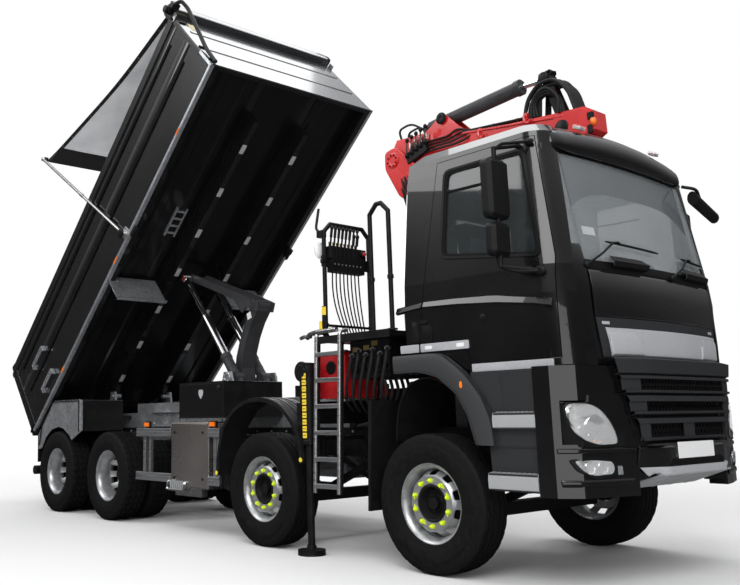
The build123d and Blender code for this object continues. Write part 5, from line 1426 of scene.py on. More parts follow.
def make_sheet_gear():
    housing = Piece(raise_bed)
    y0, y1 = -BED_HALF - 2, BED_HALF + 2
    housing.prism(smooth_outline([(BED_FRONT - 64, BED_TOP - 4), (BED_FRONT + 89, BED_TOP - 6),
                                  (BED_FRONT + 92, BED_TOP + 100), (BED_FRONT + 40, BED_TOP + 154),
                                  (BED_FRONT - 50, BED_TOP + 154), (BED_FRONT - 64, BED_TOP + 100)], 34),
                  "xz", y0, y1)
    housing.make("sheet_housing_skin", bulkhead_highlight_paint, "tipper", "black_paint", bevel=3)
    caps = Piece(raise_bed)
    for side in (-1, 1):
        caps.prism(smooth_outline([(BED_FRONT - 72, BED_TOP - 8), (BED_FRONT + 97, BED_TOP - 10),
                                   (BED_FRONT + 99, BED_TOP + 104), (BED_FRONT + 44, BED_TOP + 162),
                                   (BED_FRONT - 54, BED_TOP + 162), (BED_FRONT - 72, BED_TOP + 102)], 38),
                   "xz", *sorted((side * (BED_HALF - 10), side * (BED_HALF + 22))))
    caps.make("sheet_housing_caps", dark_plastic, "tipper", "black_paint", bevel=5)
    motor = Piece(raise_bed)
    for side in (-1,):
        motor.lathe([(0, 52), (60, 52), (66, 46), (96, 46), (100, 38), (100, 0.02)],
                    (BED_FRONT + 44, side * (BED_HALF + 16), BED_TOP + 10), axis="y", steps=24, turn=side)
        motor.box(BED_FRONT - 40, BED_FRONT + 120, *sorted((side * (BED_HALF + 6), side * (BED_HALF + 28))),
                  BED_TOP - 66, BED_TOP + 74)
        motor.box(BED_FRONT + 90, BED_FRONT + 160, *sorted((side * (BED_HALF - 30), side * (BED_HALF + 70))),
                  BED_TOP - 60, BED_TOP + 20)
    motor.make("sheet_motor", black_plastic, "tipper", "black_paint", bevel=5)
    bracket = Piece(raise_bed)
    for side in (-1, 1):
        bracket.box(BED_FRONT - 30, BED_FRONT + 60, *sorted((side * (BED_HALF + 2), side * (BED_HALF + 16))),
                    BED_TOP - 130, BED_TOP - 40)
        bracket.prism([(ARM_X - 60, BED_BOTTOM + 4), (ARM_X + 110, BED_BOTTOM + 4), (ARM_X + 70, ARM_Z + 66),
                       (ARM_X - 30,
                        ARM_Z + 70)], "xz", *sorted((side * (BED_HALF + 2), side * (BED_HALF + 10))))
    bracket.make("arm_brackets", galvanised, "tipper", "black_paint", bevel=3)
    hose = Piece(raise_bed)
    hose.tube(rounded([(BED_FRONT + 150, -BED_HALF - 20, BED_TOP - 20),
                       (BED_FRONT + 210, -BED_HALF + 20, BED_TOP - 40),
                       (BED_FRONT + 190, -BED_HALF + 70, BED_TOP - 160), (BED_FRONT + 40, -BED_HALF + 60,
                                                                          BED_BOTTOM + 330),
                       (BED_FRONT + 30, -BED_HALF + 50, BED_BOTTOM + 30)], 90, 6), 24, 12)
    hose.make("sheet_motor_hose", hose_rubber, "tipper", "black_paint")
    clip = Piece(raise_bed)
    for z in (BED_BOTTOM + 120, BED_BOTTOM + 420, BED_TOP - 200):
        t = (z - BED_BOTTOM - 30) / 300
        y = -BED_HALF + 54 if t < 1 else -BED_HALF + 62
        clip.box(BED_FRONT + 4, BED_FRONT + 22, y - 46, y + 46, z - 12, z + 12)
    clip.make("hose_clips", black_plastic, "tipper", "black_paint", bevel=2)
    label = Piece(raise_bed)
    label.box(BED_FRONT + 5, BED_FRONT + 7, -BED_HALF + 150, -BED_HALF + 290, BED_TOP - 330, BED_TOP - 150)
    label.make("blank_label", pale_yellow, "tipper", "black_paint", bevel=0.5)
    drive = Piece(raise_bed)
    for side in (-1, 1):
        drive.lathe([(0, 58), (22, 58), (26, 50), (26, 30), (34, 30), (34, 0.02)],
                    (ARM_X, side * (ARM_Y + 24), ARM_Z), axis="y", steps=24, turn=side)
    drive.make("arm_hubs", black_plastic, "sheet_arms", "arm_chrome", bevel=2)
    gear = Piece(raise_bed)
    for side in (-1, 1):
        gear.box(ARM_X + 60, ARM_X + 190, *sorted((side * (BED_HALF - 60), side * (BED_HALF - 2))),
                 BED_BOTTOM - 50,
                 BED_BOTTOM + 2)
        gear.lathe([(0, 34), (70, 34), (76, 26), (76, 0.02)],
                   (ARM_X + 130, side * (BED_HALF - 30), BED_BOTTOM - 40),
                   axis="x", steps=18)
    gear.make("arm_drive", black_plastic, "tipper", "black_paint", bevel=4)
    arms = Piece(raise_bed)
    for side in (-1, 1):
        arms.tube([(ARM_X, side * ARM_Y, ARM_Z), (ARM_TIP[0], side * ARM_Y, ARM_TIP[1])], 20, 16)
        arms.lathe([(-26, 42), (26, 42), (26, 20), (-26, 20)], (ARM_X, side * ARM_Y, ARM_Z), axis="y",
                   steps=24,
                   closed=True)
        t = 0.47
        arms.lathe([(-34, 25), (34, 25), (34, 20), (-34, 20)],
                   (mix(ARM_X, ARM_TIP[0], t), side * ARM_Y, mix(ARM_Z, ARM_TIP[1], t)),
                   axis=(ARM_TIP[0] - ARM_X, 0, ARM_TIP[1] - ARM_Z), steps=18, closed=True)
        arms.ball((ARM_TIP[0], side * ARM_Y, ARM_TIP[1]), (30, 26, 30))
    arms.make("arm_tubes", chrome, "sheet_arms", "arm_chrome")
    bar = Piece(raise_bed)
    bar.tube([(ARM_TIP[0], -ARM_Y - 20, ARM_TIP[1]), (ARM_TIP[0], ARM_Y + 20, ARM_TIP[1])], 24.5, 14)
    for side in (-1, 1):
        bar.lathe([(-24, 38), (24, 38), (24, 26), (-24, 26)], (ARM_TIP[0], side * (ARM_Y - 44), ARM_TIP[1]),
                  axis="y",
                  steps=18, closed=True)
    bar.make("sheet_cross_bar", black_plastic, "sheet_arms", "arm_chrome")


SHEET_START = (BED_FRONT + 15, BED_TOP + 153)
SHEET_HALF = 1188.0


def sheet_point(s, t):
    """s along from the housing to the bar, t across from -1 to 1: sags a little and pulls in at its sides."""
    sag = 60 * math.sin(math.pi * s) * (1 - 0.35 * t * t)
    ripple = (9 * math.sin(math.pi * s) * math.sin(9 * s + 5 * t)
              + 5 * math.sin(16 * t + 4 * s) * math.sin(math.pi * s))
    half = SHEET_HALF - 34 * math.sin(math.pi * s)
    return (mix(SHEET_START[0], ARM_TIP[0] + 14, s), t * half,
            mix(SHEET_START[1], ARM_TIP[1] + 4, s) - sag + ripple)


def make_sheet():
    along, across = 72, 36
    sheet = Piece(raise_bed)
    verts, faces = [], []
    for i in range(along + 1):
        for j in range(across + 1):
            verts.append(sheet_point(i / along, j / across * 2 - 1))
    width = across + 1
    faces = [(i * width + j, i * width + j + 1, (i + 1) * width + j + 1, (i + 1) * width + j)
             for i in range(along) for j in range(across)]
    sheet.add(verts, faces)
    cloth_piece = sheet.make("sheet_cloth", cloth, None, "mesh_cloth")
    thick = cloth_piece.modifiers.new("thick", "SOLIDIFY")
    thick.thickness = 0.0016
    edge = Piece(raise_bed)
    for t in (-1, 1):
        sections = []
        for i in range(along + 1):
            s = i / along
            x, y, z = sheet_point(s, t)
            x2, y2, z2 = sheet_point(s, t * 0.955)
            sections.append([(x, y + t * 4, z - 5), (x, y + t * 4, z + 5), (x2, y2, z2 + 4),
                             (x2, y2, z2 - 4)])
        edge.loft(sections)
    hems = []
    edge_piece = edge.make("sheet_edges", webbing, None, "mesh_cloth")
    hems.append(edge_piece)
    end = Piece(raise_bed)
    sections = []
    for j in range(across + 1):
        t = j / across * 2 - 1
        x, y, z = sheet_point(1, t)
        x2, y2, z2 = sheet_point(0.9, t)
        sections.append([(x - 28, y, z - 34), (x - 34, y, z), (x - 16, y, z + 28), (x2, y2, z2 + 6),
                         (x2, y2, z2 - 6)])
    end.loft(sections)
    hems.append(end.make("sheet_hem", webbing, None, "mesh_cloth"))
    rivets = Piece(raise_bed)
    for t in (-1, 1):
        for k in range(13):
            x, y, z = sheet_point(0.03 + k * 0.078, t * 0.978)
            rivets.ball((x, y, z + 3), (11, 11, 8), 5, 8)
            rivets.ball((x, y, z - 3), (11, 11, 8), 5, 8)
    hems.append(rivets.make("sheet_rivets", chrome, None, "mesh_cloth"))
    for piece in [cloth_piece] + hems:
        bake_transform(piece)
    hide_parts("load_sheet")


# ---------------------------------------------------------------------------
# Tipping gear
# ---------------------------------------------------------------------------
COLUMN = (ax(-3865), 1527.0)
KNEE = (ax(-3565.6), 2502.0)
SHAFT = (ax(-4920), 3000.0)
RAM_PIVOT = (ax(-3800), 1640.0)


def make_hoist():
    ram = Vector((SHAFT[0] - RAM_PIVOT[0], 0, SHAFT[1] - RAM_PIVOT[1]))
    ram.normalize()

    def at(distance, y):
        return (RAM_PIVOT[0] + ram.x * distance, y, RAM_PIVOT[1] + ram.z * distance)
    along = (KNEE[0] - COLUMN[0], 0, KNEE[1] - COLUMN[1])
    length = math.hypot(along[0], along[2])
    ux, uz = along[0] / length, along[2] / length
    # flanges on both sides of the column, its gussets and the bare label
    outline = [(-60, 62), (0, 100), (150, 162), (340, 187), (540, 175), (760, 132), (980, 82),
               (length + 50, 38),
               (length + 50, -43), (length - 60, -60), (800, 7), (620, 47), (430, 62), (240, 47), (100,
                                                                                                   -8), (0,
                                                                                                         -80),
               (-60, -55)]

    def on_column(a, b):
        return (COLUMN[0] + ux * a - uz * b, COLUMN[1] + uz * a + ux * b)
    plates = Piece()
    for side in (-1, 1):
        ring = [on_column(a, b) for a, b in outline]
        small = [on_column(a * 0.985 + 8, mix(b, 62 + a * 0.02, 0.24)) for a, b in outline]
        low, high = side * 96, side * 103
        torus_of(plates, [[(x, low, z) for x, z in ring], [(x, high, z) for x, z in ring],
                          [(x, high, z) for x, z in small], [(x, low, z) for x, z in small]])
    plates.make("column_flanges", hoist_paint, "hoist_column", "black_paint", bevel=3)
    discs = Piece()
    bolts = Piece()
    for side in (-1, 1):
        for x, z, y, r in ((COLUMN[0], COLUMN[1], 344, 58), (RAM_PIVOT[0], RAM_PIVOT[1], 344, 72)):
            discs.lathe([(0, r), (14, r), (20, r - 8), (20, r * 0.45), (14, r * 0.4), (14, 0.02)],
                        (x, side * y, z),
                        axis="y", steps=30, turn=side)
            for k in range(6):
                a = math.radians(60 * k + 15)
                bolts.lathe([(0, 9), (8, 9), (10, 6), (10, 0.02)],
                            (x + math.cos(a) * r * 0.7, side * (y + 18),
                             z + math.sin(a) * r * 0.7), axis="y", steps=6,
                            turn=side)
    discs.make("pivot_discs", galvanised, "chassis", "galvanised", bevel=1)
    bolts.make("pivot_bolts", stainless, "chassis", "galvanised")
    knee = Piece()
    for side in (-1, 1):
        knee.lathe([(0, 40), (8, 40), (12, 34), (12, 0.02)], (KNEE[0], side * 131, KNEE[1]), axis="y",
                   steps=24,
                   turn=side)
    knee.make("knee_caps", hoist_paint, "hoist_column", "black_paint")
    label = Piece()
    x0, z0 = on_column(length - 150, 75)
    label.box(x0 - 40, x0 + 40, -105, -103.2, z0 - 40, z0 + 40, turn=("Y", -17, (x0, -104, z0)))
    label.make("column_label", plate_white, "hoist_column", "black_paint")
    lever = Piece()
    lx, lz = KNEE[0] - SHAFT[0], KNEE[1] - SHAFT[1]
    size = math.hypot(lx, lz)
    lx, lz = lx / size, lz / size
    px, pz = -lz, lx

    def on_lever(a, b):
        return (KNEE[0] + lx * a + px * b, KNEE[1] + lz * a + pz * b)
    low_edge = [on_lever(a, b) for a, b in ((-60, 52), (-size + 20, 54), (-size + 20, 34), (-60, 30))]
    bottom_edge = [on_lever(a, b) for a,
                   b in ((-430, -32), (-size + 40, -27), (-size + 40, -12), (-430, -14))]
    for side in (-1, 1):
        y0, y1 = sorted((side * 129, side * 137))
        lever.prism(low_edge, "xz", y0, y1)
        lever.prism(bottom_edge, "xz", y0, y1)
        lever.lathe([(0, 52), (10, 52), (14, 44), (14, 26), (10, 0.02)], (KNEE[0], side * 129, KNEE[1]),
                    axis="y",
                    steps=24, turn=side)
    lever.make("lever_edges", hoist_paint, "hoist_lever", "black_paint", bevel=2)
    pin = Piece()
    for side in (-1, 1):
        pin.lathe([(0, 40), (10, 40), (16, 32), (16, 0.02)], (SHAFT[0], side * 256, SHAFT[1]), axis="y",
                  steps=24,
                  turn=side)
    pin.make("shaft_caps", red_paint, "ram_rods", "rod_chrome")
    barrels = Piece()
    stages = Piece()
    for y in (-200, 200):
        barrels.lathe([(-474, 50), (-474, 60), (-462, 64), (-320, 64), (-312, 62.5), (300, 62.5), (306, 70),
                       (366, 70),
                       (372, 64), (372, 51)], (RAM_PIVOT[0], y, RAM_PIVOT[1]), axis=tuple(ram), steps=36)
        for k in range(3):
            a = at(-120 + k * 140, y)
            barrels.lathe([(-6, 62.4), (-4, 65), (4, 65), (6, 62.4)], a, axis=tuple(ram), steps=30)
        stages.lathe([(1028, 39), (1028, 53), (1040, 53), (1043, 48), (1043, 38.5)],
                     (RAM_PIVOT[0], y, RAM_PIVOT[1]),
                     axis=tuple(ram), steps=36)
    barrels.make("barrel_skins", hoist_paint, "ram_barrels", "barrel_steel")
    stages.make("stage_collars", chrome, "ram_stages", "rod_chrome")


make_bed()
make_sheet_gear()
make_sheet()
make_hoist()

# ---------------------------------------------------------------------------
# Crane: booms, ram, hoses, valves
# ---------------------------------------------------------------------------
CRANE_Y = -150.0
BOOM_HALF = 95.0
BOOM_PIVOT = (ax(-1080), 3640.0)
KNEE_BOOM = (ax(760), 3480.0)


def bolt_ring(piece, x, y, z, radius, count, side, size=9.0):
    for k in range(count):
        a = math.radians(360 * k / count + 15)
        piece.lathe([(0, size), (7, size), (9, size * 0.6), (9, 0.02)],
                    (x + math.cos(a) * radius, y, z + math.sin(a) * radius), axis="y", steps=6, turn=side)


def make_crane():
    skins = Piece()
    for side in (-1, 1):
        face = CRANE_Y + side * BOOM_HALF
        low, high = sorted((face + side * 0.5, face + side * 9))
        # doubler plates and flanges on the inner boom
        skins.prism(smooth_outline([(ax(-1150), 3610), (ax(-1060), 3835), (ax(-740), 3812), (ax(-560), 3640),
                                    (ax(-560), 3470), (ax(-1000), 3560)], 40), "xz", low, high)
        skins.prism([(ax(-540), 3752), (ax(780), 3580), (ax(780), 3562), (ax(-540), 3732)], "xz",
                    *sorted((face, face + side * 12)))
        skins.prism([(ax(-480), 3425), (ax(770), 3352), (ax(770), 3336), (ax(-490), 3408)], "xz",
                    *sorted((face, face + side * 12)))
        skins.prism(smooth_outline([(ax(640), 3372), (ax(690), 3590), (ax(960), 3586), (ax(1036), 3536),
                                    (ax(1038), 3398),
                                    (ax(950), 3352)], 46), "xz", low, high)
        for x in (0, 420):
            skins.prism([(ax(x), 3400), (ax(x + 14), 3400), (ax(x + 14), 3640 - x * 0.08),
                         (ax(x), 3640 - x * 0.08)],
                        "xz", *sorted((face, face + side * 7)))
    skins.make("inner_boom_plates", crane_red, "inner_boom", "crane_paint", bevel=4)
    caps = Piece()
    for side in (-1, 1):
        caps.lathe([(0, 56), (10, 56), (14, 48), (14, 22), (9, 18), (9, 0.02)],
                   (ax(-480), CRANE_Y + side * 106, 3912),
                   axis="y", steps=28, turn=side)
        caps.lathe([(0, 62), (10, 62), (15, 54), (15, 0.02)],
                   (KNEE_BOOM[0], CRANE_Y + side * 96 if side < 0 else 176,
                    KNEE_BOOM[1]), axis="y", steps=28, turn=side)
    bolt_ring(caps, ax(-480), CRANE_Y - 119, 3912, 36, 4, -1, 7)
    caps.make("boom_pin_caps", chassis_paint, "inner_boom", "crane_paint", bevel=1)
    hook = Piece()
    for x in (-60, 420):
        hook.tube(rounded([(ax(x), CRANE_Y - 80, 3672), (ax(x), CRANE_Y - 120, 3668),
                           (ax(x + 4), CRANE_Y - 124, 3610),
                           (ax(x + 46), CRANE_Y - 124, 3592), (ax(x + 66), CRANE_Y - 124, 3622)], 16), 12, 8)
        hook.box(ax(x - 14), ax(x + 16), CRANE_Y - 98, CRANE_Y - 60, 3640, 3700)
    hook.make("boom_hooks", crane_red, "inner_boom", "crane_paint", bevel=2)
    ram = Piece()
    axis = (970, 0, 85)
    ram.lathe([(-60, 0.02), (-60, 50), (-46, 62), (0, 64), (930, 64), (936, 72), (985, 72), (991, 66),
               (991, 24)],
              (ax(-640), CRANE_Y, 3900), axis=axis, steps=40)
    ram.lathe([(-64, 30), (-64, 46), (-20, 46), (-20, 30)], (ax(-700), CRANE_Y, 3895), axis=axis, steps=24,
              closed=True)
    ram.make("boom_ram_barrel", hoist_paint, "inner_boom", "barrel_steel")
    rod = Piece()
    rod.tube([(ax(326), CRANE_Y, 3985), (ax(600), CRANE_Y, 3975)], 23, 20)
    rod.make("boom_ram_rod", chrome, "inner_boom", "rod_chrome")
    head = Piece()
    head.ball((ax(600), CRANE_Y, 3975), (62, 46, 52), 10, 18)
    for side in (-1, 1):
        head.lathe([(0, 46), (22, 46), (26, 40), (26, 0.02)], (ax(600), CRANE_Y + side * 50, 3975), axis="y",
                   steps=24,
                   turn=side)
        head.prism(smooth_outline([(ax(560), 3990), (ax(636), 4010), (ax(790), 3560), (ax(700), 3540)], 30),
                   "xz",
                   *sorted((CRANE_Y + side * 34, CRANE_Y + side * 48)))
        head.prism(smooth_outline([(ax(540), 3962), (ax(596), 4000), (ax(560), 3600), (ax(500), 3610)], 20),
                   "xz",
                   *sorted((CRANE_Y + side * 62, CRANE_Y + side * 74)))
    head.tube([(ax(520), CRANE_Y, 4030), (ax(600), CRANE_Y, 4042), (ax(680), CRANE_Y, 4010)], 12, 8)
    head.lathe([(-40, 26), (40, 26), (40, 12), (-40, 12)], (ax(640), CRANE_Y, 4014), axis="y", steps=18,
               closed=True)
    head.make("boom_links", chassis_paint, "inner_boom", "chassis_paint", bevel=3)
    pipes = Piece()
    for k in range(4):
        z = 3770 - k * 34
        y = CRANE_Y - BOOM_HALF - 18 - k * 5
        x = ax(-700 + k * 26)
        pipes.tube(rounded([(x - 140, y, z - 60), (x, y, z - 42), (x + 300, y, z - 52),
                            (x + 400, y, z - 8 - k * 12),
                            (x + 500, CRANE_Y - 78 + k * 10, 3722 - k * 4), (ax(420), CRANE_Y - 70 + k * 36,
                                                                             3668 - k * 2)],
                           50), 10, 8)
    pipes.tube([(ax(-300), CRANE_Y - 58, 3738), (ax(100), CRANE_Y - 50, 3700),
                (ax(520), CRANE_Y - 50, 3668)], 12, 8)
    for x, z in ((-180, 3712), (80, 3690), (330, 3668)):
        pipes.box(ax(x - 12), ax(x + 12), CRANE_Y - 90, CRANE_Y + 50, z - 4, z + 14)
    pipes.make("boom_pipes", hose_rubber, "inner_boom", "dark_plastic")
    hoses = Piece()
    for k in range(6):
        y = CRANE_Y - 78 + k * 31
        far = k % 2
        hoses.tube(rounded([(ax(400 - far * 30), y, 3660), (ax(440), y, 3820 + far * 30),
                            (ax(560 + k * 6), y, 3930 - far * 34),
                            (ax(700 + k * 8), y, 3930 - far * 30), (ax(830), y - 10, 3800), (ax(880), y,
                                                                                             3605)], 150, 6),
                   16, 10)
    for k in range(3):
        y = CRANE_Y - 104 + k * 12
        hoses.tube(rounded([(ax(480 + k * 26), y, 3640), (ax(500), y, 3800 - k * 10),
                            (ax(640), y, 3880 - k * 24),
                            (ax(760), y, 3740), (ax(740 + k * 20), y, 3610)], 120, 6), 14, 10)
    hoses.tube(rounded([(ax(-1040), CRANE_Y - 40, 3850), (ax(-1060), CRANE_Y - 60, 3960),
                        (ax(-900), CRANE_Y - 60, 3990),
                        (ax(-760), CRANE_Y - 60, 3900), (ax(-700), CRANE_Y - 40, 3860)], 80, 6), 11, 8)
    hoses.tube(rounded([(ax(-1020), CRANE_Y + 30, 3850), (ax(-1010), CRANE_Y + 30, 3940),
                        (ax(-860), CRANE_Y + 30, 3965),
                        (ax(-760), CRANE_Y + 30, 3860)], 80, 6), 11, 8)
    hoses.make("boom_hoses", hose_rubber, "inner_boom", "dark_plastic")
    fittings = Piece()
    for k in range(6):
        y = CRANE_Y - 78 + k * 31
        fittings.tube([(ax(400 - k % 2 * 30), y, 3650), (ax(404 - k % 2 * 30), y, 3690)], 19, 6)
    for k in range(4):
        fittings.box(ax(-860 + k * 62), ax(-826 + k * 62), CRANE_Y - BOOM_HALF - 52, CRANE_Y - BOOM_HALF - 10,
                     3700 + k * 16, 3760 + k * 16)
    fittings.make("hose_fittings", stainless, "inner_boom", "stainless", bevel=2)
    valve = Piece()
    valve.box(ax(-900), ax(-640), CRANE_Y - BOOM_HALF - 62, CRANE_Y - BOOM_HALF - 10, 3590, 3700,
              turn=("Y", -18, (ax(-770), CRANE_Y - 120, 3645)))
    valve.make("boom_valve", black_plastic, "inner_boom", "dark_plastic", bevel=4)
    knobs = Piece()
    sticks = Piece()
    for k in range(5):
        x, z = ax(-880 + k * 58), 3640 + k * 20
        sticks.tube([(x, CRANE_Y - 168, z), (x + 42, CRANE_Y - 196, z + 120)], 8, 8)
        knobs.ball((x + 44, CRANE_Y - 198, z + 130), (20, 18, 24), 6, 10)
        knobs.ball((x, CRANE_Y - 164, z - 6), (24, 16, 24), 6, 10)
    sticks.make("boom_valve_levers", stainless, "inner_boom", "stainless")
    knobs.make("boom_valve_knobs", chassis_paint, "inner_boom", "dark_plastic")
    lamp = Piece()
    lamp.ball((ax(1040), CRANE_Y - 100, 3452), (26, 30, 34), 8, 14)
    lamp.make("boom_marker", orange_lens, "inner_boom", "lamp_lens")
    lamp_base = Piece()
    lamp_base.box(ax(1000), ax(1048), CRANE_Y - 120, CRANE_Y - 92, 3472, 3530)
    lamp_base.box(ax(990), ax(1030), CRANE_Y - 112, CRANE_Y - 92, 3360, 3430)
    lamp_base.make("boom_marker_base", black_plastic, "inner_boom", "dark_plastic", bevel=3)
    # knuckle plates on the mast's head, the rubber band and the hoses down the mast
    head_skin = Piece()
    for side in (-1, 1):
        face = CRANE_Y + side * 130
        head_skin.prism(smooth_outline([(ax(-1190), 3570), (ax(-1188), 3745), (ax(-1045), 3772),
                                        (ax(-690), 3436),
                                        (ax(-690), 3244), (ax(-1005), 3244)], 46), "xz",
                        *sorted((face + side * 0.5, face + side * 12)))
        head_skin.lathe([(0, 78), (12, 78), (18, 70), (18, 46), (10, 40), (10, 0.02)],
                        (BOOM_PIVOT[0], face + side * 8, BOOM_PIVOT[1]), axis="y", steps=32, turn=side)
    head_skin.make("mast_head_plates", crane_red, "crane_mast", "crane_paint", bevel=5)
    bolts = Piece()
    for side in (-1, 1):
        bolt_ring(bolts, BOOM_PIVOT[0], CRANE_Y + side * 156, BOOM_PIVOT[1], 58, 8, side)
    bolts.make("mast_head_bolts", chassis_paint, "crane_mast", "chassis_paint")
    column = Piece()
    column.lathe([(1770, 152), (1775, 172), (1790, 172), (1790, 152)], (ax(-800), CRANE_Y, 1480), axis="z",
                 steps=48, closed=True)
    for z in (40, 300, 1200, 1500):
        column.lathe([(z, 151), (z + 6, 168), (z + 60, 168), (z + 66, 151)], (ax(-800), CRANE_Y, 1480),
                     axis="z",
                     steps=48, closed=True)
    column.make("mast_bands", chassis_paint, "crane_mast", "chassis_paint", sharp=30)
    lines = Piece()
    for k in range(7):
        a = math.radians(200 + k * 16)
        x, y = ax(-800) + 172 * math.cos(a), CRANE_Y + 172 * math.sin(a)
        lines.tube(rounded([(x, y, 1560), (x, y, 3120), (x - 60, y - 6, 3300), (x - 120, y + 30, 3440)], 90,
                           5), 13, 8)
    lines.make("mast_hoses", hose_rubber, "crane_mast", "dark_plastic")
    # outer boom: collars and guide blocks
    collars = Piece()
    y0, y1 = CRANE_Y + 144, CRANE_Y + 314
    for x in (-880, -300, 300):
        ring = [(y0 - 8, KNEE_BOOM[1] - 98), (y1 + 8, KNEE_BOOM[1] - 98), (y1 + 8, KNEE_BOOM[1] + 118),
                (y0 - 8, KNEE_BOOM[1] + 118)]
        hole = [(y0 + 1, KNEE_BOOM[1] - 88), (y1 - 1, KNEE_BOOM[1] - 88), (y1 - 1, KNEE_BOOM[1] + 108),
                (y0 + 1, KNEE_BOOM[1] + 108)]
        torus_of(collars,
                 [[(ax(x + d), y, z) for y, z in line] for line,
                  d in ((ring, 0), (ring, 40), (hole, 40), (hole, 0))])
    collars.lathe([(0, 70), (10, 70), (14, 60), (14, 0.02)], (KNEE_BOOM[0], y1 + 12, KNEE_BOOM[1]), axis="y",
                  steps=28)
    collars.make("outer_boom_collars", crane_red, "outer_boom", "crane_paint", bevel=3)
    tip = Piece()
    x = ax(-1060)
    for y in (CRANE_Y + 189, CRANE_Y + 269):
        side = -1 if y < CRANE_Y + 200 else 1
        tip.lathe([(0, 52), (8, 52), (8, 26), (0, 26)], (x, y, KNEE_BOOM[1]), axis="y", steps=28,
                  closed=True, turn=side)
    tip.make("boom_tip_rings", chassis_paint, "boom_extension", "crane_paint")
    base = Piece()
    for side in (-1, 1):
        for x in (-1560, -1120, -600):
            base.box(ax(x), ax(x + 40), *sorted((side * 470, side * 482)), 1090, 1400)
    base.lathe([(-2, 232), (4, 262), (34, 262), (40, 232)], (ax(-800), CRANE_Y, 1424), axis="z", steps=48,
               closed=True)
    for k in range(18):
        a = math.radians(20 * k)
        base.lathe([(0, 14), (12, 14), (15, 9), (15, 0.02)],
                   (ax(-800) + 248 * math.cos(a), CRANE_Y + 248 * math.sin(a), 1458), axis="z", steps=6)
    base.make("crane_base_plates", chassis_paint, "chassis", "chassis_paint", bevel=3)


# ---------------------------------------------------------------------------
# Platform, control stand, ladder, tank, outriggers
# ---------------------------------------------------------------------------
STAND_X = ax(-1130)
PLATFORM_Z = 1860.0


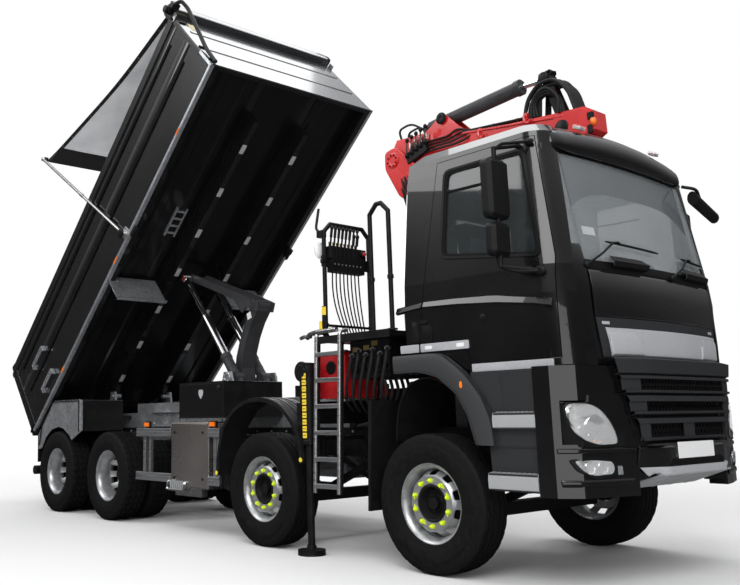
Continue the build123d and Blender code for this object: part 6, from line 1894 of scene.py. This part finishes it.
def make_stand():
    grips = Piece()
    sticks = Piece()
    labels = Piece()
    for k in range(8):
        y = -1130 + k * 46
        short = k > 5
        top = 2800 if short else 2850
        sticks.tube([(STAND_X + 8, y, 2668), (STAND_X + 40, y, top)], 7, 8)
        grips.ball((STAND_X + 41, y, top + 8), (18, 17, 22), 8, 12)
        grips.tube([(STAND_X + 26, y, top - 78), (STAND_X + 40, y, top)], 13, 10)
        labels.box(STAND_X + 6, STAND_X + 12, y - 17, y + 17, 2684, 2732)
    sticks.make("lever_sticks", stainless, "chassis", "stainless")
    grips.make("lever_grips", black_plastic, "chassis", "dark_plastic")
    labels.make("lever_labels", brass, "chassis", "chassis_paint", bevel=2)
    block = Piece()
    block.box(STAND_X - 50, STAND_X + 66, -1172, -732, 2574, 2686)
    for k in range(9):
        y = -1160 + k * 52
        block.box(STAND_X + 60, STAND_X + 74, y - 3, y + 3, 2580, 2680)
    block.make("valve_body", chassis_paint, "chassis", "chassis_paint", bevel=5)
    spools = Piece()
    for k in range(8):
        y = -1130 + k * 46
        spools.lathe([(0, 19), (4, 21), (96, 21), (100, 17), (118, 16), (118, 0.02)],
                     (STAND_X + 34, y, 2570), axis=(0, 0, -1),
                     steps=14)
        spools.lathe([(0, 10), (14, 10), (18, 7), (18, 0.02)], (STAND_X + 54, y, 2520), axis=(1, 0, 0),
                     steps=6)
    spools.make("valve_spools", galvanised, "chassis", "galvanised")
    plate = Piece()
    for y in (-1204, -640):
        plate.lathe([(0, 12), (10, 12), (12, 8), (12, 0.02)], (STAND_X + 16, y, 2560), axis=(1, 0, 0),
                    steps=12)
        plate.box(STAND_X - 20, STAND_X + 20, y - 24, y + 24, 2530, 2566)
    plate.lathe([(0, 30), (30, 30), (36, 24), (36, 0.02)], (STAND_X + 60, -786, 2640), axis=(1, 0, 0),
                steps=20)
    plate.make("valve_clamps", black_plastic, "chassis", "dark_plastic", bevel=2)
    stop = Piece()
    stop.lathe([(0, 18), (12, 18), (16, 14), (16, 0.02)], (STAND_X + 96, -786, 2640), axis=(1, 0, 0),
               steps=18)
    stop.make("stop_button", red_paint, "chassis", "crane_paint")
    cables = Piece()
    for k in range(8):
        y = -1130 + k * 46
        end_y = -1000 + k * 34
        path = [(STAND_X + 34, y, 2452)]
        for i in range(1, 9):
            t = i / 8
            bow = math.sin(math.pi * t) * (-26 + k * 3)
            path.append((STAND_X + 34 + 30 * t, mix(y, end_y, t * t) + bow, mix(2452, PLATFORM_Z + 2, t)))
        cables.tube(path, 6.5, 8)
    cables.make("stand_cables", hose_rubber, "chassis", "dark_plastic")
    clamps = Piece()
    for y in (-1195, -630):
        for z in (PLATFORM_Z + 4, PLATFORM_Z + 100, 2540):
            clamps.lathe([(-14, 27), (14, 27), (14, 20.5), (-14, 20.5)], (STAND_X, y, z + 14), axis="z",
                         steps=20, closed=True)
    for x in (-545, -330):
        clamps.lathe([(-4, 44), (8, 44), (8, 20.5), (-4, 20.5)], (ax(x), -1195, PLATFORM_Z + 5), axis="z",
                     steps=20, closed=True)
        clamps.lathe([(-16, 27), (16, 27), (16, 20.5), (-16, 20.5)], (ax(x), -1195, 2300), axis="z",
                     steps=20, closed=True)
    clamps.make("stand_clamps", chassis_paint, "chassis", "chassis_paint", bevel=2)
    bent = Piece()
    bent.tube(rounded([(ax(-1240), -1150, 3060), (ax(-1240), -1190, 2870), (ax(-1190), -1200, 2826),
                       (STAND_X - 14, -1196, 2812)],
                      40), 13, 10)
    bent.box(ax(-1200), STAND_X + 10, -1222, -1170, 2770, 2834)
    bent.make("stand_aerial", black_plastic, "chassis", "dark_plastic", bevel=3)
    lamp = Piece()
    lamp.ball((ax(-1205), -1180, 2660), (34, 60, 78), 10, 16)
    lamp.make("work_lamp", plate_white, "chassis", "lamp_lens")
    plates = Piece()
    plates.box(STAND_X - 22, STAND_X + 40, -1222, -1216, 1880, 2140)
    plates.make("stand_side_plate", chassis_paint, "chassis", "chassis_paint", bevel=2)
    marks = Piece()
    marks.box(STAND_X - 16, STAND_X + 34, -1225, -1222.5, 2060, 2132)
    marks.box(STAND_X - 62, STAND_X - 24, -1222, -1206, 1900, 2010)
    marks.make("stand_yellow_plates", yellow_mark, "chassis", "chassis_paint", bevel=2)


def make_platform():
    treads = Piece()
    for i in range(16):
        x = ax(-1180 + i * 52)
        treads.box(x - 4, x + 4, -1220, -500, PLATFORM_Z + 0.5, PLATFORM_Z + 6)
    for j in range(9):
        y = -1200 + j * 84
        treads.box(ax(-1200), ax(-350), y - 3, y + 3, PLATFORM_Z + 0.5, PLATFORM_Z + 4)
    treads.box(ax(-1212), ax(-330), -1238, -1234, PLATFORM_Z - 56, PLATFORM_Z + 10)
    treads.make("platform_treads", chassis_paint, "chassis", "chassis_paint", bevel=1)
    ladder = Piece()
    for x in (-1275, -975):
        ladder.tube(rounded([(ax(x), -1238, 528), (ax(x + 62), -1238, 1900), (ax(x + 62), -1150, 1912)], 40),
                    18, 12)
    for step in range(6):
        z = 570 + step * 225
        lean = (z - 530) / 1320 * 60
        ladder.box(ax(-1275) + lean, ax(-975) + lean, -1252, -1196, z + 26, z + 34)
        ladder.box(ax(-1275) + lean, ax(-975) + lean, -1256, -1248, z - 2, z + 34)
        for k in range(9):
            x = ax(-1255) + lean + k * 32
            ladder.box(x, x + 14, -1246, -1204, z + 34, z + 37)
    ladder.make("ladder", aluminium, "chassis", "aluminium", bevel=2)
    rail = Piece()
    rail.tube(rounded([(ax(-1400), -1180, 1880), (ax(-1330), -1210, 1905), (ax(-1210), -1236, 1912),
                       (ax(-950), -1236, 1916)],
                      30), 22, 12)
    rail.tube(rounded([(ax(-1480), -1190, 1880), (ax(-1420), -1200, 1890), (ax(-1330), -1200, 1884)], 20),
              17, 10)
    rail.make("step_top_rail", stainless, "chassis", "stainless")
    ring = smooth_outline([(ax(-1366), 1324), (ax(-994), 1324), (ax(-994), 1751), (ax(-1366), 1751)], 62, 5)
    hole = smooth_outline([(ax(-1361), 1329), (ax(-999), 1329), (ax(-999), 1746), (ax(-1361), 1746)], 58, 5)
    tank = Piece()
    bands = Piece()
    for y in (-1010, -700):
        torus_of(bands,
                 [[(x, y + d, z) for x, z in line] for line,
                  d in ((ring, -16), (ring, 16), (hole, 16), (hole, -16))])
    bands.make("tank_straps", stainless, "chassis", "stainless")
    tank.lathe([(0, 44), (16, 44), (22, 38), (22, 0.02)], (ax(-1180), -940, 1744), axis="z", steps=24)
    tank.lathe([(0, 60), (8, 60), (14, 52), (14, 0.02)], (ax(-1180), -1100, 1600), axis="y", steps=28,
               turn=-1)
    tank.make("tank_caps", black_plastic, "chassis", "dark_plastic", bevel=2)
    chest = Piece()
    chest.box(ax(-966), ax(-494), -1068, -1060, 1500, 1816)
    for k in range(5):
        x = ax(-930 + k * 96)
        chest.box(x, x + 62, -1086, -1066, 1540, 1640)
        chest.lathe([(0, 20), (26, 20), (30, 15), (30, 0.02)], (x + 31, -1086, 1590), axis="y", steps=16,
                    turn=-1)
    chest.make("valve_chest_cover", chassis_paint, "chassis", "chassis_paint", bevel=4)
    unions = Piece()
    for k in range(6):
        x = ax(-920 + k * 84)
        unions.lathe([(0, 16), (20, 16), (22, 22), (34, 22), (36, 12), (52, 12)],
                     (x, -1060, 1690 + k % 2 * 40), axis="y",
                     steps=6, turn=-1)
    unions.make("chest_unions", galvanised, "chassis", "galvanised")
    labels = Piece()
    for x, z in ((-700, 1762), (-930, 1720), (-800, 1730)):
        labels.box(ax(x), ax(x + 70), -1071, -1068.5, z, z + 42)
    labels.make("chest_labels", brass, "chassis", "chassis_paint", bevel=1)
    lines = Piece()
    for k in range(6):
        x = ax(-900 + k * 84)
        lines.tube(rounded([(x, -1112, 1690 + k % 2 * 40), (x + 20, -1150, 1640), (x - 40, -1150, 1440),
                            (x - 120, -1080, 1300), (x - 180, -940, 1220 - k * 8)], 70, 5), 13, 8)
    for k in range(5):
        y = -1040 + k * 70
        lines.tube(rounded([(ax(-600), y, 1500), (ax(-560), y, 1380), (ax(-640), y, 1210),
                            (ax(-760), y + 30, 1120),
                            (ax(-980), y + 60, 1090)], 80, 5), 14, 8)
    lines.make("chest_hoses", hose_rubber, "chassis", "dark_plastic")


def make_outriggers():
    for name, side in SIDES:
        drum = Piece()
        drum.lathe([(0, 86), (6, 92), (20, 92), (26, 84), (26, 60), (34, 56), (34, 0.02)],
                   (ax(-1425), side * 1226, 1575),
                   axis="y", steps=36, turn=side)
        drum.make(f"leg_drum_{name}", guard_plastic, f"outrigger_{name}", "crane_paint", bevel=2)
        sleeve = Piece()
        sleeve.lathe([(930, 52.5), (936, 60), (966, 60), (972, 54), (1630, 54), (1636, 60), (1650, 60),
                      (1654, 34)],
                     (ax(-1380), side * 1200, 0), axis="z", steps=32)
        sleeve.box(ax(-1500), ax(-1360), *sorted((side * 1128, side * 1148)), 1110, 1310)
        sleeve.make(f"leg_sleeve_{name}", chassis_paint, f"outrigger_{name}", "crane_paint", bevel=2)
        marks = Piece()
        for k in range(10):
            z = 990 + k * 58
            marks.box(ax(-1380) - 26, ax(-1380) + 26, *sorted((side * 1250, side * 1256)), z, z + 46)
        marks.make(f"leg_marks_{name}", yellow_mark, f"outrigger_{name}", "crane_paint", bevel=2)
        scale = Piece()
        for k in range(10):
            z = 990 + k * 58
            scale.box(ax(-1380) - 20, ax(-1380) + 20, *sorted((side * 1256.2, side * 1257.2)), z + 20, z + 25)
        scale.make(f"leg_scale_{name}", chassis_paint, f"outrigger_{name}", "crane_paint")
        hose = Piece()
        for k in range(2):
            hose.tube(rounded([(ax(-1400 - k * 30), side * 1150, 1560),
                               (ax(-1440 - k * 26), side * 1110, 1640),
                               (ax(-1470), side * 1000, 1560), (ax(-1470 - k * 16), side * 960,
                                                                1330)], 60, 5), 12, 8)
        hose.make(f"leg_hoses_{name}", hose_rubber, f"outrigger_{name}", "dark_plastic")
        foot = Piece()
        foot.lathe([(0, 118), (0, 122), (12, 122), (30, 112), (46, 70), (52, 44), (80, 40), (80, 33)],
                   (ax(-1380), side * 1200, 2), axis="z", steps=36)
        foot.make(f"leg_foot_{name}", chassis_paint, f"leg_{name}", "crane_paint", bevel=1)


make_crane()
make_stand()
make_platform()
make_outriggers()

# ---------------------------------------------------------------------------
# Steps, wheel arches, mudguards and the gear between the axles
# ---------------------------------------------------------------------------
ARCH_OUTER = [(-300, 1640), (120, 1640), (200, 1618), (389, 1483), (540, 1304), (615, 1133), (636, 953)]
ARCH_INNER = [(-300, 1500), (-50, 1503), (139, 1458), (315, 1325), (408, 1171), (475, 956)]
GUARD_2 = [(605, 770), (585, 960), (500, 1105), (370, 1240), (190, 1325), (-20, 1357), (-230, 1335),
           (-430, 1255),
           (-590, 1100), (-675, 880), (-697, 620)]
GUARD_4 = [(620, 1040), (600, 1428), (-180, 1428), (-510, 1110), (-575, 850)]
VALANCE_4 = [(690, 1432), (600, 1428), (-180, 1428), (-515, 1105), (-640, 975), (-625, 790), (-498, 806),
             (-370, 958),
             (-197, 1058), (0, 1093), (149, 1073), (330, 989), (407, 925), (705, 1050)]


def flat_curve(points, steps=5):
    """A smooth line in two coordinates through the given corners."""
    return [(p.x, p.y) for p in rounded([(a, b, 0) for a, b in points], 400, steps)]


def resample(points, count):
    total = [0.0]
    for a, b in zip(points, points[1:]):
        total.append(total[-1] + math.dist(a, b))
    out = []
    for k in range(count):
        want = total[-1] * k / (count - 1)
        i = max(j for j in range(len(total)) if total[j] <= want + 1e-6)
        i = min(i, len(points) - 2)
        t = (want - total[i]) / (total[i + 1] - total[i])
        out.append((mix(points[i][0], points[i + 1][0], t), mix(points[i][1], points[i + 1][1], t)))
    return out


def make_steps():
    outer = resample(flat_curve(ARCH_OUTER), 34)
    inner = resample(flat_curve(ARCH_INNER), 34)
    for name, side in SIDES:
        band = Piece()
        sections = []
        for (x0, z0), (x1, z1) in zip(outer, inner):
            def spot(t, out):
                return (ax(mix(x0, x1, t)), side * out, mix(z0, z1, t))
            sections.append([spot(-0.02, 1180), spot(0.03, 1236), spot(0.18, 1243), spot(0.8, 1240),
                             spot(1.0, 1226),
                             spot(1.02, 1180)])
        band.loft(sections)
        band.make(f"arch_band_{name}", arch_grey, "chassis", "dark_plastic", sharp=50)
        panel = Piece()
        panel.prism([(ax(432), 1424), (ax(436), 1478), (ax(983), 1478), (ax(983), 948), (ax(640), 948),
                     (ax(640), 1133),
                     (ax(540), 1304)], "xz", *sorted((side * 1190, side * 1198)))
        # a soft crease and the set-back faces above and below the boards
        panel.loft([[(ax(700), side * (1196 + d), z), (ax(760), side * (1196 + d + 12), z),
                     (ax(985), side * (1196 + d + 14), z),
                     (ax(985), side * 1190, z), (ax(700), side * 1190, z)] for z, d in ((1186, 0), (1300, 4),
                                                                                        (1470, 16))])
        panel.prism([(ax(570), 944), (ax(983), 944), (ax(983), 700), (ax(965), 645), (ax(588), 645),
                     (ax(572), 760)],
                    "xz", *sorted((side * 1180, side * 1189)))
        panel.make(f"step_face_{name}", dark_plastic, "chassis", "dark_plastic", bevel=5)
        boards = Piece()
        for x0, x1, z0, z1 in ((640, 984, 1071, 1180), (576, 976, 650, 765)):
            boards.loft([[(ax(x), side * 1110, z0 + 2), (ax(x), side * 1222, z0 - 1),
                          (ax(x), side * 1239, z0 + 10),
                          (ax(x), side * 1241, z1 - 34), (ax(x), side * 1232, z1 + 1), (ax(x), side * 1196,
                                                                                        z1 + 4),
                          (ax(x), side * 1110, z1 + 4)] for x in (x0 - 8, x0 + 30, x1 - 30, x1 + 2)])
            for k in range(9):
                x = mix(x0 + 20, x1 - 46, k / 8)
                boards.box(ax(x), ax(x + 22), *sorted((side * 1200, side * 1226)), z1 + 3, z1 + 9)
        boards.make(f"step_boards_{name}", board_grey, "chassis", "dark_plastic", bevel=3)
        lamp = Piece()
        lamp.ball((ax(372), side * 1236, 1392), (20, 9, 34), 8, 12)
        lamp.make(f"arch_marker_{name}", orange_lens, "chassis", "lamp_lens")
        lamp_rim = Piece()
        lamp_rim.ball((ax(372), side * 1233, 1392), (30, 8, 46), 8, 14)
        lamp_rim.make(f"arch_marker_rim_{name}", pale_trim, "chassis", "dark_plastic")
        liner = Piece()
        line = resample(flat_curve([(-346, 970), (-330, 1180), (-230, 1400), (-20, 1470), (200, 1400),
                                    (372, 1190), (405, 1120)]), 24)
        liner.loft([[(ax(x), side * 700, z), (ax(x), side * 1180, z), (ax(x * 1.02), side * 1180, z + 8),
                     (ax(x * 1.02), side * 700, z + 8)] for x, z in line])
        liner.make(f"arch_liner_{name}", chassis_paint, "chassis", "dark_plastic", sharp=50)
    skid = Piece()
    skid.loft([[(ax(1458), -540, 747), (ax(1458), 540, 747), (ax(1456), 540, 755), (ax(1456), -540, 755)],
               [(ax(1300), -560, 690), (ax(1300), 560, 690), (ax(1298), 560, 698), (ax(1298), -560, 698)],
               [(ax(1152), -560, 636), (ax(1152), 560, 636), (ax(1150), 560, 644), (ax(1150), -560, 644)]])
    for y in (-360, -120, 120, 360):
        skid.loft([[(ax(x), y - 36, z - 4), (ax(x), y + 36, z - 4), (ax(x), y + 20, z - 12),
                    (ax(x), y - 20, z - 12)]
                   for x, z in ((1430, 740), (1180, 650))])
    skid.make("skid_plate", board_grey, "chassis", "dark_plastic", bevel=3)


def guard_shell(piece, line, axle, y0, y1, lift, ribs):
    path = resample(flat_curve(line, 5), 60)
    middle = sum(x for x, z in path) / len(path)
    for low, high, extra in ribs:
        sections = []
        for x, z in path:
            reach = math.hypot(x - middle, z - WHEEL_Z)
            dx, dz = (x - middle) / reach, (z - WHEEL_Z) / reach
            sections.append([(AXLES[axle] + x + dx * lift, low, z + dz * lift),
                             (AXLES[axle] + x + dx * (lift + extra), mix(low, high, 0.2),
                              z + dz * (lift + extra)),
                             (AXLES[axle] + x + dx * (lift + extra), mix(low, high, 0.8),
                              z + dz * (lift + extra)),
                             (AXLES[axle] + x + dx * lift, high, z + dz * lift),
                             (AXLES[axle] + x - dx * 2, mix(y0, y1, 0.5), z - dz * 2)])
        piece.loft(sections)


def make_guards():
    for name, side in SIDES:
        shell = Piece()
        y0, y1 = sorted((side * 928, side * 1238))
        width = (y1 - y0) / 6
        guard_shell(shell, GUARD_2, 2, y0, y1, 2.0,
                    [(y0 + width * k, y0 + width * (k + 1), 13 if k % 2 == 0 else 8) for k in range(6)])
        path = resample(flat_curve(GUARD_2, 5), 60)
        lip = []
        middle = sum(x for x, z in path) / len(path)
        for x, z in path:
            reach = math.hypot(x - middle, z - WHEEL_Z)
            dx, dz = (x - middle) / reach, (z - WHEEL_Z) / reach
            lip.append([(AXLES[2] + x + dx * 14, side * 1228, z + dz * 14),
                        (AXLES[2] + x + dx * 10, side * 1246, z + dz * 10),
                        (AXLES[2] + x - dx * 26, side * 1246, z - dz * 26), (AXLES[2] + x - dx * 28,
                                                                             side * 1238, z - dz * 28),
                        (AXLES[2] + x - dx * 6, side * 1236, z - dz * 6)])
        shell.loft(lip)
        shell.make(f"guard_2_shell_{name}", guard_plastic, "chassis", "guard_plastic", sharp=40)
        dots = Piece()
        for x, z in ((596, 800), (-694, 640)):
            dots.lathe([(0, 20), (5, 20), (8, 14), (8, 0.02)], (AXLES[2] + x, side * 1246, z), axis="y",
                       steps=20, turn=side)
        dots.make(f"guard_2_dots_{name}", yellow_mark, "chassis", "guard_plastic")
        sheet = Piece()
        sheet.prism([(AXLES[4] + x, z) for x, z in VALANCE_4], "xz", *sorted((side * 1206.5, side * 1212)))
        skin = resample(GUARD_4[1:4], 26)
        sheet.loft([[(AXLES[4] + x + 2, side * 577, z + 2), (AXLES[4] + x + 2, side * 1214, z + 2),
                     (AXLES[4] + x + 4, side * 1214, z + 6), (AXLES[4] + x + 4, side * 577,
                                                              z + 6)] for x, z in skin])
        sheet.box(AXLES[4] + 584, AXLES[4] + 640, *sorted((side * 1190, side * 1216)), 1060, 1440)
        sheet.make(f"guard_4_sheet_{name}", galvanised, "chassis", "galvanised", bevel=2, sharp=30)
        rivets = Piece()
        for k in range(9):
            x = mix(560, -150, k / 8)
            rivets.lathe([(0, 9), (9, 8), (13, 4), (13, 0.02)], (AXLES[4] + x, side * 1190, 1434), axis="z",
                         steps=10)
        for x in (300, 480, -240):
            rivets.lathe([(0, 8), (3, 7), (4, 3), (4, 0.02)], (AXLES[4] + x, side * 1212, 1250), axis="y",
                         steps=10, turn=side)
        rivets.make(f"guard_4_rivets_{name}", chrome, "chassis", "galvanised")
        flap = Piece()
        flap.prism([(AXLES[4] - 640, 980), (AXLES[4] - 600, 980), (AXLES[4] - 600, 620),
                    (AXLES[4] - 622, 618)], "xz",
                   *sorted((side * 700, side * 1212)))
        flap.make(f"rear_flap_{name}", rubber, "chassis", "flap_rubber", bevel=4)


def make_side_gear():
    cover = Piece()
    x0, x1 = ax(-3645), ax(-2945)
    cover.loft([[(x0 - 4, -1206, z), (x0 + 26, -1222, z), (x1 - 30, -1222, z), (x1 + 4, -1206, z),
                 (x1 + 2, -1150, z),
                 (x0, -1150, z)] for z in (470, 1120)])
    cover.prism([(-1222, 1118), (-1208, 1140), (-900, 1140), (-900, 1128), (-1200, 1126)], "yz", x0 + 2,
                x1 - 2)
    cover.make("box_cover", brushed_steel, "chassis", "stainless", bevel=6)
    back = Piece()
    back.box(x0 + 2, x1 - 2, -1200, -702, 462, 1132)
    back.make("box_body", chassis_paint, "chassis", "stainless", bevel=4)
    screws = Piece()
    for x in (x0 + 80, x1 - 80):
        for z in (560, 1030):
            screws.lathe([(0, 15), (4, 15), (8, 10), (8, 0.02)], (x, -1222, z), axis="y", steps=16, turn=-1)
    screws.make("box_screws", chassis_paint, "chassis", "stainless")
    step = Piece()
    step.tube(rounded([(x0 - 6, -1200, 520), (x0 - 6, -1246, 520), (x0 - 6, -1256, 440),
                       (x0 + 320, -1256, 440),
                       (x0 + 320, -1246, 516), (x0 + 320, -1200, 520)], 24), 14, 10)
    step.make("box_step_rail", chrome, "chassis", "stainless")
    slots = Piece()
    for k in range(7):
        slots.prism([(x0 + 24 + k * 40, 448), (x0 + 44 + k * 40, 448), (x0 + 30 + k * 40, 530),
                     (x0 + 12 + k * 40, 530)], "xz",
                    -1240, -1224)
    slots.make("box_step_slots", pale_trim, "chassis", "stainless", bevel=2)
    rails = Piece()
    for side in (-1, 1):
        for x_low, x_high in ((ax(-4380), x0 - 6), (x1 + 6, ax(-2740))):
            for z0 in (505, 985):
                for k in range(3):
                    rails.box(x_low, x_high, *sorted((side * 1196, side * 1224)), z0 + k * 32,
                              z0 + k * 32 + 24)
                rails.box(x_low, x_high, *sorted((side * 1192, side * 1214)), z0, z0 + 90)
        for x in (ax(-4250), ax(-2860)):
            rails.box(x - 24, x + 24, *sorted((side * 1150, side * 1190)), 500, 1080)
    rails.make("guard_rails", aluminium, "chassis", "aluminium", bevel=3)
    tanks = Piece()
    tanks.lathe([(-250, 0.02), (-250, 90), (-220, 116), (220, 116), (250, 90), (250, 0.02)],
                (ax(-3300), -560, 620),
                axis="x", steps=36)
    tanks.make("air_tank", guard_plastic, "chassis", "engine_iron")
    top_box = Piece()
    for side in (-1, 1):
        y0, y1 = sorted((side * 447, side * 1203))
        top_box.box(ax(-3504), ax(-2661), y0, y1, 1537, 1549)
        top_box.box(ax(-3496), ax(-2669), *sorted((side * 1198, side * 1208)), 1190, 1530)
        top_box.box(ax(-3506), ax(-2659), *sorted((side * 1180, side * 1212)), 1176, 1190)
        top_box.lathe([(0, 26), (6, 26), (10, 20), (10, 0.02)], (ax(-2760), side * 1208, 1480), axis="y",
                      steps=20, turn=side)
    top_box.make("cross_box_lid", paint, "chassis", "chassis_paint", bevel=4)
    shield = Piece()
    shield.prism(smooth_outline([(ax(-3120), 1470), (ax(-3040), 1470), (ax(-3040), 1420), (ax(-3080), 1370),
                                 (ax(-3120), 1420)],
                                14, 3), "xz", -1212, -1208.5)
    shield.make("cross_box_badge", silver_trim, "chassis", "chassis_paint", bevel=1)
    markers = Piece()
    for side in (-1, 1):
        for x, z in ((-4180, 1092), (-2880, 1092)):
            markers.box(ax(x - 42), ax(x + 42), *sorted((side * 1190, side * 1216)), z, z + 46)
    markers.make("side_markers", orange_lens, "chassis", "lamp_lens", bevel=5)
    holders = Piece()
    for side in (-1, 1):
        for x in (-4180, -2880):
            holders.box(ax(x - 52), ax(x + 52), *sorted((side * 1170, side * 1196)), 1082, 1150)
    holders.make("marker_holders", black_plastic, "chassis", "dark_plastic", bevel=4)
    plates = Piece()
    for side in (-1, 1):
        y0, y1 = sorted((side * 447, side * 456))
        for x0, x1, z0, z1 in ((-5300, -4950, 1090, 1300), (-4420, -4060, 1000, 1350),
                               (-3950, -3760, 1080, 1400),
                               (-2500, -2200, 1080, 1380)):
            plates.box(ax(x0), ax(x1), y0, y1, z0, z1)
        for x in (-4390, -4100, -5250, -4990):
            for z in (1120, 1220):
                plates.lathe([(0, 14), (10, 14), (14, 9), (14, 0.02)], (ax(x), side * 456, z), axis="y",
                             steps=6, turn=side)
        plates.box(ax(-5305), ax(-4300), *sorted((side * 446, side * 500)), 1256, 1268)
        plates.box(ax(-5305), ax(-4300), *sorted((side * 446, side * 500)), 1082, 1094)
        for x in (-4700, -4560):
            plates.box(ax(x), ax(x + 44), *sorted((side * 455, side * 470)), 1096, 1254)
    plates.make("subframe_plates", galvanised, "chassis", "galvanised", bevel=2)
    bolts = Piece()
    for side in (-1, 1):
        for k in range(26):
            x = ax(-600 - k * 250)
            bolts.lathe([(0, 12), (9, 12), (12, 8), (12, 0.02)], (x, side * 445.5, 1030), axis="y", steps=6,
                        turn=side)
    bolts.make("rail_bolts", galvanised, "chassis", "galvanised")
    lines = Piece()
    for side in (-1, 1):
        for k in range(4):
            lines.tube([(ax(-350), side * (372 - k * 18), 1040 - k * 12),
                        (ax(-7100), side * (372 - k * 18), 1040 - k * 12)], 8, 6)
    for k in range(3):
        lines.tube(rounded([(ax(-4250), -700 - k * 60, 1080), (ax(-4300), -640 - k * 50, 900),
                            (ax(-4250), -560, 760),
                            (ax(-4150), -450, 820)], 80), 10, 8)
    lines.make("air_lines", hose_rubber, "chassis", "dark_plastic")


def make_rear():
    lamps = Piece()
    amber = Piece()
    frames = Piece()
    x = ax(-7262) + 150
    for side in (-1, 1):
        frames.box(x - 60, x - 8, *sorted((side * 640, side * 1060)), 560, 720)
        frames.box(x - 20, x + 60, *sorted((side * 640, side * 700)), 600, 760)
        for k in range(2):
            lamps.box(x - 66, x - 58, *sorted((side * (780 + k * 130), side * (890 + k * 130))), 584, 696)
        amber.box(x - 66, x - 58, *sorted((side * 660, side * 768)), 584, 696)
    frames.make("tail_lamp_frames", black_plastic, "chassis", "dark_plastic", bevel=6)
    lamps.make("tail_lamps", red_paint, "chassis", "lamp_lens", bevel=6)
    amber.make("tail_indicators", orange_lens, "chassis", "lamp_lens", bevel=6)


def make_interior():
    """Sun band across the top of the screen, head lining and curtain edges seen through the glass, a blank
    sticker and the kerb mirror.
    """
    band = Piece()
    sections = []
    for k in range(31):
        y = mix(-862, 862, k / 30)
        drop = 250 + 170 * (abs(y) / 862) ** 4
        z1 = 3052
        z0 = z1 - drop
        sections.append([(ax(front_x(y, z0) - 12), y, z0), (ax(front_x(y, z1) - 12), y, z1),
                         (ax(front_x(y, z1) - 15), y, z1),
                         (ax(front_x(y, z0) - 15), y, z0)])
    band.loft(sections)
    band.make("sun_band", rubber, "chassis", "interior_trim")
    lining = Piece()
    for side in (-1, 1):
        lining.prism([(ax(-40), 3060), (ax(1060), 3060), (ax(1060), 3120), (ax(-40), 3120)], "xz",
                     *sorted((side * 1030, side * 1000)))
    lining.box(ax(-170), ax(900), -960, 960, 3216, 3230)
    lining.make("head_lining", interior, "chassis", "interior_trim", bevel=3)
    sticker = Piece()
    patch(sticker, [(2438, -800, -660, -12), (2500, -800, -664, -12)], columns=3, depth=1.5)
    sticker.make("blank_sticker", plate_white, "chassis", "interior_trim")
    kerb = Piece()
    kerb.loft([[(ax(1215) + 46 * c, mix(924, 1290, t), mix(2960, 2836, t) + 62 * s * (1 - 0.2 * t))
                for c, s in ((math.cos(a), math.sin(a)) for a in [math.radians(30 * q) for q in range(12)])]
               for t in (0, 0.15, 0.5, 0.85, 1)])
    kerb.tube(rounded([(ax(1130), 930, 3080), (ax(1240), 960, 3040), (ax(1220), 1060, 2940)], 40), 14, 8)
    kerb.make("kerb_mirror", black_plastic, "chassis", "black_paint", sharp=60)


make_steps()
make_guards()
make_side_gear()
make_rear()
make_interior()
